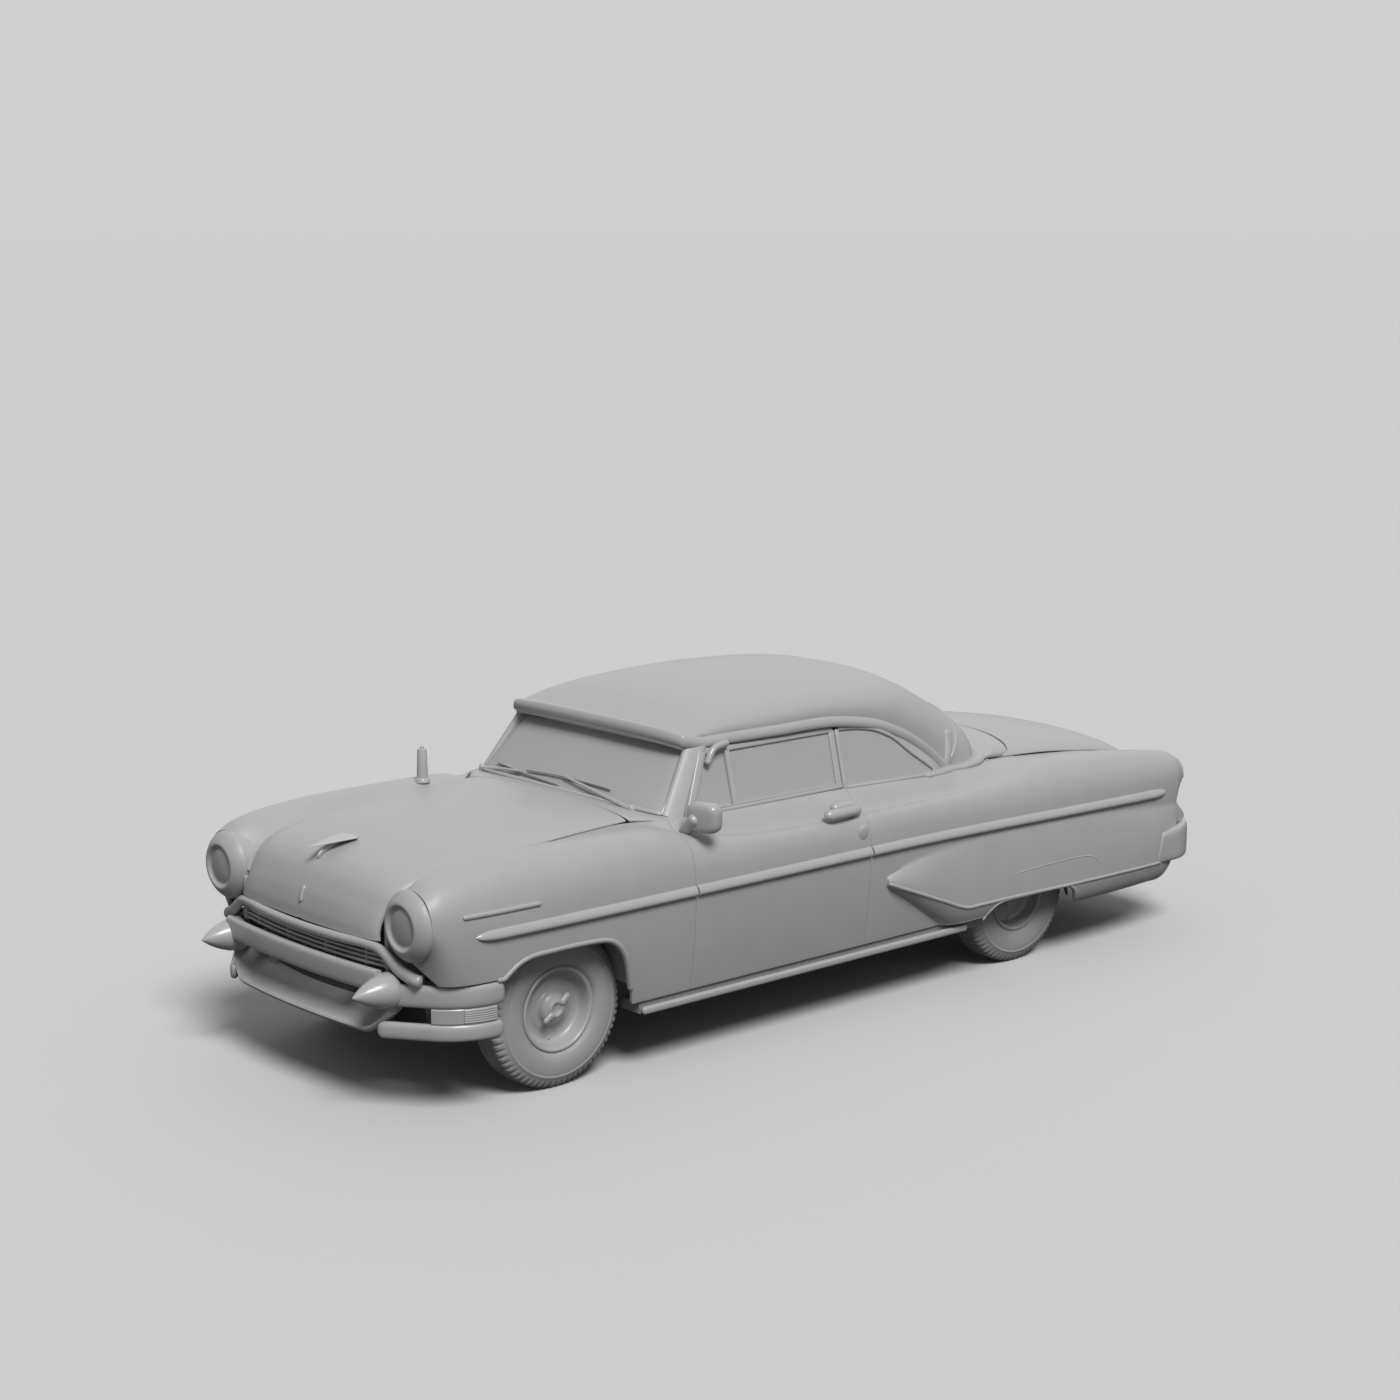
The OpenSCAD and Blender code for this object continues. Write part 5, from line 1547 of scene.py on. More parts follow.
@dataclass
class Doors:
    """The doors with window frames, glass, handles and inner panels, and the mirror on the left one."""

    shut: float = 0.7
    hem: Pair = (2.5, 16.0)
    core_gap: float = 7.0
    core_depth: float = 8.0
    inner_from: float = 37.0
    inner_y: float = 820.0
    inner_lean: float = 72.0
    frame_drop: float = 38.0
    glass_drop: float = 40.0
    mirror_at: Triple = (984.0, 936.0, 1167.0)
    mirror_turn: float = 16.0
    lock_at: Pair = (-44.0, 937.0)
    crank_y: float = 782.0

    def build(self) -> None:
        """Make the left door and its parts, and mirror them."""
        bodies = ("door_left", "door_right")
        fitted_pair(self.skin(), Finishes.PAINT, bodies, ("door_{side}",))
        fitted_pair(self.core(), Finishes.TRIM, bodies)
        fitted_pair(self.frame(), Finishes.BRIGHT, bodies)
        fitted_pair(self.glass(), Finishes.GLASS, bodies, ("door_glass_{side}",))
        fitted(self.mirror(), Finishes.BRIGHT, "door_left")
        fitted_pair(self.handle(), Finishes.BRIGHT, bodies)
        fitted_pair(self.spear(), Finishes.BRIGHT, bodies)
        fitted_pair(self.armrest(), Finishes.TRIM, bodies)
        fitted_pair(self.cranks(), Finishes.BRIGHT, bodies)

    @staticmethod
    def section(x: float) -> np.ndarray:
        """Points up the door's section."""
        steps = np.concatenate([np.linspace(0, 1, 30), np.linspace(1, 2, 26)[1:], np.linspace(2, 3, 9)[1:]])
        return SIDE.row(x, steps)

    def skin(self) -> Piece:
        """The door's outer skin.

        Returns:
            The new piece.
        """
        places = np.linspace(CAR.door_rear + self.shut, CAR.door_front - self.shut, 64)
        points = np.array([self.section(x) for x in places])
        points = hemmed(points, Edge, *self.hem)
        return thickened(pulled("door_skin", points))

    def core(self) -> Piece:
        """The door's body behind its skin, with the flat inner panel.

        Returns:
            The new piece.
        """
        rear, front = CAR.door_rear, CAR.door_front - self.core_gap
        places = np.linspace(rear + self.core_gap, front, 24)
        outer = np.array([self.section(x) for x in places])
        outer = outer - self.core_depth * normals_of(outer)
        low = CAR.door_low + 6
        t = np.linspace(1, 0, 24)
        rows = []
        for x, row in zip(places, outer):
            share = (x - places[0]) / (places[-1] - places[0])
            inner_x = rear + self.inner_from + share * (front - rear - self.inner_from)
            y, z = self.inner_y - self.inner_lean * t, low + (row[-1, 2] - 4 - low) * t
            rows.append(np.concatenate([row, np.stack([np.full_like(t, inner_x), y, z], axis=1)]))
        return pulled("door_core", np.array(rows), around=True, solid=True)

    def frame(self) -> Piece:
        """The bright window frame with the vent window's post.

        Returns:
            The new piece.
        """
        top = CAR.glass_h - self.frame_drop
        rear, front = CAR.door_rear, xf(-1004)
        pieces = [
            member("frame_top", (rear - 4, top), (front + 10, top + 2), 32, 24, 10),
            member("frame_front", (front + 8, top + 8), (xf(-826), -4), 46, 28, 10),
            member("frame_vent", (VENT_X - 20, top), (VENT_X + 3, 0), 26, 24, 9),
            member("frame_vent_edge", (VENT_X - 2, top), (VENT_X + 22, 4), 9, 30, 10),
            member("frame_rear", (rear + 4, top), (rear + 34, 0), 38, 22, 10),
            member("frame_sill", (rear + 14, -2), (xf(-806), -2), 22, 30, 10),
            member("frame_reveal", (rear + 14, 10), (xf(-820), 12), 8, 30, 10),
        ]
        return joined("door_frame", pieces)

    def glass(self) -> Piece:
        """The main pane and the vent pane.

        Returns:
            The new piece.
        """
        top = CAR.glass_h - self.glass_drop
        rear = CAR.door_rear
        main = pane(
            "door_pane", [(rear + 52, 2), (VENT_X - 8, 2)], [(rear + 16, top), (VENT_X - 34, top)], 11
        )
        vent = pane(
            "vent_pane", [(VENT_X + 14, 4), (xf(-850), 4)], [(VENT_X - 12, top), (xf(-1010), top)], 11
        )
        return joined("door_panes", [main, vent])

    def mirror(self) -> Piece:
        """The big rounded mirror on its thick stalk.

        Returns:
            The new piece.
        """
        head = self.mirror_at
        rows = []
        for x, k in (
            (-34, 0.02), (-34, 0.6), (-34, 0.84), (-31, 0.9), (-30, 0.95), (-24, 0.985), (-12, 1.0),
            (6, 0.99), (20, 0.94), (30, 0.85), (36, 0.72), (39, 0.5), (40, 0.02),
        ):
            ring = oval(176, 150, 48, 3.4) * k
            rows.append(
                np.stack([np.full(48, head[0] + x), head[1] + ring[:, 0], head[2] + ring[:, 1]], axis=1)
            )
        shell = pulled("mirror_head", np.array(rows), around=True, solid=True)
        placed(shell, self.mirror_turn, "Z", head)
        stalk = smooth_path(
            [(1012, 828, 1086), (1016, 850, 1104), (1020, 886, 1136), (1022, 912, 1158), (1022, 930, 1172)], 6
        )
        arm = bar("mirror_stalk", stalk, oval(60, 58, 22), (1.0, 0.0, 0.0), taper=22)
        return joined("door_mirror", [shell, arm])

    def handle(self) -> Piece:
        """The thick pull handle with its button, and the oval lock below it.

        Returns:
            The new piece.
        """
        row = SIDE.row(50.0, np.concatenate([np.linspace(1, 2, 120), np.linspace(2, 3, 80)[1:]]))
        mount = float(np.interp(1052.0, row[:, 2], row[:, 1]))
        grip = smooth_path([
            (176, 910, 1054), (156, 932, 1050), (112, 938, 1050), (40, 936, 1050), (-20, 928, 1048),
            (-54, 908, 1046), (-66, mount - 6, 1044),
        ], 7)
        pull = bar(
            "handle_grip", grip, oval(54, 42, 24), (0.0, 0.9, 0.44), taper=24, scale=lambda s: 1.06 - 0.2 * s
        )
        base = np.array([(80, mount + 10, 1056), (10, mount + 14, 1060), (-76, mount + 12, 1058)])
        foot = bar("handle_foot", base, oval(54, 46, 20), (0, 0.9, 0.44), taper=26)
        dome = [(0, 34), (12, 32.5), (20, 27), (24, 18), (25, 6), (25, -30), (0, -30)]
        button = turned("handle_button", dome, (-34, 900, 1022), Axis.Y, 36, False)
        x, z = self.lock_at
        side = float(np.interp(z, row[:, 2], row[:, 1]))
        turns = np.linspace(0, 2 * math.pi, 41)[:-1]
        rings = []
        for out, k in ((-10, 1.0), (3, 1.0), (6, 0.94), (8, 0.8), (9, 0.1)):
            rings.append([(x + 31 * k * math.cos(a), side + out, z + 36 * k * math.sin(a)) for a in turns])
        lock = pulled("door_lock", np.array(rings), around=True, solid=True)
        return joined("door_handle", [pull, foot, button, lock])

    def spear(self) -> Piece:
        """The side moulding across the door."""
        return spear("door_spear", CAR.door_rear + 5, CAR.door_front - 5, 0.0, 3.0)

    def armrest(self) -> Piece:
        """The armrest on the inner panel."""
        path = smooth_path([(120, 778, 690), (300, 762, 694), (520, 758, 700), (640, 772, 704)], 8)
        return bar("door_armrest", path, oval(60, 62, 24, 3.0), (0, -1, 0), taper=34)

    def cranks(self) -> Piece:
        """The window crank and the inner handle.

        Returns:
            The new piece.
        """
        boss = [(0, -26), (20, -24), (24, -14), (26, 12), (0, 12)]
        grip = [(0, -34), (9, -32), (12, -24), (9, -8), (0, -6)]
        y = self.crank_y
        pieces = []
        for k, (x, z) in enumerate(((560, 850), (760, 880))):
            pieces.append(turned(f"crank_hub_{k}", boss, (x, y, z), Axis.Y, 32, False))
            path = np.array([(x, y - 18, z), (x - 30, y - 22, z - 16), (x - 70, y - 26, z - 36)])
            pieces.append(bar(f"crank_arm_{k}", path, oval(20, 10, 14), (0, -1, 0), taper=8))
            pieces.append(turned(f"crank_knob_{k}", grip, (x - 68, y - 18, z - 35), Axis.Y, 24, False))
        return joined("door_cranks", pieces)


def spear(name: str, start: float, end: float, taper_start: float, taper_end: float) -> Piece:
    """A length of the side moulding.

    Args:
        name: Name of the piece.
        start: Its rear end.
        end: Its front end.
        taper_start: Length over which the rear end runs out.
        taper_end: Length over which the front end runs out.

    Returns:
        The new piece.
    """
    places = spread((start, 0), (start + max(taper_start, 4.0), 8), (end - max(taper_end, 4.0), 30), (end, 8))
    section = [
        (25, -4), (24, 2), (20, 7), (14, 12), (6, 17), (-3, 20.5), (-11, 21.5), (-17, 20), (-21, 15.5),
        (-22.5, 9), (-21, 3), (-20, -6),
    ]
    rows = []
    for x in places:
        rear = (x - start) / taper_start if taper_start > 10 else 1.0
        front = (end - x) / taper_end if taper_end > 10 else 1.0
        k = min(rear, front, 1.0)
        k = math.sqrt(max(1.0 - (1.0 - k) ** 2, 0.0004))
        level = 836.0 - 48.0 * max((-300.0 - x) / 2126.0, 0.0) ** 1.5
        base = SIDE.row(x, np.linspace(0.6, 1.4, 81))
        row = []
        for z, d in section:
            y = float(np.interp(level + z * k, base[:, 2], base[:, 1]))
            row.append((x, y + (d if d < 0 else d * k), level + z * max(k, 0.1)))
        rows.append(row)
    return pulled(name, np.array(rows), around=True, solid=True)


@dataclass
class Roof:
    """The roof with its drip rails, headlining and the glass and frames at both ends."""

    power: float = 2.6
    hem: Pair = (4.0, 14.0)
    lining_gap: float = 24.0
    lining_wall: float = 4.0
    glass_wall: float = 5.0
    rail_drop: float = 24.0
    sail_drop: float = 20.0
    header_half: float = 650.0
    TABLE = Table([
        (0, xr(455), 690, 1098, xr(199), 1382),
        (1, xr(564), 686, 1200.5, xr(369), 1468),
        (2, xr(725), 684, 1314.7, xr(528), 1545),
        (3, xr(954), 682, 1416, xr(761), 1618),
        (4, xr(1286), 682, 1472, xr(1192), 1640),
        (5, xf(-1518), 680, 1476, xf(-1503), 1633),
        (6, xf(-1160), 670, 1478, xf(-1137), 1597),
        (7, xf(-930), 650, 1473, xf(-855), 1514),
    ])

    BACK_LOW = smooth_path([
        (-914, 688, 1096), (-1000, 690, 1098), (-1090, 682, 1102), (-1165, 656, 1107), (-1222, 606, 1112),
        (-1300, 505, 1121), (-1392, 370, 1131), (-1490, 200, 1140), (-1558, 0, 1145),
    ], 6)

    def point(self, step: float, angle: float) -> Triple:
        """A point of the roof at a step from rear to front and an angle from the left rail to the right.

        Args:
            step: Step along the roof.
            angle: Angle across it.

        Returns:
            The point.
        """
        _, rail_x, rail_y, rail_z, top_x, top_z = self.TABLE.at(step)
        k = 2.0 / self.power
        s = max(math.sin(angle), 0.0) ** k
        c = math.copysign(abs(math.cos(angle)) ** k, math.cos(angle))
        return (rail_x + (top_x - rail_x) * s, c * rail_y, rail_z + (top_z - rail_z) * s)

    def build(self) -> None:
        """Make the roof and everything that hangs on it."""
        fitted(self.skin(), Finishes.PAINT, replaces=("roof",))
        fitted(self.lining(), Finishes.TRIM)
        fitted(self.rail(), Finishes.BRIGHT, replaces=("drip_rails",))
        fitted(self.header(), Finishes.BRIGHT, replaces=("windshield_frame",))
        fitted(self.screen(), Finishes.GLASS, replaces=("windshield",))
        fitted(self.screen_moulding(), Finishes.BRIGHT)
        fitted_pair(self.pillar(), Finishes.PAINT)
        fitted(self.backlight(), Finishes.GLASS, replaces=("backlight",))
        fitted(self.backlight_moulding(), Finishes.BRIGHT)
        fitted(self.plinth(), Finishes.PAINT)
        fitted_pair(self.quarter_pane(), Finishes.GLASS, replaces=("quarter_glass",))
        fitted_pair(self.quarter_frame(), Finishes.BRIGHT)
        fitted_pair(self.sail(), Finishes.PAINT)
        fitted(self.inner_mirror(), Finishes.TRIM)

    def skin(self) -> Piece:
        """The roof's outer skin, with its rear pillars.

        Returns:
            The new piece.
        """
        angles = np.linspace(0.0, math.pi, 110)
        points = np.array([[self.point(s, a) for a in angles] for s in spread((0, 0), (4, 60), (7, 44))])
        return thickened(pulled("roof_skin", hemmed(points, Edge, *self.hem)))

    def lining(self) -> Piece:
        """The headlining under the roof.

        Returns:
            The new piece.
        """
        angles = np.linspace(0.1, math.pi - 0.1, 60)
        points = np.array([[self.point(s, a) for a in angles] for s in np.linspace(0.7, 6.8, 40)])
        return thickened(
            pulled("headlining", points - self.lining_gap * normals_of(points)), self.lining_wall
        )

    def rail_path(self) -> tuple[np.ndarray, np.ndarray]:
        """The left drip rail: the short arm up the rear pillar and the long line to the front corner.

        Returns:
            The arm's points and the long line's.
        """
        hook = [(-966, 650, 1286), (-956, 665, 1240), (-942, 681, 1190), (-925, 691, 1142), (-904, 694, 1092)]
        steps = (0.0, 0.3, 0.7, 1, 1.5, 2, 2.5, 3, 3.5, 4, 4.5, 5, 5.5, 6, 6.4, 6.7)
        return np.array(hook), self.under_rail(steps, 4.0, self.rail_drop)

    def under_rail(self, steps: Iterable[float], out: float, drop: float) -> np.ndarray:
        """The roof's left edge, moved outward and lowered."""
        return np.array([
            np.array(self.point(s, 0.0)) + np.array([0.0, out, -drop * min(1.0, s / 2.5)]) for s in steps
        ])

    def rail(self) -> Piece:
        """The drip rail: down the rear pillar, over the doors and across the top of the windshield.

        Returns:
            The new piece.
        """
        hook, upper = self.rail_path()
        front = [self.point(7, a) for a in np.linspace(0.12, math.pi - 0.12, 39)]
        front = [(x + 4, y * 1.004, z - 16) for x, y, z in front]
        left = [tuple(p) for p in upper]
        right = [(x, -y, z) for x, y, z in reversed(left)]
        path = smooth_path(left + front + right, 3)
        middle = np.array([-200.0, 0.0, 1200.0])
        out = path - middle
        out[:, 0] = np.where(path[:, 0] > 700, out[:, 0], 0.0)
        out = unit(out)
        top = bar("drip_rail", path, oval(56, 32, 22), out, taper=26)
        second = [(x - 4, y * 0.985, z - 34) for x, y, z in front]
        ledge = bar("header_bead", smooth_path(second, 2), oval(30, 26, 18), (0.9, 0.0, 0.3), taper=10)
        pieces = [top, ledge]
        for side in (1, -1):
            path = smooth_path([(x, y * side, z) for x, y, z in hook], 6)
            pieces.append(bar(f"drip_hook_{side}", path, oval(50, 30, 20), (0.0, float(side), 0.2), taper=16))
        return joined("roof_mouldings", pieces)

    def header(self) -> Piece:
        """The header over the windshield.

        Returns:
            The new piece.
        """
        y = np.linspace(-646, 646, 41)
        bow = 1 - (y / self.header_half) ** 2
        path = np.stack([812 + 54 * bow, y, 1450 + 10 * bow], axis=1)
        return bar("windshield_header", path, oval(44, 40, 20, 3.0), (1.0, 0.0, 0.2), taper=6)

    @staticmethod
    def screen_line(angle: float, high: float) -> np.ndarray:
        """A point of the windshield at an angle round it and a share of its height.

        Args:
            angle: Angle from the left side to the right.
            high: Share of the height.

        Returns:
            The point.
        """
        c, s = math.cos(angle), math.sin(angle)
        low = np.array([xf(-728) + 82 * s, 694 * c, 1148 + 21 * s])
        top = np.array([xf(-962) + 60 * s, 616 * c, 1430 + 6 * s])
        return low + (top - low) * high

    def screen(self) -> Piece:
        """The curved windshield.

        Returns:
            The new piece.
        """
        angles = np.linspace(0.0, math.pi, 70)
        points = np.array([[self.screen_line(a, h) for a in angles] for h in np.linspace(0.0, 1.0, 16)])
        return thickened(pulled("windshield_pane", points[::-1]), self.glass_wall)

    def screen_moulding(self) -> Piece:
        """The bright moulding round the windshield.

        Returns:
            The new piece.
        """
        pieces = []
        for name, high, width in (("low", 0.0, 22), ("top", 1.0, 20)):
            path = np.array([self.screen_line(a, high) for a in np.linspace(0.0, math.pi, 61)])
            path = path + np.array([6.0, 0.0, 4.0 if high == 0 else 2.0])
            pieces.append(bar(f"screen_moulding_{name}", path, oval(width, 14, 14), (0.8, 0.0, 0.6), taper=6))
        for side, angle in ((1, 0.0), (-1, math.pi)):
            path = np.array([
                self.screen_line(angle, h) + np.array([6.0, 4.0 * side, 0]) for h in np.linspace(0.0, 1.0, 12)
            ])
            pieces.append(
                bar(f"screen_moulding_side_{side}", path, oval(24, 16, 14), (0.5, 0.8 * side, 0.2), taper=6)
            )
        return joined("windshield_moulding", pieces)

    def pillar(self) -> Piece:
        """The broad windshield pillar, which fills the space up to the door's frame.

        Returns:
            The new piece.
        """
        foot, head = np.array((992.0, 722.0, 1115.0)), np.array((776.0, 646.0, 1450.0))
        path = np.array([foot + (head - foot) * t for t in np.linspace(0, 1, 14)])
        return bar(
            "windshield_pillar", path, oval(118, 46, 28, 2.8), (0.4, 0.88, 0.2), taper=4,
            scale=lambda t: 1.1 - 0.2 * t
        )

    def back_line(self, share: float, high: float) -> np.ndarray:
        """A point of the rear window at a share of its width and of its height.

        Args:
            share: Share of the width, from the left.
            high: Share of the height.

        Returns:
            The point.
        """
        half = min(share, 1.0 - share) * 2.0
        side = 1.0 if share <= 0.5 else -1.0
        place = half * (len(self.BACK_LOW) - 1)
        low = np.array([
            np.interp(place, np.arange(len(self.BACK_LOW)), self.BACK_LOW[:, k]) for k in range(3)
        ])
        top = np.array(self.point(0.0, half * math.pi / 2)) + np.array([-4.0, 0.0, -8.0])
        point = low + (top - low) * high
        bow = math.sin(math.pi * high) * float(ramp(0.05, 0.5, np.array(half)))
        return (point + np.array([-26.0, 0.0, 14.0]) * bow) * np.array([1.0, side, 1.0])

    def backlight(self) -> Piece:
        """The wrapped rear window."""
        points = np.array([
            [self.back_line(u, h) for u in np.linspace(0.002, 0.998, 101)] for h in np.linspace(0.0, 1.0, 20)
        ])
        return thickened(pulled("backlight_pane", points), self.glass_wall)

    def backlight_moulding(self) -> Piece:
        """The bright moulding along the foot and the top of the rear window.

        Returns:
            The new piece.
        """
        shares = np.linspace(0.0, 1.0, 81)
        low = np.array([self.back_line(u, 0.0) for u in shares])
        top = np.array([self.back_line(u, 1.0) for u in shares])
        centre = np.array([-700.0, 0.0, 1120.0])
        pieces = []
        for name, path, width, depth in (("low", low, 20, 14), ("top", top, 26, 18)):
            pieces.append(
                bar(f"backlight_{name}", path, oval(width, depth, 14), unit(path - centre), taper=8)
            )
        return joined("backlight_moulding", pieces)

    def plinth(self) -> Piece:
        """The rounded roll on which the rear pillars and the rear window stand.

        Returns:
            The new piece.
        """
        foot = [(-640, 776, 1106), (-760, 762, 1100), (-850, 738, 1096), (-920, 716, 1094)]
        rear = [np.array(self.back_line(u, 0.0)) for u in np.linspace(0.05, 0.5, 22)]
        rear = [
            tuple(p + np.array([-14.0, 20.0, -6.0]) * np.array([1.0, min(p[1] / 640.0, 1.0), 1.0]))
            for p in rear
        ]
        path = smooth_path(foot + rear + [(x, -y, z) for x, y, z in reversed(foot + rear[:-1])], 3)
        return bar("greenhouse_plinth", path, oval(66, 40, 22), (0.0, 0.0, 1.0), taper=40)

    def quarter_lines(self) -> tuple[list[Pair], list[Pair]]:
        """The lower and the upper line of the rear side window.

        Returns:
            Both lines, as pairs of a place along the car and a height along the lean.
        """
        top = CAR.glass_h
        curve = smooth_path([
            (xr(640), 0, -36), (xr(634), 0, -6), (xr(676), 0, 32), (xr(760), 0, 98), (xr(850), 0, 180),
            (xr(908), 0, 216), (xr(993), 0, top - 72), (xr(1104), 0, top - 51),
            (CAR.door_rear - 40, 0, top - 41),
        ], 6)
        high = [(x, h) for x, _, h in curve]
        low = [
            (xr(640) + (CAR.door_rear - 4 - xr(640)) * t, -38 + 22 * t) for t in np.linspace(0, 1, len(high))
        ]
        return low, high

    def quarter_pane(self) -> Piece:
        """The rear side window."""
        low, high = self.quarter_lines()
        return pane("quarter_pane", low, high, 8)

    def quarter_frame(self) -> Piece:
        """The thin bright frame of the rear side window.

        Returns:
            The new piece.
        """
        _, high = self.quarter_lines()
        curve = np.array([in_glass(x, h, 5) for x, h in high])
        rear, tall, steps = CAR.door_rear, CAR.glass_h, np.linspace(0, 1, 9)
        post = np.array([in_glass(rear - 34 + 32 * t, tall - 40 - (tall - 20) * t, 8) for t in steps])
        sill = np.array([in_glass(x, h, 6) for x, h in ((xr(646), -32), (xr(950), -24), (rear - 8, -12))])
        pieces = [
            bar("quarter_frame_top", curve, oval(20, 20, 16, 3.0), GLASS_OUT, taper=5),
            bar("quarter_frame_post", post, oval(28, 22, 18, 4.0), GLASS_OUT, taper=4),
            bar("quarter_frame_low", sill, oval(18, 26, 14, 3.0), GLASS_OUT, taper=4),
        ]
        return joined("quarter_frame", pieces)

    def sail(self) -> Piece:
        """The panel that closes the roof from the drip rail to the frame of the rear side window.

        Returns:
            The new piece.
        """
        rail = self.under_rail(np.linspace(0.0, 3.84, 60), -6.0, self.sail_drop)
        frame = np.array([in_glass(x, h, 10) for x, h in self.quarter_lines()[1]])
        lines = []
        for line in (frame, rail):
            run = np.concatenate([[0.0], np.cumsum(np.linalg.norm(np.diff(line, axis=0), axis=1))])
            lines.append(
                np.stack([np.interp(np.linspace(0, run[-1], 50), run, line[:, k]) for k in range(3)], axis=1)
            )
        points = np.stack([lines[0] + (lines[1] - lines[0]) * k for k in np.linspace(0.0, 1.0, 6)], axis=1)
        return thickened(pulled("sail_panel", points), 4.0)

    def inner_mirror(self) -> Piece:
        """The inside mirror on its stem.

        Returns:
            The new piece.
        """
        across = np.array([(800, y, 1398) for y in np.linspace(-105, 105, 9)])
        head = bar("inner_mirror_head", across, oval(52, 20, 18), (1, 0, 0), taper=20)
        up = np.array([(806, 0, 1400), (826, 0, 1430), (836, 0, 1448)])
        stem = bar("inner_mirror_stem", up, oval(14, 14, 12), (1, 0, 0.3))
        return joined("inner_mirror", [head, stem])


# Front and rear end


@dataclass
class FrontEnd:
    """Grille, front bumper, lamps and the hood's ornament."""

    corner: Triple = (xf(440), CAR.half_w - 27 - 331, 331.0)
    turn: float = 35.8
    bar_bow: float = 3400.0
    blade_bow: float = 5200.0
    blade_z: float = 624.0
    bullet_at: Triple = (2590, 622, 578)
    bullet_r: float = 82.0
    lens_r: float = 84.5
    lamp_low: float = 442.0
    lamp_high: float = 512.0

    def build(self) -> None:
        """Make every part of the front."""
        fitted(self.grille(), Finishes.BRIGHT, replaces=("grille",))
        # Near-black painted shade at the back of the mouth.
        fitted(self.mouth(), Finishes.SHADOW)
        fitted(self.bumper(), Finishes.BRIGHT, replaces=("front_bumper",))
        fitted_pair(self.bullet(), Finishes.BRIGHT)
        fitted_pair(self.surround(), Finishes.PAINT, replaces=("headlamp_surrounds",))
        fitted_pair(self.lens(), Finishes.LENS, replaces=("headlamp_lenses",))
        fitted_pair(self.lens_ring(), Finishes.BRIGHT)
        fitted_pair(self.parking_lamp(), Finishes.LENS, replaces=("parking_lamps",))
        fitted(self.ornament(), Finishes.BRIGHT, "hood")
        # The valance is near black: painted shade in the slot behind the blade.
        fitted(self.valance(), Finishes.SHADOW)

    def grille(self) -> Piece:
        """The thick hood-lip moulding with its hooked ends, and the three bars below it.

        Returns:
            The new piece.
        """
        half = [
            (xf(853), 0, 760), (xf(850), 160, 761), (xf(838), 330, 763), (xf(816), 470, 763),
            (xf(800), 556, 754), (xf(789), 612, 724), (xf(777), 672, 682), (xf(758), 738, 650),
            (xf(738), 790, 634),
        ]
        path = smooth_path([(x, -y, z) for x, y, z in half[:0:-1]] + half, 7)
        out = np.stack([np.full(len(path), 1.0), path[:, 1] / 1600.0, np.full(len(path), 0.0)], axis=1)
        widen = lambda t: 1.0 + 0.35 * float(ramp(0.30, 0.46, abs(t - 0.5)))
        pieces = [bar("grille_moulding", path, oval(44, 38, 22), out, taper=18, scale=widen)]
        for k in range(3):
            y = np.linspace(-(640 - 12 * k), 640 - 12 * k, 61)
            x = xf(812) - (self.bar_bow - np.sqrt(self.bar_bow**2 - y**2))
            rail = np.stack([x, y, np.full_like(y, 712.0 - 22 * k)], axis=1)
            pieces.append(bar(f"grille_bar_{k}", rail, oval(15, 20, 16, 2.6), (1, 0, 0), taper=6))
        for k, y in enumerate((-440, -155, 155, 440)):
            front = xf(790) + (440 - abs(y)) * 0.08
            pieces.append(block(f"grille_post_{k}", (xf(744), y - 5, 655), (front, y + 5, 752), 2))
        return joined("grille_bars", pieces)

    def mouth(self) -> Piece:
        """A near-black block at the back of the mouth: painted shade for the cavity behind the bars."""
        return block("mouth_painted_shade", (xf(727), -468, 642), (xf(740), 468, 738), 3)

    def wing(self, tail: float, run: float, level: float, inset: float) -> tuple[np.ndarray, np.ndarray]:
        """The plan path of a bumper wing and the way it faces, from its rear end to its inner end.

        Args:
            tail: Length behind the corner.
            run: Length ahead of it.
            level: Height.
            inset: Depth of the path behind the outer face.

        Returns:
            The path and the directions.
        """
        cx, cy, r = self.corner
        path = [(cx - tail, cy + r - inset, level), (cx - tail * 0.5, cy + r - inset, level)]
        out = [(0.0, 1.0, 0.0)] * 2
        for a in np.radians(np.linspace(90, self.turn, 24)):
            path.append((cx + (r - inset) * math.cos(a), cy + (r - inset) * math.sin(a), level))
            out.append((math.cos(a), math.sin(a), 0.0))
        t = math.radians(self.turn)
        for s in np.linspace(0.1, 1.0, 6) * run:
            path.append((path[25][0] + s * math.sin(t), path[25][1] - s * math.cos(t), level))
            out.append((math.cos(t), math.sin(t), 0.0))
        return np.array(path), np.array(out)

    def bumper(self) -> Piece:
        """Wings, lower bars, irons, blade and scoop of the bumper.

        Returns:
            The new piece.
        """
        pieces = []
        path, out = self.wing(48, 205, 565, 20)
        pieces.append(bar("bumper_wing", path, oval(104, 40, 28, 2.8), out, taper=34))
        path, out = self.wing(40, 252, 402, 20)
        pieces.append(bar("bumper_pan", path, oval(78, 40, 28, 2.8), out, taper=30))
        pieces.append(block("bumper_iron", (xf(640), 374, 514), (xf(738), 436, 640), 6))
        pieces.append(block("bumper_iron_front", (xf(730), 374, 590), (xf(852), 436, 640), 6))
        pieces += [mirrored(p, p.name + "_right") for p in list(pieces)]
        y = np.linspace(-610, 610, 51)
        x = xf(896) - 20 - (self.blade_bow - np.sqrt(self.blade_bow**2 - y**2))
        blade = np.stack([x, y, np.full_like(y, self.blade_z)], axis=1)
        pieces.append(bar("bumper_blade", blade, oval(104, 40, 28, 3.4), (1, 0, 0)))
        pieces.append(self.apron())
        return joined("front_bumper_bars", pieces)

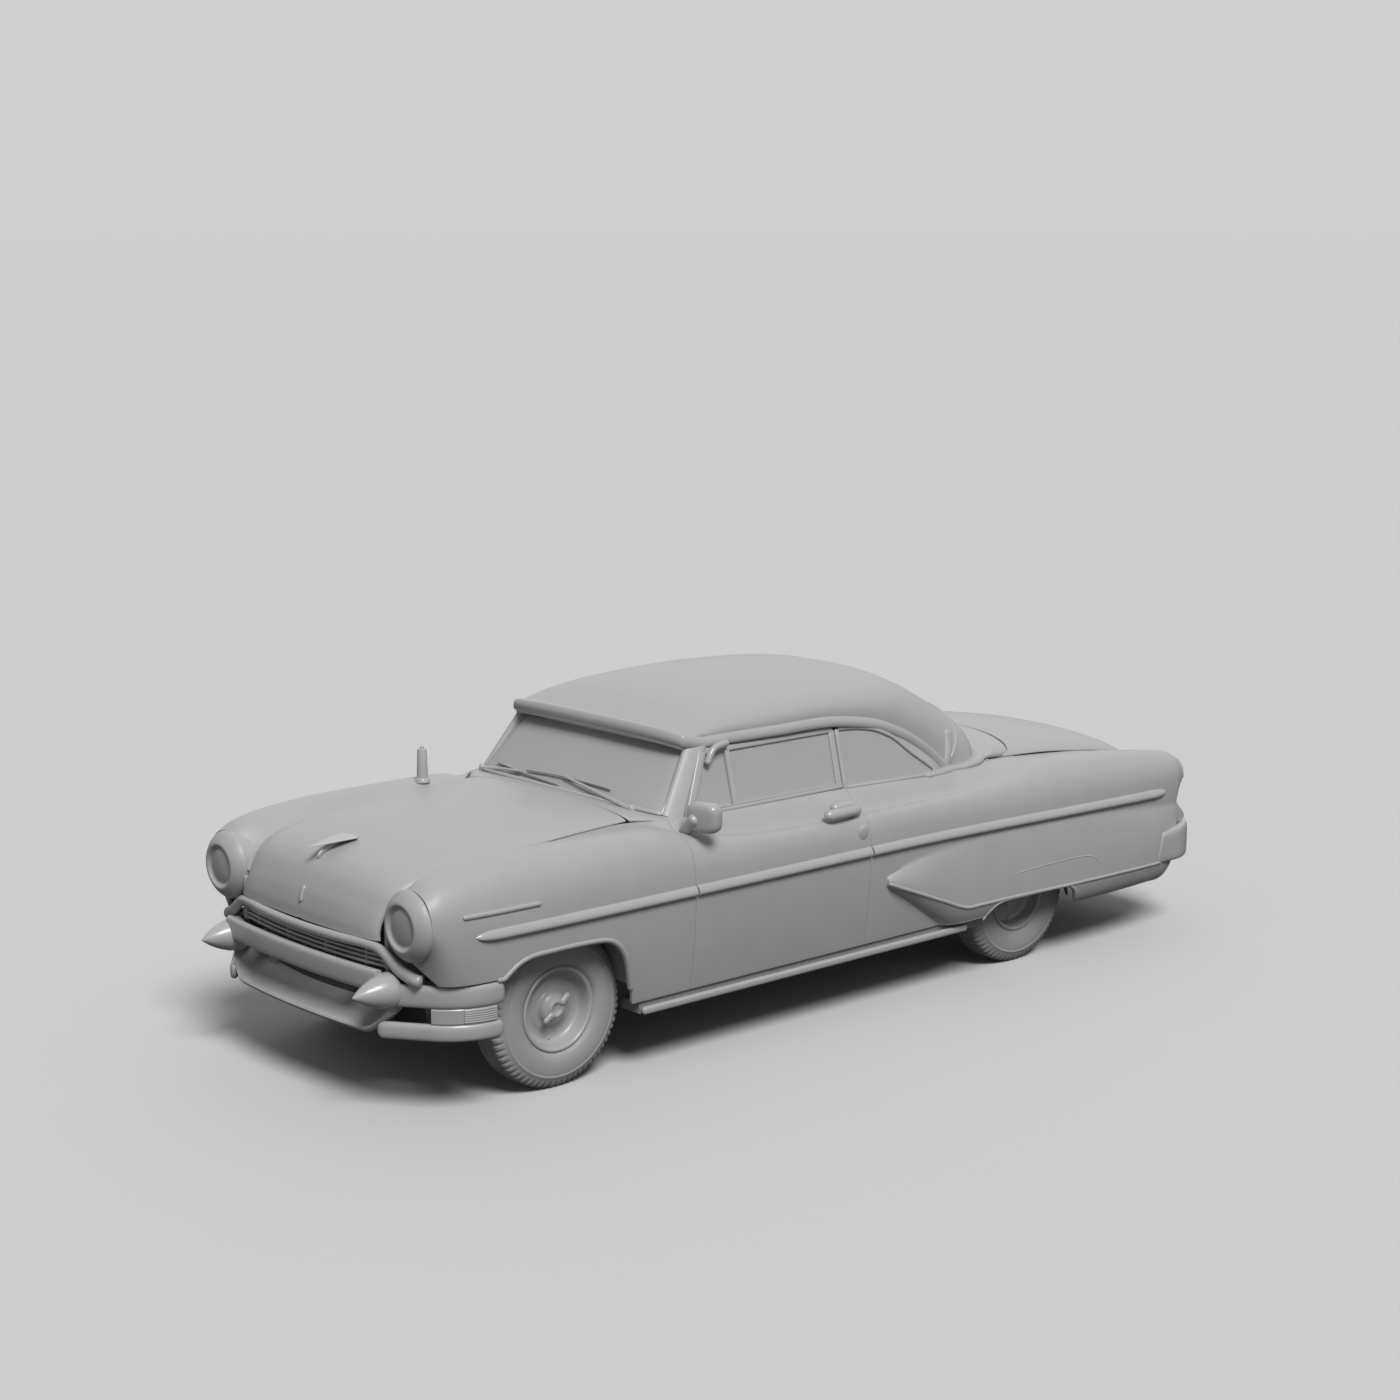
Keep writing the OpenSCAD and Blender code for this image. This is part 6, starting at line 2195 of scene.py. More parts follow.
    def apron(self) -> Piece:
        """The scoop under the blade: a rolled lip, a floor rising to the back, and upturned ends.

        Returns:
            The new piece.
        """
        profile = [
            (2440, 512), (2500, 478), (2540, 452), (2575, 428), (2600, 411), (2617, 402), (2628, 397),
            (2636, 391), (2640, 382), (2637, 373), (2629, 367), (2616, 364), (2590, 366), (2560, 384),
            (2500, 430), (2440, 470),
        ]
        rows = []
        for y in np.concatenate([
            np.linspace(-634, -470, 20), np.linspace(-450, 450, 31), np.linspace(470, 634, 20)
        ]):
            rise = 104.0 * max((abs(y) - 490.0) / 144.0, 0.0) ** 1.8
            back = 0.00011 * y * y + 26.0 * max((abs(y) - 520.0) / 114.0, 0.0) ** 2
            rows.append([(x - back, y, z + rise) for x, z in profile])
        return pulled("bumper_apron", np.array(rows), around=True, solid=True)

    def bullet(self) -> Piece:
        """A pointed bumper bullet.

        Returns:
            The new piece.
        """
        profile = [(0, -60), (62, -60), (71, -58), (78, -52), (81, -45), (self.bullet_r, -36)]
        steps = np.linspace(0.04, 1.0, 26)
        profile += [(self.bullet_r * max(1.0 - s**1.75, 0.0) ** 0.92, -36 + 196 * s) for s in steps]
        return turned("bumper_bullet", profile, self.bullet_at, Axis.X, 72, False)

    def surround(self) -> Piece:
        """The deep headlamp surround with its rounded lip."""
        profile = [
            (130, 1), (163.5, 0.5), (163.2, 4), (161, 10), (157.5, 16.5), (152.5, 23.5), (146.5, 30.5),
            (140, 37), (133, 43), (126, 48.5), (119.5, 53), (113.5, 56.3), (108, 57.8), (103.5, 57.6),
            (99.8, 56), (97, 53.4), (94.6, 50), (91, 46.6), (87.4, 44.6), (85.6, 42), (85, 36), (85, 12),
            (118, 1),
        ]
        return turned("headlamp_surround", profile, CAR.pod, Axis.X, 96)

    def lens(self) -> Piece:
        """The domed lens with its bowl.

        Returns:
            The new piece.
        """
        profile = [(0, -40), (44, -30), (self.lens_r, 12)]
        turns = np.radians(np.linspace(0, 90, 20))
        profile += [(self.lens_r * math.cos(a), 38 + 17 * math.sin(a)) for a in turns]
        return turned("headlamp_lens", profile, CAR.pod, Axis.X, 72, False)

    def lens_ring(self) -> Piece:
        """The bright ring round the lens.

        Returns:
            The new piece.
        """
        a = np.radians(np.linspace(0, 360, 13)[:-1])
        section = [(self.lens_r + 3 * math.cos(t), 41 + 4 * math.sin(t)) for t in a]
        return turned("headlamp_ring", section, CAR.pod, Axis.X, 72)

    def parking_lamp(self) -> Piece:
        """The wrapped lamp between the bumper's wing and its lower bar: plain inside, ribbed level outside.

        Returns:
            The new piece.
        """
        cx, cy, r = self.corner
        low, high = self.lamp_low, self.lamp_high
        heights = np.concatenate([[low], np.linspace(446, 508, 43), [high]])
        plain, ribbed = np.linspace(self.turn + 0.4, 61.0, 40), np.linspace(62.4, 89.6, 40)
        rows = []
        for a in np.concatenate([plain, [61.2, 61.8, 62.0], ribbed]):
            turn = math.radians(a)
            groove = -3.0 if 61.1 < a < 61.9 else 0.0
            profile = [(0.0, low)]
            for z in heights:
                edge = min(z - low + 1.0, high + 1.0 - z, 6.0) / 6.0
                rib = 1.8 * abs(math.sin(math.radians((z - 446.0) / 62.0 * 180.0 * 6.0))) if a > 62.2 else 0.0
                profile.append((22.0 + 6.0 * math.sqrt(edge) + rib + groove, z))
            profile.append((0.0, high))
            c, s = math.cos(turn), math.sin(turn)
            rows.append([(cx + (r - 34 + d) * c, cy + (r - 34 + d) * s, z) for d, z in profile])
        return pulled("parking_lens", np.array(rows)[::-1], around=True, solid=True)

    def ornament(self) -> Piece:
        """The plain delta on the hood and the plain bar on its nose.

        Returns:
            The new piece.
        """
        rows = []
        for t in np.linspace(0.0, 1.0, 24):
            x = 2303 + 248 * t
            half = 74 * (1 - t) ** 0.8 * (0.35 + 0.65 * min(1.0, (t + 0.02) / 0.12)) + 1.5
            z = 1119 - 6 * t - 6 * t * t
            thick = 10 * (1 - t) ** 0.4 + 1.5
            ring = oval(2 * half, thick, 20)
            rows.append([(x, p, z + q + 10 * (abs(p) / 74) ** 1.5) for p, q in ring])
        wing = pulled("ornament_wing", np.array(rows), around=True, solid=True)
        keel = smooth_path([(2330, 0, 1112), (2400, 0, 1106), (2470, 0, 1078), (2500, 0, 1052)], 6)
        stem = bar(
            "ornament_keel", keel, oval(16, 30, 14), (0.5, 0, 0.86), taper=10, scale=lambda t: 1.0 - 0.35 * t
        )
        front = HOOD.grid(np.linspace(5.0, 7.0, 80), 121, *HOOD_CREASE)[::-1, 60]
        spots = [
            (float(np.interp(z, front[:, 2], front[:, 0])) + 3.0, 0.0, z) for z in np.linspace(862, 936, 9)
        ]
        nose = bar("nose_bar", np.array(spots), oval(24, 16, 16), (1.0, 0.0, 0.25), taper=12)
        return joined("hood_ornament", [wing, stem, nose])

    def valance(self) -> Piece:
        """The panel behind the bumper that closes the car's front under the grille, near black as painted
        shade in the slot behind the blade.

        Returns:
            The new piece.
        """
        y = np.linspace(-700, 700, 41)
        rows = []
        for z, x0 in ((640, 770), (590, 762), (520, 752), (450, 748), (400, 752)):
            rows.append(np.stack([xf(x0) - 0.00018 * y * y, -y, np.full_like(y, z)], axis=1))
        return thickened(pulled("front_valance", np.array(rows)), 3.0)


@dataclass
class RearEnd:
    """Rear bumper, blank plate and trunk handle."""

    tail_x: float = -CAR.length / 2 + 2
    corner_r: float = 250.0
    bar_z: float = 482.0
    guard_y: float = 410.0
    lean: float = 0.32
    tail_rise: float = 0.022

    def build(self) -> None:
        """Make every part of the rear."""
        fitted(self.bumper(), Finishes.BRIGHT, replaces=("rear_bumper",))
        fitted(self.plate(), Finishes.TRIM)
        fitted(self.trunk_handle(), Finishes.BRIGHT, "trunk_lid")

    def bumper(self) -> Piece:
        """The rear bumper, wrapped round both corners, with its guards.

        Returns:
            The new piece.
        """
        r, x0, level = self.corner_r, self.tail_x, self.bar_z
        cx, cy = x0 + r, CAR.half_w - r
        half = [(x, CAR.half_w - 20, level) for x in np.linspace(-2352, cx, 8)]
        out = [(0.0, 1.0, 0.0)] * 8
        for a in np.radians(np.linspace(95, 178, 20)):
            half.append((cx + (r - 20) * math.cos(a), cy + (r - 20) * math.sin(a), level))
            out.append((math.cos(a), math.sin(a), 0.0))
        for y in np.linspace(cy, 0, 16):
            half.append((x0 + 22, y, level))
            out.append((-1.0, 0.0, 0.0))
        path = np.array(half + [(x, -y, z) for x, y, z in half[-2::-1]])
        ways = np.array(out + [(x, -y, z) for x, y, z in out[-2::-1]])
        pieces = [self.leaned(bar("rear_bar", path, oval(172, 52, 40, 4.0), ways, taper=12))]
        for side in (1, -1):
            stops = ((14, 392), (4, 430), (2, 470), (4, 520), (14, 556))
            guard = smooth_path([(x0 + back, self.guard_y * side, z) for back, z in stops], 5)
            pieces.append(bar(f"rear_guard_{side}", guard, oval(78, 46, 24, 2.6), (-1, 0, 0), taper=24))
            low, high = (376, 438) if side > 0 else (-438, -376)
            pieces.append(block(f"rear_iron_{side}", (x0 + 38, low, 442), (xr(-1263), high, 498), 6))
        return joined("rear_bumper_bar", pieces)

    def leaned(self, obj: Piece) -> Piece:
        """Lean the front ends of the wrapped bar, so its lower corner reaches further forward.

        Args:
            obj: The bar.

        Returns:
            The bar.
        """
        co = places_of(obj)
        level = self.bar_z / 1000.0
        co[:, 0] -= self.lean * (co[:, 2] - level) * ramp(-2.56, -2.40, co[:, 0])
        co[:, 2] += self.tail_rise * ramp(-2.40, -2.60, co[:, 0]) * (co[:, 2] > level)
        return put_places(obj, co)

    def plate(self) -> Piece:
        """The blank plate in the bumper."""
        return block("blank_plate", (self.tail_x - 6, -152, 427), (self.tail_x, 152, 537), 2)

    def trunk_handle(self) -> Piece:
        """The handle on the trunk lid and its foot.

        Returns:
            The new piece.
        """
        x = xr(-1304)
        bow = [(x + 2, -90, 742), (x - 14, -50, 740), (x - 18, 0, 740), (x - 14, 50, 740), (x + 2, 90, 742)]
        grip = bar("trunk_grip", smooth_path(bow, 6), oval(26, 16, 16), (-1, 0, 0.1), taper=12)
        foot = block("trunk_foot", (x - 4, -40, 752), (x + 14, 40, 792), 5)
        return joined("trunk_handle", [grip, foot])


@dataclass
class Trim:
    """Side mouldings, rocker bars, wipers, aerial and the small fittings outside."""

    shut: float = 5.0
    run_out: float = 120.0
    rocker_at: Pair = (924.0, 304.0)
    bar_from: float = 1966.0
    bar_to: float = 2376.0
    bar_z: float = 934.0
    wiper_lift: Triple = (9.0, 0.0, 9.0)

    def build(self) -> None:
        """Make the outside trim."""
        front = spear("fender_spear", CAR.door_front + self.shut, xf(556), 0.0, self.run_out)
        fitted_pair(front, Finishes.BRIGHT, replaces=("body_mouldings",))
        rear = spear("quarter_spear", xr(-1077), CAR.door_rear - self.shut, self.run_out, 0.0)
        fitted_pair(rear, Finishes.BRIGHT)
        fitted_pair(self.rocker(), Finishes.BRIGHT)
        fitted_pair(self.fender_bar(), Finishes.BRIGHT)
        fitted(self.wipers(), Finishes.BRIGHT, replaces=("wipers",))
        fitted(self.aerial(), Finishes.BRIGHT, replaces=("aerial",))
        fitted_pair(self.pillar_rod(), Finishes.BRIGHT)

    def rocker(self) -> Piece:
        """The rounded bar along the sill."""
        path = np.array([(x, *self.rocker_at) for x in np.linspace(xr(520), xf(-404), 30)])
        return bar("rocker_bar", path, oval(38, 27, 22, 2.6), (0, 1, 0), taper=16)

    def fender_bar(self) -> Piece:
        """The plain bar on the fender's flank.

        Returns:
            The new piece.
        """
        path = []
        for x in np.linspace(self.bar_from, self.bar_to, 34):
            row = SIDE.row(x, np.linspace(1, 2, 120))
            path.append((x, float(np.interp(self.bar_z, row[:, 2], row[:, 1])) + 3, self.bar_z))
        return bar("fender_bar", np.array(path), oval(22, 16, 16), (0, 1, 0.2), taper=11)

    def wipers(self) -> Piece:
        """Two wipers parked along the foot of the windshield, each an arm from its pivot and a blade.

        Returns:
            The new piece.
        """
        pieces = []
        lift, way = np.array(self.wiper_lift), (0.8, 0, 0.6)
        cap = [(0, 26), (8, 25), (13, 21), (16, 14), (17, 4), (18, -18), (0, -18)]
        for k, stops in enumerate((
            ((1094, 548, 1150), (1068, 18, 1217), (1071, -281, 1205), (1060, 359, 1210)),
            ((1052, -676, 1150), (1083, -292, 1192), (1045, -553, 1199), (1103, 13, 1181)),
        )):
            pivot, joint, inner, outer = (np.array(stop, float) for stop in stops)
            a, b = pivot + lift, joint + lift * 1.8
            arm = smooth_path([tuple(a), tuple((a + b) / 2 + np.array([10.0, 0.0, 6.0])), tuple(b)], 8)
            pieces.append(
                bar(f"wiper_arm_{k}", arm, oval(22, 15, 14), way, taper=9, scale=lambda s: 1.1 - 0.62 * s)
            )
            blade = smooth_path([tuple(p + lift) for p in (inner, joint, outer)], 8)
            pieces.append(bar(f"wiper_blade_{k}", blade, oval(8, 14, 12), way, taper=5))
            seat = tuple(pivot + np.array([4.0, 0.0, 4.0]))
            pieces.append(turned(f"wiper_pivot_{k}", cap, seat, Axis.Z, 28, False))
        return joined("wiper_pair", pieces)

    def aerial(self) -> Piece:
        """The stub of the aerial on the right fender."""
        profile = [
            (0, 174), (8, 172), (11, 167), (11.5, 161), (21, 158), (23.5, 150), (28, 14), (34, 9), (38, 3),
            (39, -10), (0, -10),
        ]
        return turned("aerial_stub", profile, (xf(-356), -712, CAR.belt_z), Axis.Z, 40, False)

    def pillar_rod(self) -> Piece:
        """The bent rod at the head of the windshield pillar."""
        path = smooth_path(
            [(618, 698, 1438), (672, 704, 1434), (712, 708, 1426), (740, 712, 1402), (772, 718, 1352)], 6
        )
        return bar("pillar_rod", path, oval(34, 34, 18), (0, 1, 0), taper=16)


# Wheels


@dataclass
class Wheel:
    """A steel wheel with its tyre."""

    name: str
    place: Triple
    body: str
    side: int
    tread: int = 66
    bead_share: float = 0.74
    notch: float = 7.0

    def build(self) -> None:
        """Make the tyre, the rim with its boss, and the small parts."""
        tyre, rim = self.tyre(), self.rim()
        if self.side < 0:
            for piece in (tyre, rim):
                self.flip(piece)
        fitted(tyre, Finishes.RUBBER, self.body, (f"tyre_{self.name}",), smooth=50)
        fitted(rim, Finishes.RIM, self.body, (f"wheel_{self.name}",))

    def flip(self, piece: Piece) -> None:
        """Turn a left wheel's piece about the car's height, so it faces right."""
        placed(piece, 180.0, "Z", self.place)

    def tyre(self) -> Piece:
        """The tyre, with tread blocks notched into its shoulders.

        Returns:
            The new piece.
        """
        w, r = CAR.tyre_w / 2, CAR.tyre_r
        bead = CAR.rim_r - 8
        shares = [
            (bead, self.bead_share), (CAR.rim_r + 6, 0.76), (CAR.rim_r + 10, 0.82), (CAR.rim_r + 14, 0.86),
            (214, 0.90), (222, 0.94), (236, 0.975), (252, 0.995), (270, 1.0), (288, 0.99), (302, 0.965),
            (308, 0.95), (311, 0.965), (316, 0.965), (319, 0.935), (330, 0.895), (342, 0.845), (352, 0.79),
            (360, 0.73), (366, 0.66), (369, 0.58), (370, 0.5), (370, 0.44), (365, 0.43), (365, 0.38),
            (370, 0.37), (370, 0.20), (365, 0.19), (365, 0.14), (370, 0.13),
        ]
        outer = [(radius, w * share) for radius, share in shares]
        profile = outer + [(a, -b) for a, b in reversed(outer)]
        obj = turned(f"tyre_{self.name}_rubber", profile, self.place, Axis.Y, self.tread * 6)
        co = places_of(obj) / MM - np.array(self.place)
        radius = np.hypot(co[:, 0], co[:, 2])
        turn = np.arctan2(co[:, 2], co[:, 0])
        tooth = np.round(turn / (2 * math.pi) * self.tread * 6).astype(int) % 6
        cut = ((tooth == 0) | (tooth == 1)) & (radius > 338) & (abs(co[:, 1]) > w * 0.42)
        drop = np.where(cut, self.notch * np.clip((radius - 334) / 16, 0, 1), 0.0)
        co[:, 0] -= np.cos(turn) * drop
        co[:, 2] -= np.sin(turn) * drop
        co[:, 1] -= np.sign(co[:, 1]) * drop * 0.35
        return put_places(obj, (co + np.array(self.place)) * MM)

    def rim(self) -> Piece:
        """The rim, its dished disc and the boss with two knobs.

        Returns:
            The new piece.
        """
        w = CAR.tyre_w / 2
        lip = w * self.bead_share
        profile = [
            (172, -75), (172, -81), (187.5, -81), (187.5, lip + 0.5), (199, lip + 0.5), (200.5, lip + 3),
            (200, lip + 7), (197, lip + 10.5), (192, lip + 12), (187, lip + 11), (182, lip + 6),
            (178, lip - 4), (174, lip - 16), (170, lip - 30), (165, 32), (160, 25), (153, 21), (146, 19.5),
            (130, 18.5), (122, 19.5), (116, 22), (110, 25.5), (104, 28), (96, 30), (88, 32), (82, 35),
            (78, 40), (75, 48), (70, 56), (62, 62), (53, 66), (46, 69), (41, 73), (37, 75.5), (32, 76),
            (27, 74), (22, 70), (14, 67.5), (0, 67),
        ]
        back = [(0, 14), (36, 14), (36, -8), (60, -8), (60, 4), (160, 4), (168, -4)]
        disc = turned(f"rim_{self.name}_disc", profile[::-1], self.place, Axis.Y, 96, False)
        inner = turned(f"rim_{self.name}_back", [(172, -75)] + back[::-1], self.place, Axis.Y, 72, False)
        x, y, z = self.place
        pieces = [disc, inner]
        for k, (turn, length, size) in enumerate(((142, 62, 1.0), (322, 58, 0.86))):
            c, s = math.cos(math.radians(turn)), math.sin(math.radians(turn))
            runs = np.linspace(26, 34 + length, 12)
            path = np.array([(x + c * t, y + 70 + 2 * math.sin(t / 62 * math.pi), z + s * t) for t in runs])
            pieces.append(
                bar(f"rim_{self.name}_knob_{k}", path, oval(36 * size, 26 * size, 20), (0, 1, 0), taper=17)
            )
        stem = [(0, 10), (3, 10), (4.5, 4), (7, 2), (9, -2), (0, -2)]
        valve = (x + 10, y + 20, z - 148)
        pieces.append(turned(f"rim_{self.name}_valve", stem, valve, Axis.Y, 20, False))
        return joined(f"rim_{self.name}", pieces)


# Cabin


@dataclass
class Cabin:
    """Seats, dashboard, steering wheel and floor covering."""

    channels: int = 11
    channel_depth: float = 7.0
    crown: float = 8.0
    end_round: float = 46.0
    cord: float = 11.0
    cord_in: float = 15.0
    dash_half: float = 720.0
    wheel_r: float = 202.0
    column_foot: Triple = (1060.0, 390.0, 720.0)
    column_head: Triple = (640.0, 390.0, 905.0)

    def build(self) -> None:
        """Make the cabin's parts."""
        for name, node, places in (
            (
                "front", "front_seat",
                ((xf(-1440), 650, 500, 150, 660.0, 4.0), (xf(-1795), 870, 130, 490, 660.0, 20.0)),
            ),
            (
                "rear", "rear_seat",
                ((xr(740), 640, 470, 150, 620.0, 4.0), (xr(440), 870, 130, 440, 620.0, 24.0)),
            ),
        ):
            for k, (x, z, long, high, half, lean) in enumerate(places):
                kind = "cushion" if k == 0 else "backrest"
                seat = self.cushion(f"{name}_{kind}", x, z, long, high, half, lean)
                fitted(seat, Finishes.CLOTH, replaces=(node,), smooth=60)
                fitted(self.piping(f"{name}_{kind}_piping", x, z, long, high, half, lean), Finishes.PIPING)
        fitted(self.seat_bases(), Finishes.TRIM)
        fitted(self.dash(), Finishes.TRIM, replaces=("dashboard",))
        fitted(self.dials(), Finishes.BRIGHT)
        fitted(self.wheel(), Finishes.TRIM, "steering_wheel", ("steering_wheel",))
        fitted(self.carpet(), Finishes.CLOTH)

    @staticmethod
    def outline(
        x: float, z: float, long: float, high: float, lean: float, grow: float = 0.0, count: int = 48
    ) -> np.ndarray:
        """A rounded upright outline of a cushion, leaned back.

        Args:
            x: Place of its middle along the car.
            z: Height of its middle.
            long: Its size along the car.
            high: Its height.
            lean: How far it leans back, in degrees.
            grow: How much larger it is all round.
            count: Number of points.

        Returns:
            Its points.
        """
        ring = oval(long + 2 * grow, high + 2 * grow, count, 3.6)
        c, s = math.cos(math.radians(lean)), math.sin(math.radians(lean))
        return np.stack(
            [x + ring[:, 0] * c - ring[:, 1] * s, np.zeros(count), z + ring[:, 0] * s + ring[:, 1] * c],
            axis=1,
        )

    def cushion(
        self, name: str, x: float, z: float, long: float, high: float, half: float, lean: float
    ) -> Piece:
        """A crowned cushion with sewn channels across its width.

        Args:
            name: Name of the piece.
            x: Place of its middle along the car.
            z: Height of its middle.
            long: Its size along the car.
            high: Its height.
            half: Half its width.
            lean: How far it leans back, in degrees.

        Returns:
            The new piece.
        """
        rows = []
        thin = min(long, high)
        for y in np.concatenate([[-half], np.linspace(-half + 1, half - 1, 181), [half]]):
            edge = 1.0 - min((half - abs(y)) / self.end_round, 1.0)
            round_off = -0.34 * thin * (1.0 - math.sqrt(max(1.0 - edge**2, 0.0)))
            channel = abs(math.sin(math.pi * (y + half) / (2 * half) * self.channels))
            puff = self.channel_depth * (channel**0.5 - 1.0)
            crown = self.crown * (1.0 - (y / half) ** 2)
            ring = self.outline(x, z, long, high, lean)
            way = unit(ring - np.array([x, 0.0, z]))
            face = ring + way * (round_off + puff + crown - self.crown)
            face[:, 1] = y
            rows.append(face)
        return pulled(name, np.array(rows), around=True, solid=True)

    def piping(
        self, name: str, x: float, z: float, long: float, high: float, half: float, lean: float
    ) -> Piece:
        """The sewn cord round both ends of a cushion.

        Args:
            name: Name of the piece.
            x: Place of the cushion's middle along the car.
            z: Height of its middle.
            long: Its size along the car.
            high: Its height.
            half: Half its width.
            lean: How far it leans back, in degrees.

        Returns:
            The new piece.
        """
        pieces = []
        for side in (1, -1):
            ring = self.outline(x, z, long, high, lean, -7.0, 60)
            ring[:, 1] = side * (half - self.cord_in)
            out = unit(ring - np.array([x, side * (half - self.cord_in), z]))
            pieces.append(bar(f"{name}_{side}", ring, oval(self.cord, self.cord, 10), out, loop=True))
        return joined(name, pieces)

    def seat_bases(self) -> Piece:
        """Boxes under the seats.

        Returns:
            The new piece.
        """
        pieces = []
        for k, (x0, x1, z0, z1) in enumerate((
            (xf(-1690), xf(-1290), 414, 580), (xr(515), xr(900), 414, 570)
        )):
            for side in (1, -1):
                low, high = (150, 560) if side > 0 else (-560, -150)
                pieces.append(block(f"seat_base_{k}_{side}", (x0, low, z0), (x1, high, z1), 12))
        return joined("seat_bases", pieces)

    def dash(self) -> Piece:
        """The dashboard with its rounded brow, and the steering column.

        Returns:
            The new piece.
        """
        outline = smooth_path([
            (xf(-708), 0, 1070), (xf(-820), 0, 1078), (xf(-900), 0, 1066), (xf(-930), 0, 1036),
            (xf(-918), 0, 960), (xf(-880), 0, 862), (xf(-850), 0, 848), (xf(-836), 0, 868),
            (xf(-708), 0, 888), (xf(-706), 0, 980),
        ], 5)
        rows = []
        for y in np.linspace(-self.dash_half, self.dash_half, 25):
            ring = outline.copy()
            ring[:, 1] = y
            rows.append(ring)
        body = pulled("dash_body", np.array(rows), around=True, solid=True)
        path = np.array([(1058, 390, 721), (850, 390, 812), (668, 390, 893)])
        column = bar("steering_column", path, oval(58, 58, 24), (0, 1, 0))
        return joined("dash", [body, column])

    def dials(self) -> Piece:
        """Instrument rings, knobs and a bright strip on the dashboard, all without marks.

        Returns:
            The new piece.
        """
        dials = (
            (390, 985, 70), (540, 975, 42), (240, 975, 42), (-300, 975, 50), (0, 960, 22), (80, 960, 22),
            (-80, 960, 22),
        )
        pieces = []
        for k, (y, z, r) in enumerate(dials):
            x = xf(-921) - (z - 975) * 0.2
            profile = [(r, 16), (r, -6), (r - 5, -9), (r - 9, -6), (r - 10, 0), (0, 1)]
            pieces.append(turned(f"dial_{k}", profile, (x, y, z), Axis.X, 40, False))
        path = np.array([(xf(-927), y, 1018) for y in np.linspace(-700, 700, 31)])
        pieces.append(bar("dash_strip", path, oval(16, 10, 12), (-1, 0, 0), taper=10))
        return joined("dash_dials", pieces)

    def wheel(self) -> Piece:
        """The steering wheel: thin rim, two spokes and a horn button.

        Returns:
            The new piece.
        """
        foot, head = np.array(self.column_foot), np.array(self.column_head)
        along = (head - foot) / np.linalg.norm(head - foot)
        centre = head + along * 40
        up = np.cross(along, (0.0, 1.0, 0.0))
        a = np.radians(np.linspace(0, 360, 97)[:-1])
        r, across = self.wheel_r, np.array((0, 1, 0))
        ring = np.array([centre + r * (math.cos(t) * across + math.sin(t) * up) for t in a])
        pieces = [bar("steer_rim", ring, oval(25, 25, 16), (ring - centre) / r, loop=True)]
        for side in (1, -1):
            steps = np.linspace(0, 1, 10)
            spoke = np.array([
                head + along * (22 + 14 * t) + np.array((0, side * (20 + 176 * t), 0)) for t in steps
            ])
            pieces.append(bar(f"steer_spoke_{side}", spoke, oval(30, 12, 16), along, taper=5))
        hub = np.array([head + along * s for s in (-46, -20, 4, 8, 24, 34, 38)])
        sizes = [14, 14, 14, 40, 36, 26, 4]
        rows = []
        for p, r in zip(hub, sizes):
            t = np.radians(np.arange(0, 360, 10))
            rows.append([p + r * (math.cos(q) * across + math.sin(q) * up) for q in t])
        pieces.append(pulled("steer_hub", np.array(rows), around=True, solid=True))
        return joined("steering_rim", pieces)

    def carpet(self) -> Piece:
        """Carpet on both halves of the floor."""
        pieces = [
            block("carpet_left", (xr(500), 182, 411), (xf(-710), 770, 417), 2),
            block("carpet_right", (xr(500), -770, 411), (xf(-710), -182, 417), 2),
        ]
        return joined("carpet", pieces)


@dataclass
class Underbody:
    """The solids that show as they are, each with its finish."""

    frame: dict

    KEPT = {
        Finishes.UNDER: (
            "chassis_frame", "floor_pan", "sills", "drivetrain", "fuel_tank", "front_suspension", "rear_axle",
            "knuckle_left",
            "knuckle_right", "radiator",
        ),
        Finishes.RIM: ("engine", "exhaust"),
        Finishes.PAINT: ("tail_panel",),
    }

    def build(self) -> None:
        """Give every kept solid its finish."""
        for finish, names in self.KEPT.items():
            for name in names:
                obj = self.frame["nodes"][name]
                obj.data.materials.clear()
                obj.data.materials.append(finish.material())


# Studio


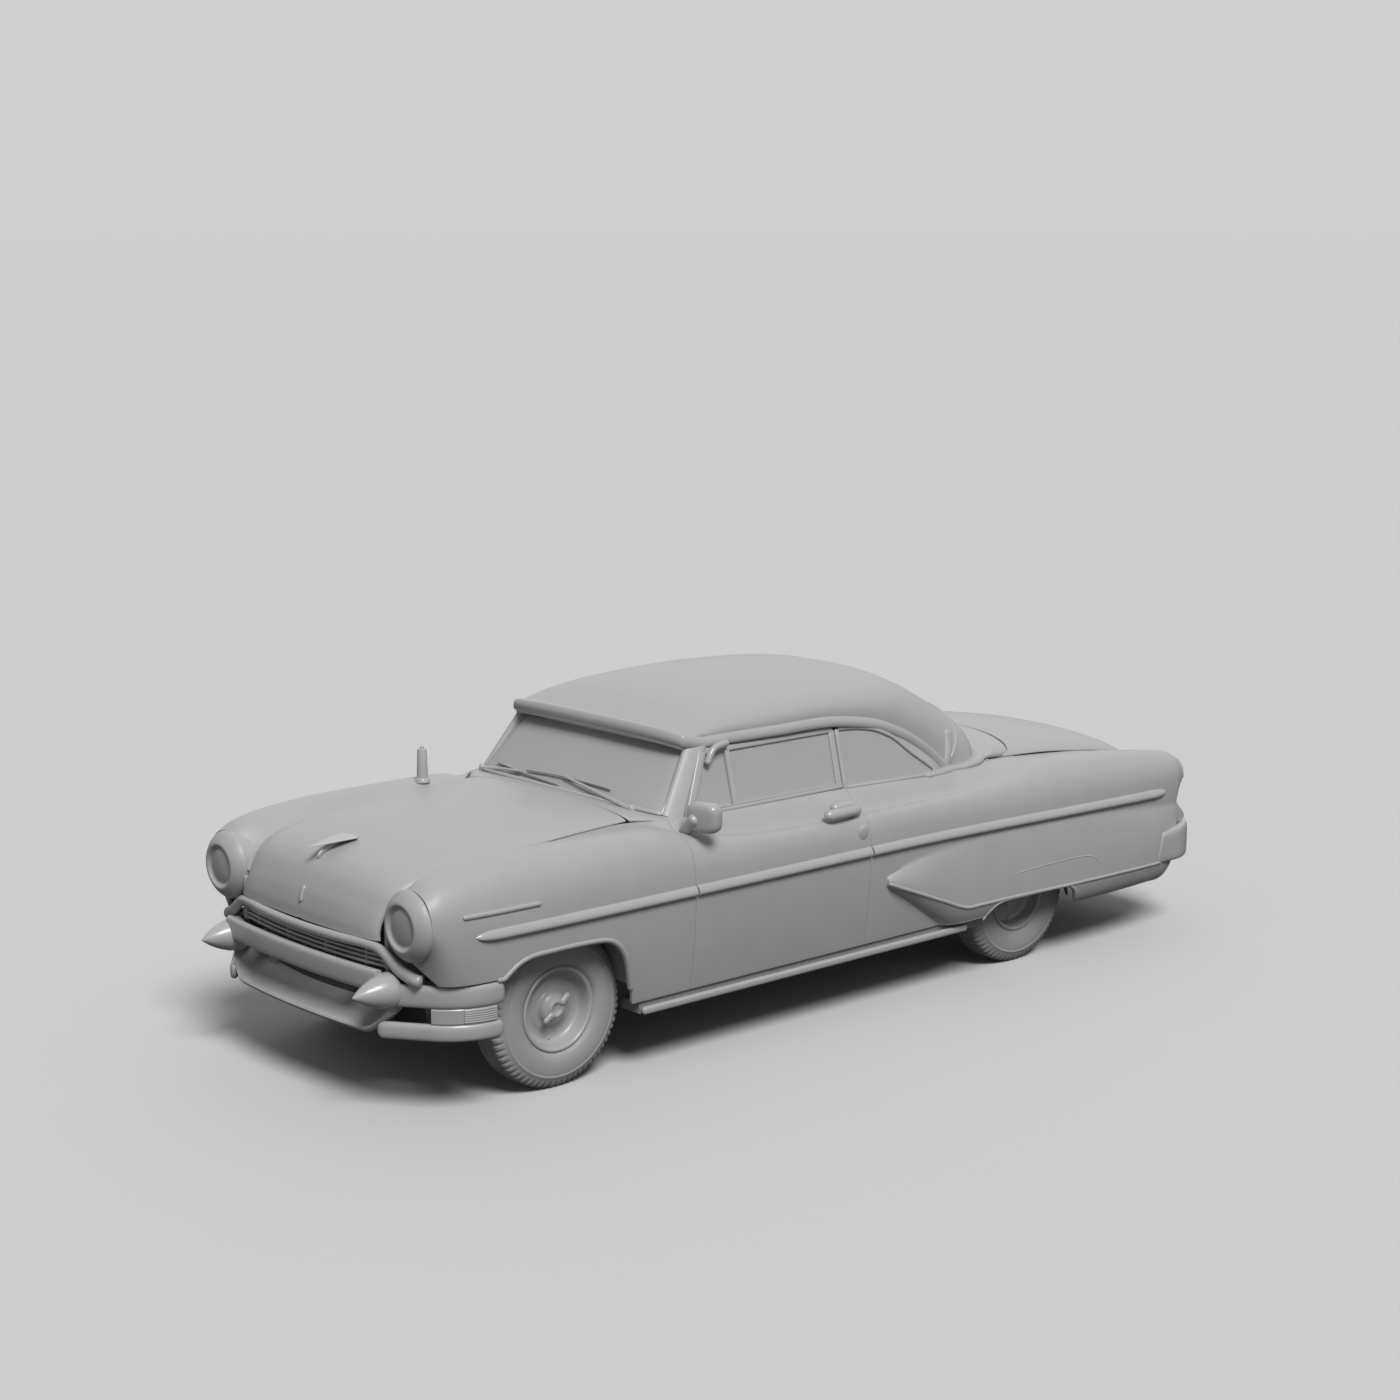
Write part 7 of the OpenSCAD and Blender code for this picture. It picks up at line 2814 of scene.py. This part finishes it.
@dataclass
class Studio:
    """Floor, lights, sky and camera, in metres."""

    eye: Triple = (8.866, 9.778, 3.912)
    yaw: float = -2.29730709
    pitch: float = 0.182770902
    view: float = 30.0
    floor_size: float = 900.0
    floor_lit: float = 0.1
    floor_seen: float = 0.62
    sky_lit: float = 0.25
    sky_seen: float = 0.617
    key: tuple[Triple, float, float] = ((2.1, 5.5, 8.0), 2.75, 24.0)
    back_fill: tuple[Triple, float, float] = ((-6.0, -8.0, 7.0), 0.3, 60.0)

    def build(self) -> None:
        """Set up everything round the car."""
        self.floor()
        self.lights()
        self.sky()
        self.camera()

    def floor(self) -> None:
        """A plain pale floor that reaches the horizon."""
        begin()
        bpy.ops.mesh.primitive_plane_add(size=self.floor_size, location=(0, 0, 0))
        obj = bpy.context.object
        obj.name = "floor"
        material = bpy.data.materials.new("pale_floor")
        material.use_nodes = True
        tree = material.node_tree
        shader = tree.nodes["Principled BSDF"]
        shader.inputs["Roughness"].default_value = 1.0
        shader.inputs["Specular IOR Level"].default_value = 0.0
        path = tree.nodes.new("ShaderNodeLightPath")
        shade = tree.nodes.new("ShaderNodeMix")
        shade.data_type = "RGBA"
        for socket, grey in zip(
            (s for s in shade.inputs if s.type == "RGBA"), (self.floor_lit, self.floor_seen)
        ):
            socket.default_value = (grey, grey, grey, 1)
        tree.links.new(path.outputs["Is Camera Ray"], shade.inputs[0])
        tree.links.new(shade.outputs[2], shader.inputs["Base Color"])
        obj.data.materials.append(material)

    def lights(self) -> None:
        """A broad, soft key from above the left side, and a fill from behind."""
        for name, (place, power, spread_deg) in (("key", self.key), ("back_fill", self.back_fill)):
            begin()
            bpy.ops.object.light_add(type="SUN", location=place)
            lamp = bpy.context.object
            lamp.name = name
            lamp.data.energy = power
            lamp.data.angle = math.radians(spread_deg)
            lamp.rotation_euler = (
                Vector((0.0, 0.0, 0.6)) - Vector(place)
            ).to_track_quat("-Z", "Y").to_euler()

    def sky(self) -> None:
        """An even sky that lights softly and shows as pale as the floor."""
        world = bpy.data.worlds.new("studio_sky")
        world.use_nodes = True
        tree = world.node_tree
        lit, seen = tree.nodes["Background"], tree.nodes.new("ShaderNodeBackground")
        for node, strength in ((lit, self.sky_lit), (seen, self.sky_seen)):
            node.inputs["Color"].default_value = (1.0, 1.0, 1.0, 1)
            node.inputs["Strength"].default_value = strength
        path = tree.nodes.new("ShaderNodeLightPath")
        total = path.outputs["Is Camera Ray"]
        for name in ("Is Glossy Ray", "Is Transmission Ray"):
            both = tree.nodes.new("ShaderNodeMath")
            both.operation = "ADD"
            both.use_clamp = True
            tree.links.new(total, both.inputs[0])
            tree.links.new(path.outputs[name], both.inputs[1])
            total = both.outputs["Value"]
        mix = tree.nodes.new("ShaderNodeMixShader")
        tree.links.new(total, mix.inputs["Fac"])
        tree.links.new(lit.outputs["Background"], mix.inputs[1])
        tree.links.new(seen.outputs["Background"], mix.inputs[2])
        tree.links.new(mix.outputs["Shader"], tree.nodes["World Output"].inputs["Surface"])
        bpy.context.scene.world = world
        bpy.context.scene.view_settings.view_transform = "Standard"

    def camera(self) -> None:
        """The photo's camera: its place, its turn and its angle of view."""
        begin()
        bpy.ops.object.camera_add(location=self.eye)
        eye = bpy.context.object
        eye.name = "photo_camera"
        level = math.cos(self.pitch)
        forward = Vector((math.cos(self.yaw) * level, math.sin(self.yaw) * level, -math.sin(self.pitch)))
        eye.rotation_euler = forward.to_track_quat("-Z", "Y").to_euler()
        eye.data.sensor_width = 36.0
        eye.data.angle = math.radians(self.view)
        bpy.context.scene.camera = eye


def main() -> None:
    """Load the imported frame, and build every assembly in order."""
    logging.basicConfig(level=logging.INFO, format="%(name)s %(message)s")
    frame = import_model()
    Effects()
    Underbody(frame).build()
    for part in (Fenders(), Quarters(), Decks(), Doors(), Roof(), FrontEnd(), RearEnd(), Trim(), Cabin()):
        part.build()
        log.info("%s done", type(part).__name__)
    for end, x in (("front", CAR.axle_f), ("rear", CAR.axle_r)):
        for side, sign in (("left", 1), ("right", -1)):
            name = f"{end}_{side}"
            Wheel(name, (x, sign * CAR.wheel_y, CAR.tyre_r), f"wheel_{name}", sign).build()
    Studio().build()
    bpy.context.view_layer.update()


if __name__ == "__main__":
    main()
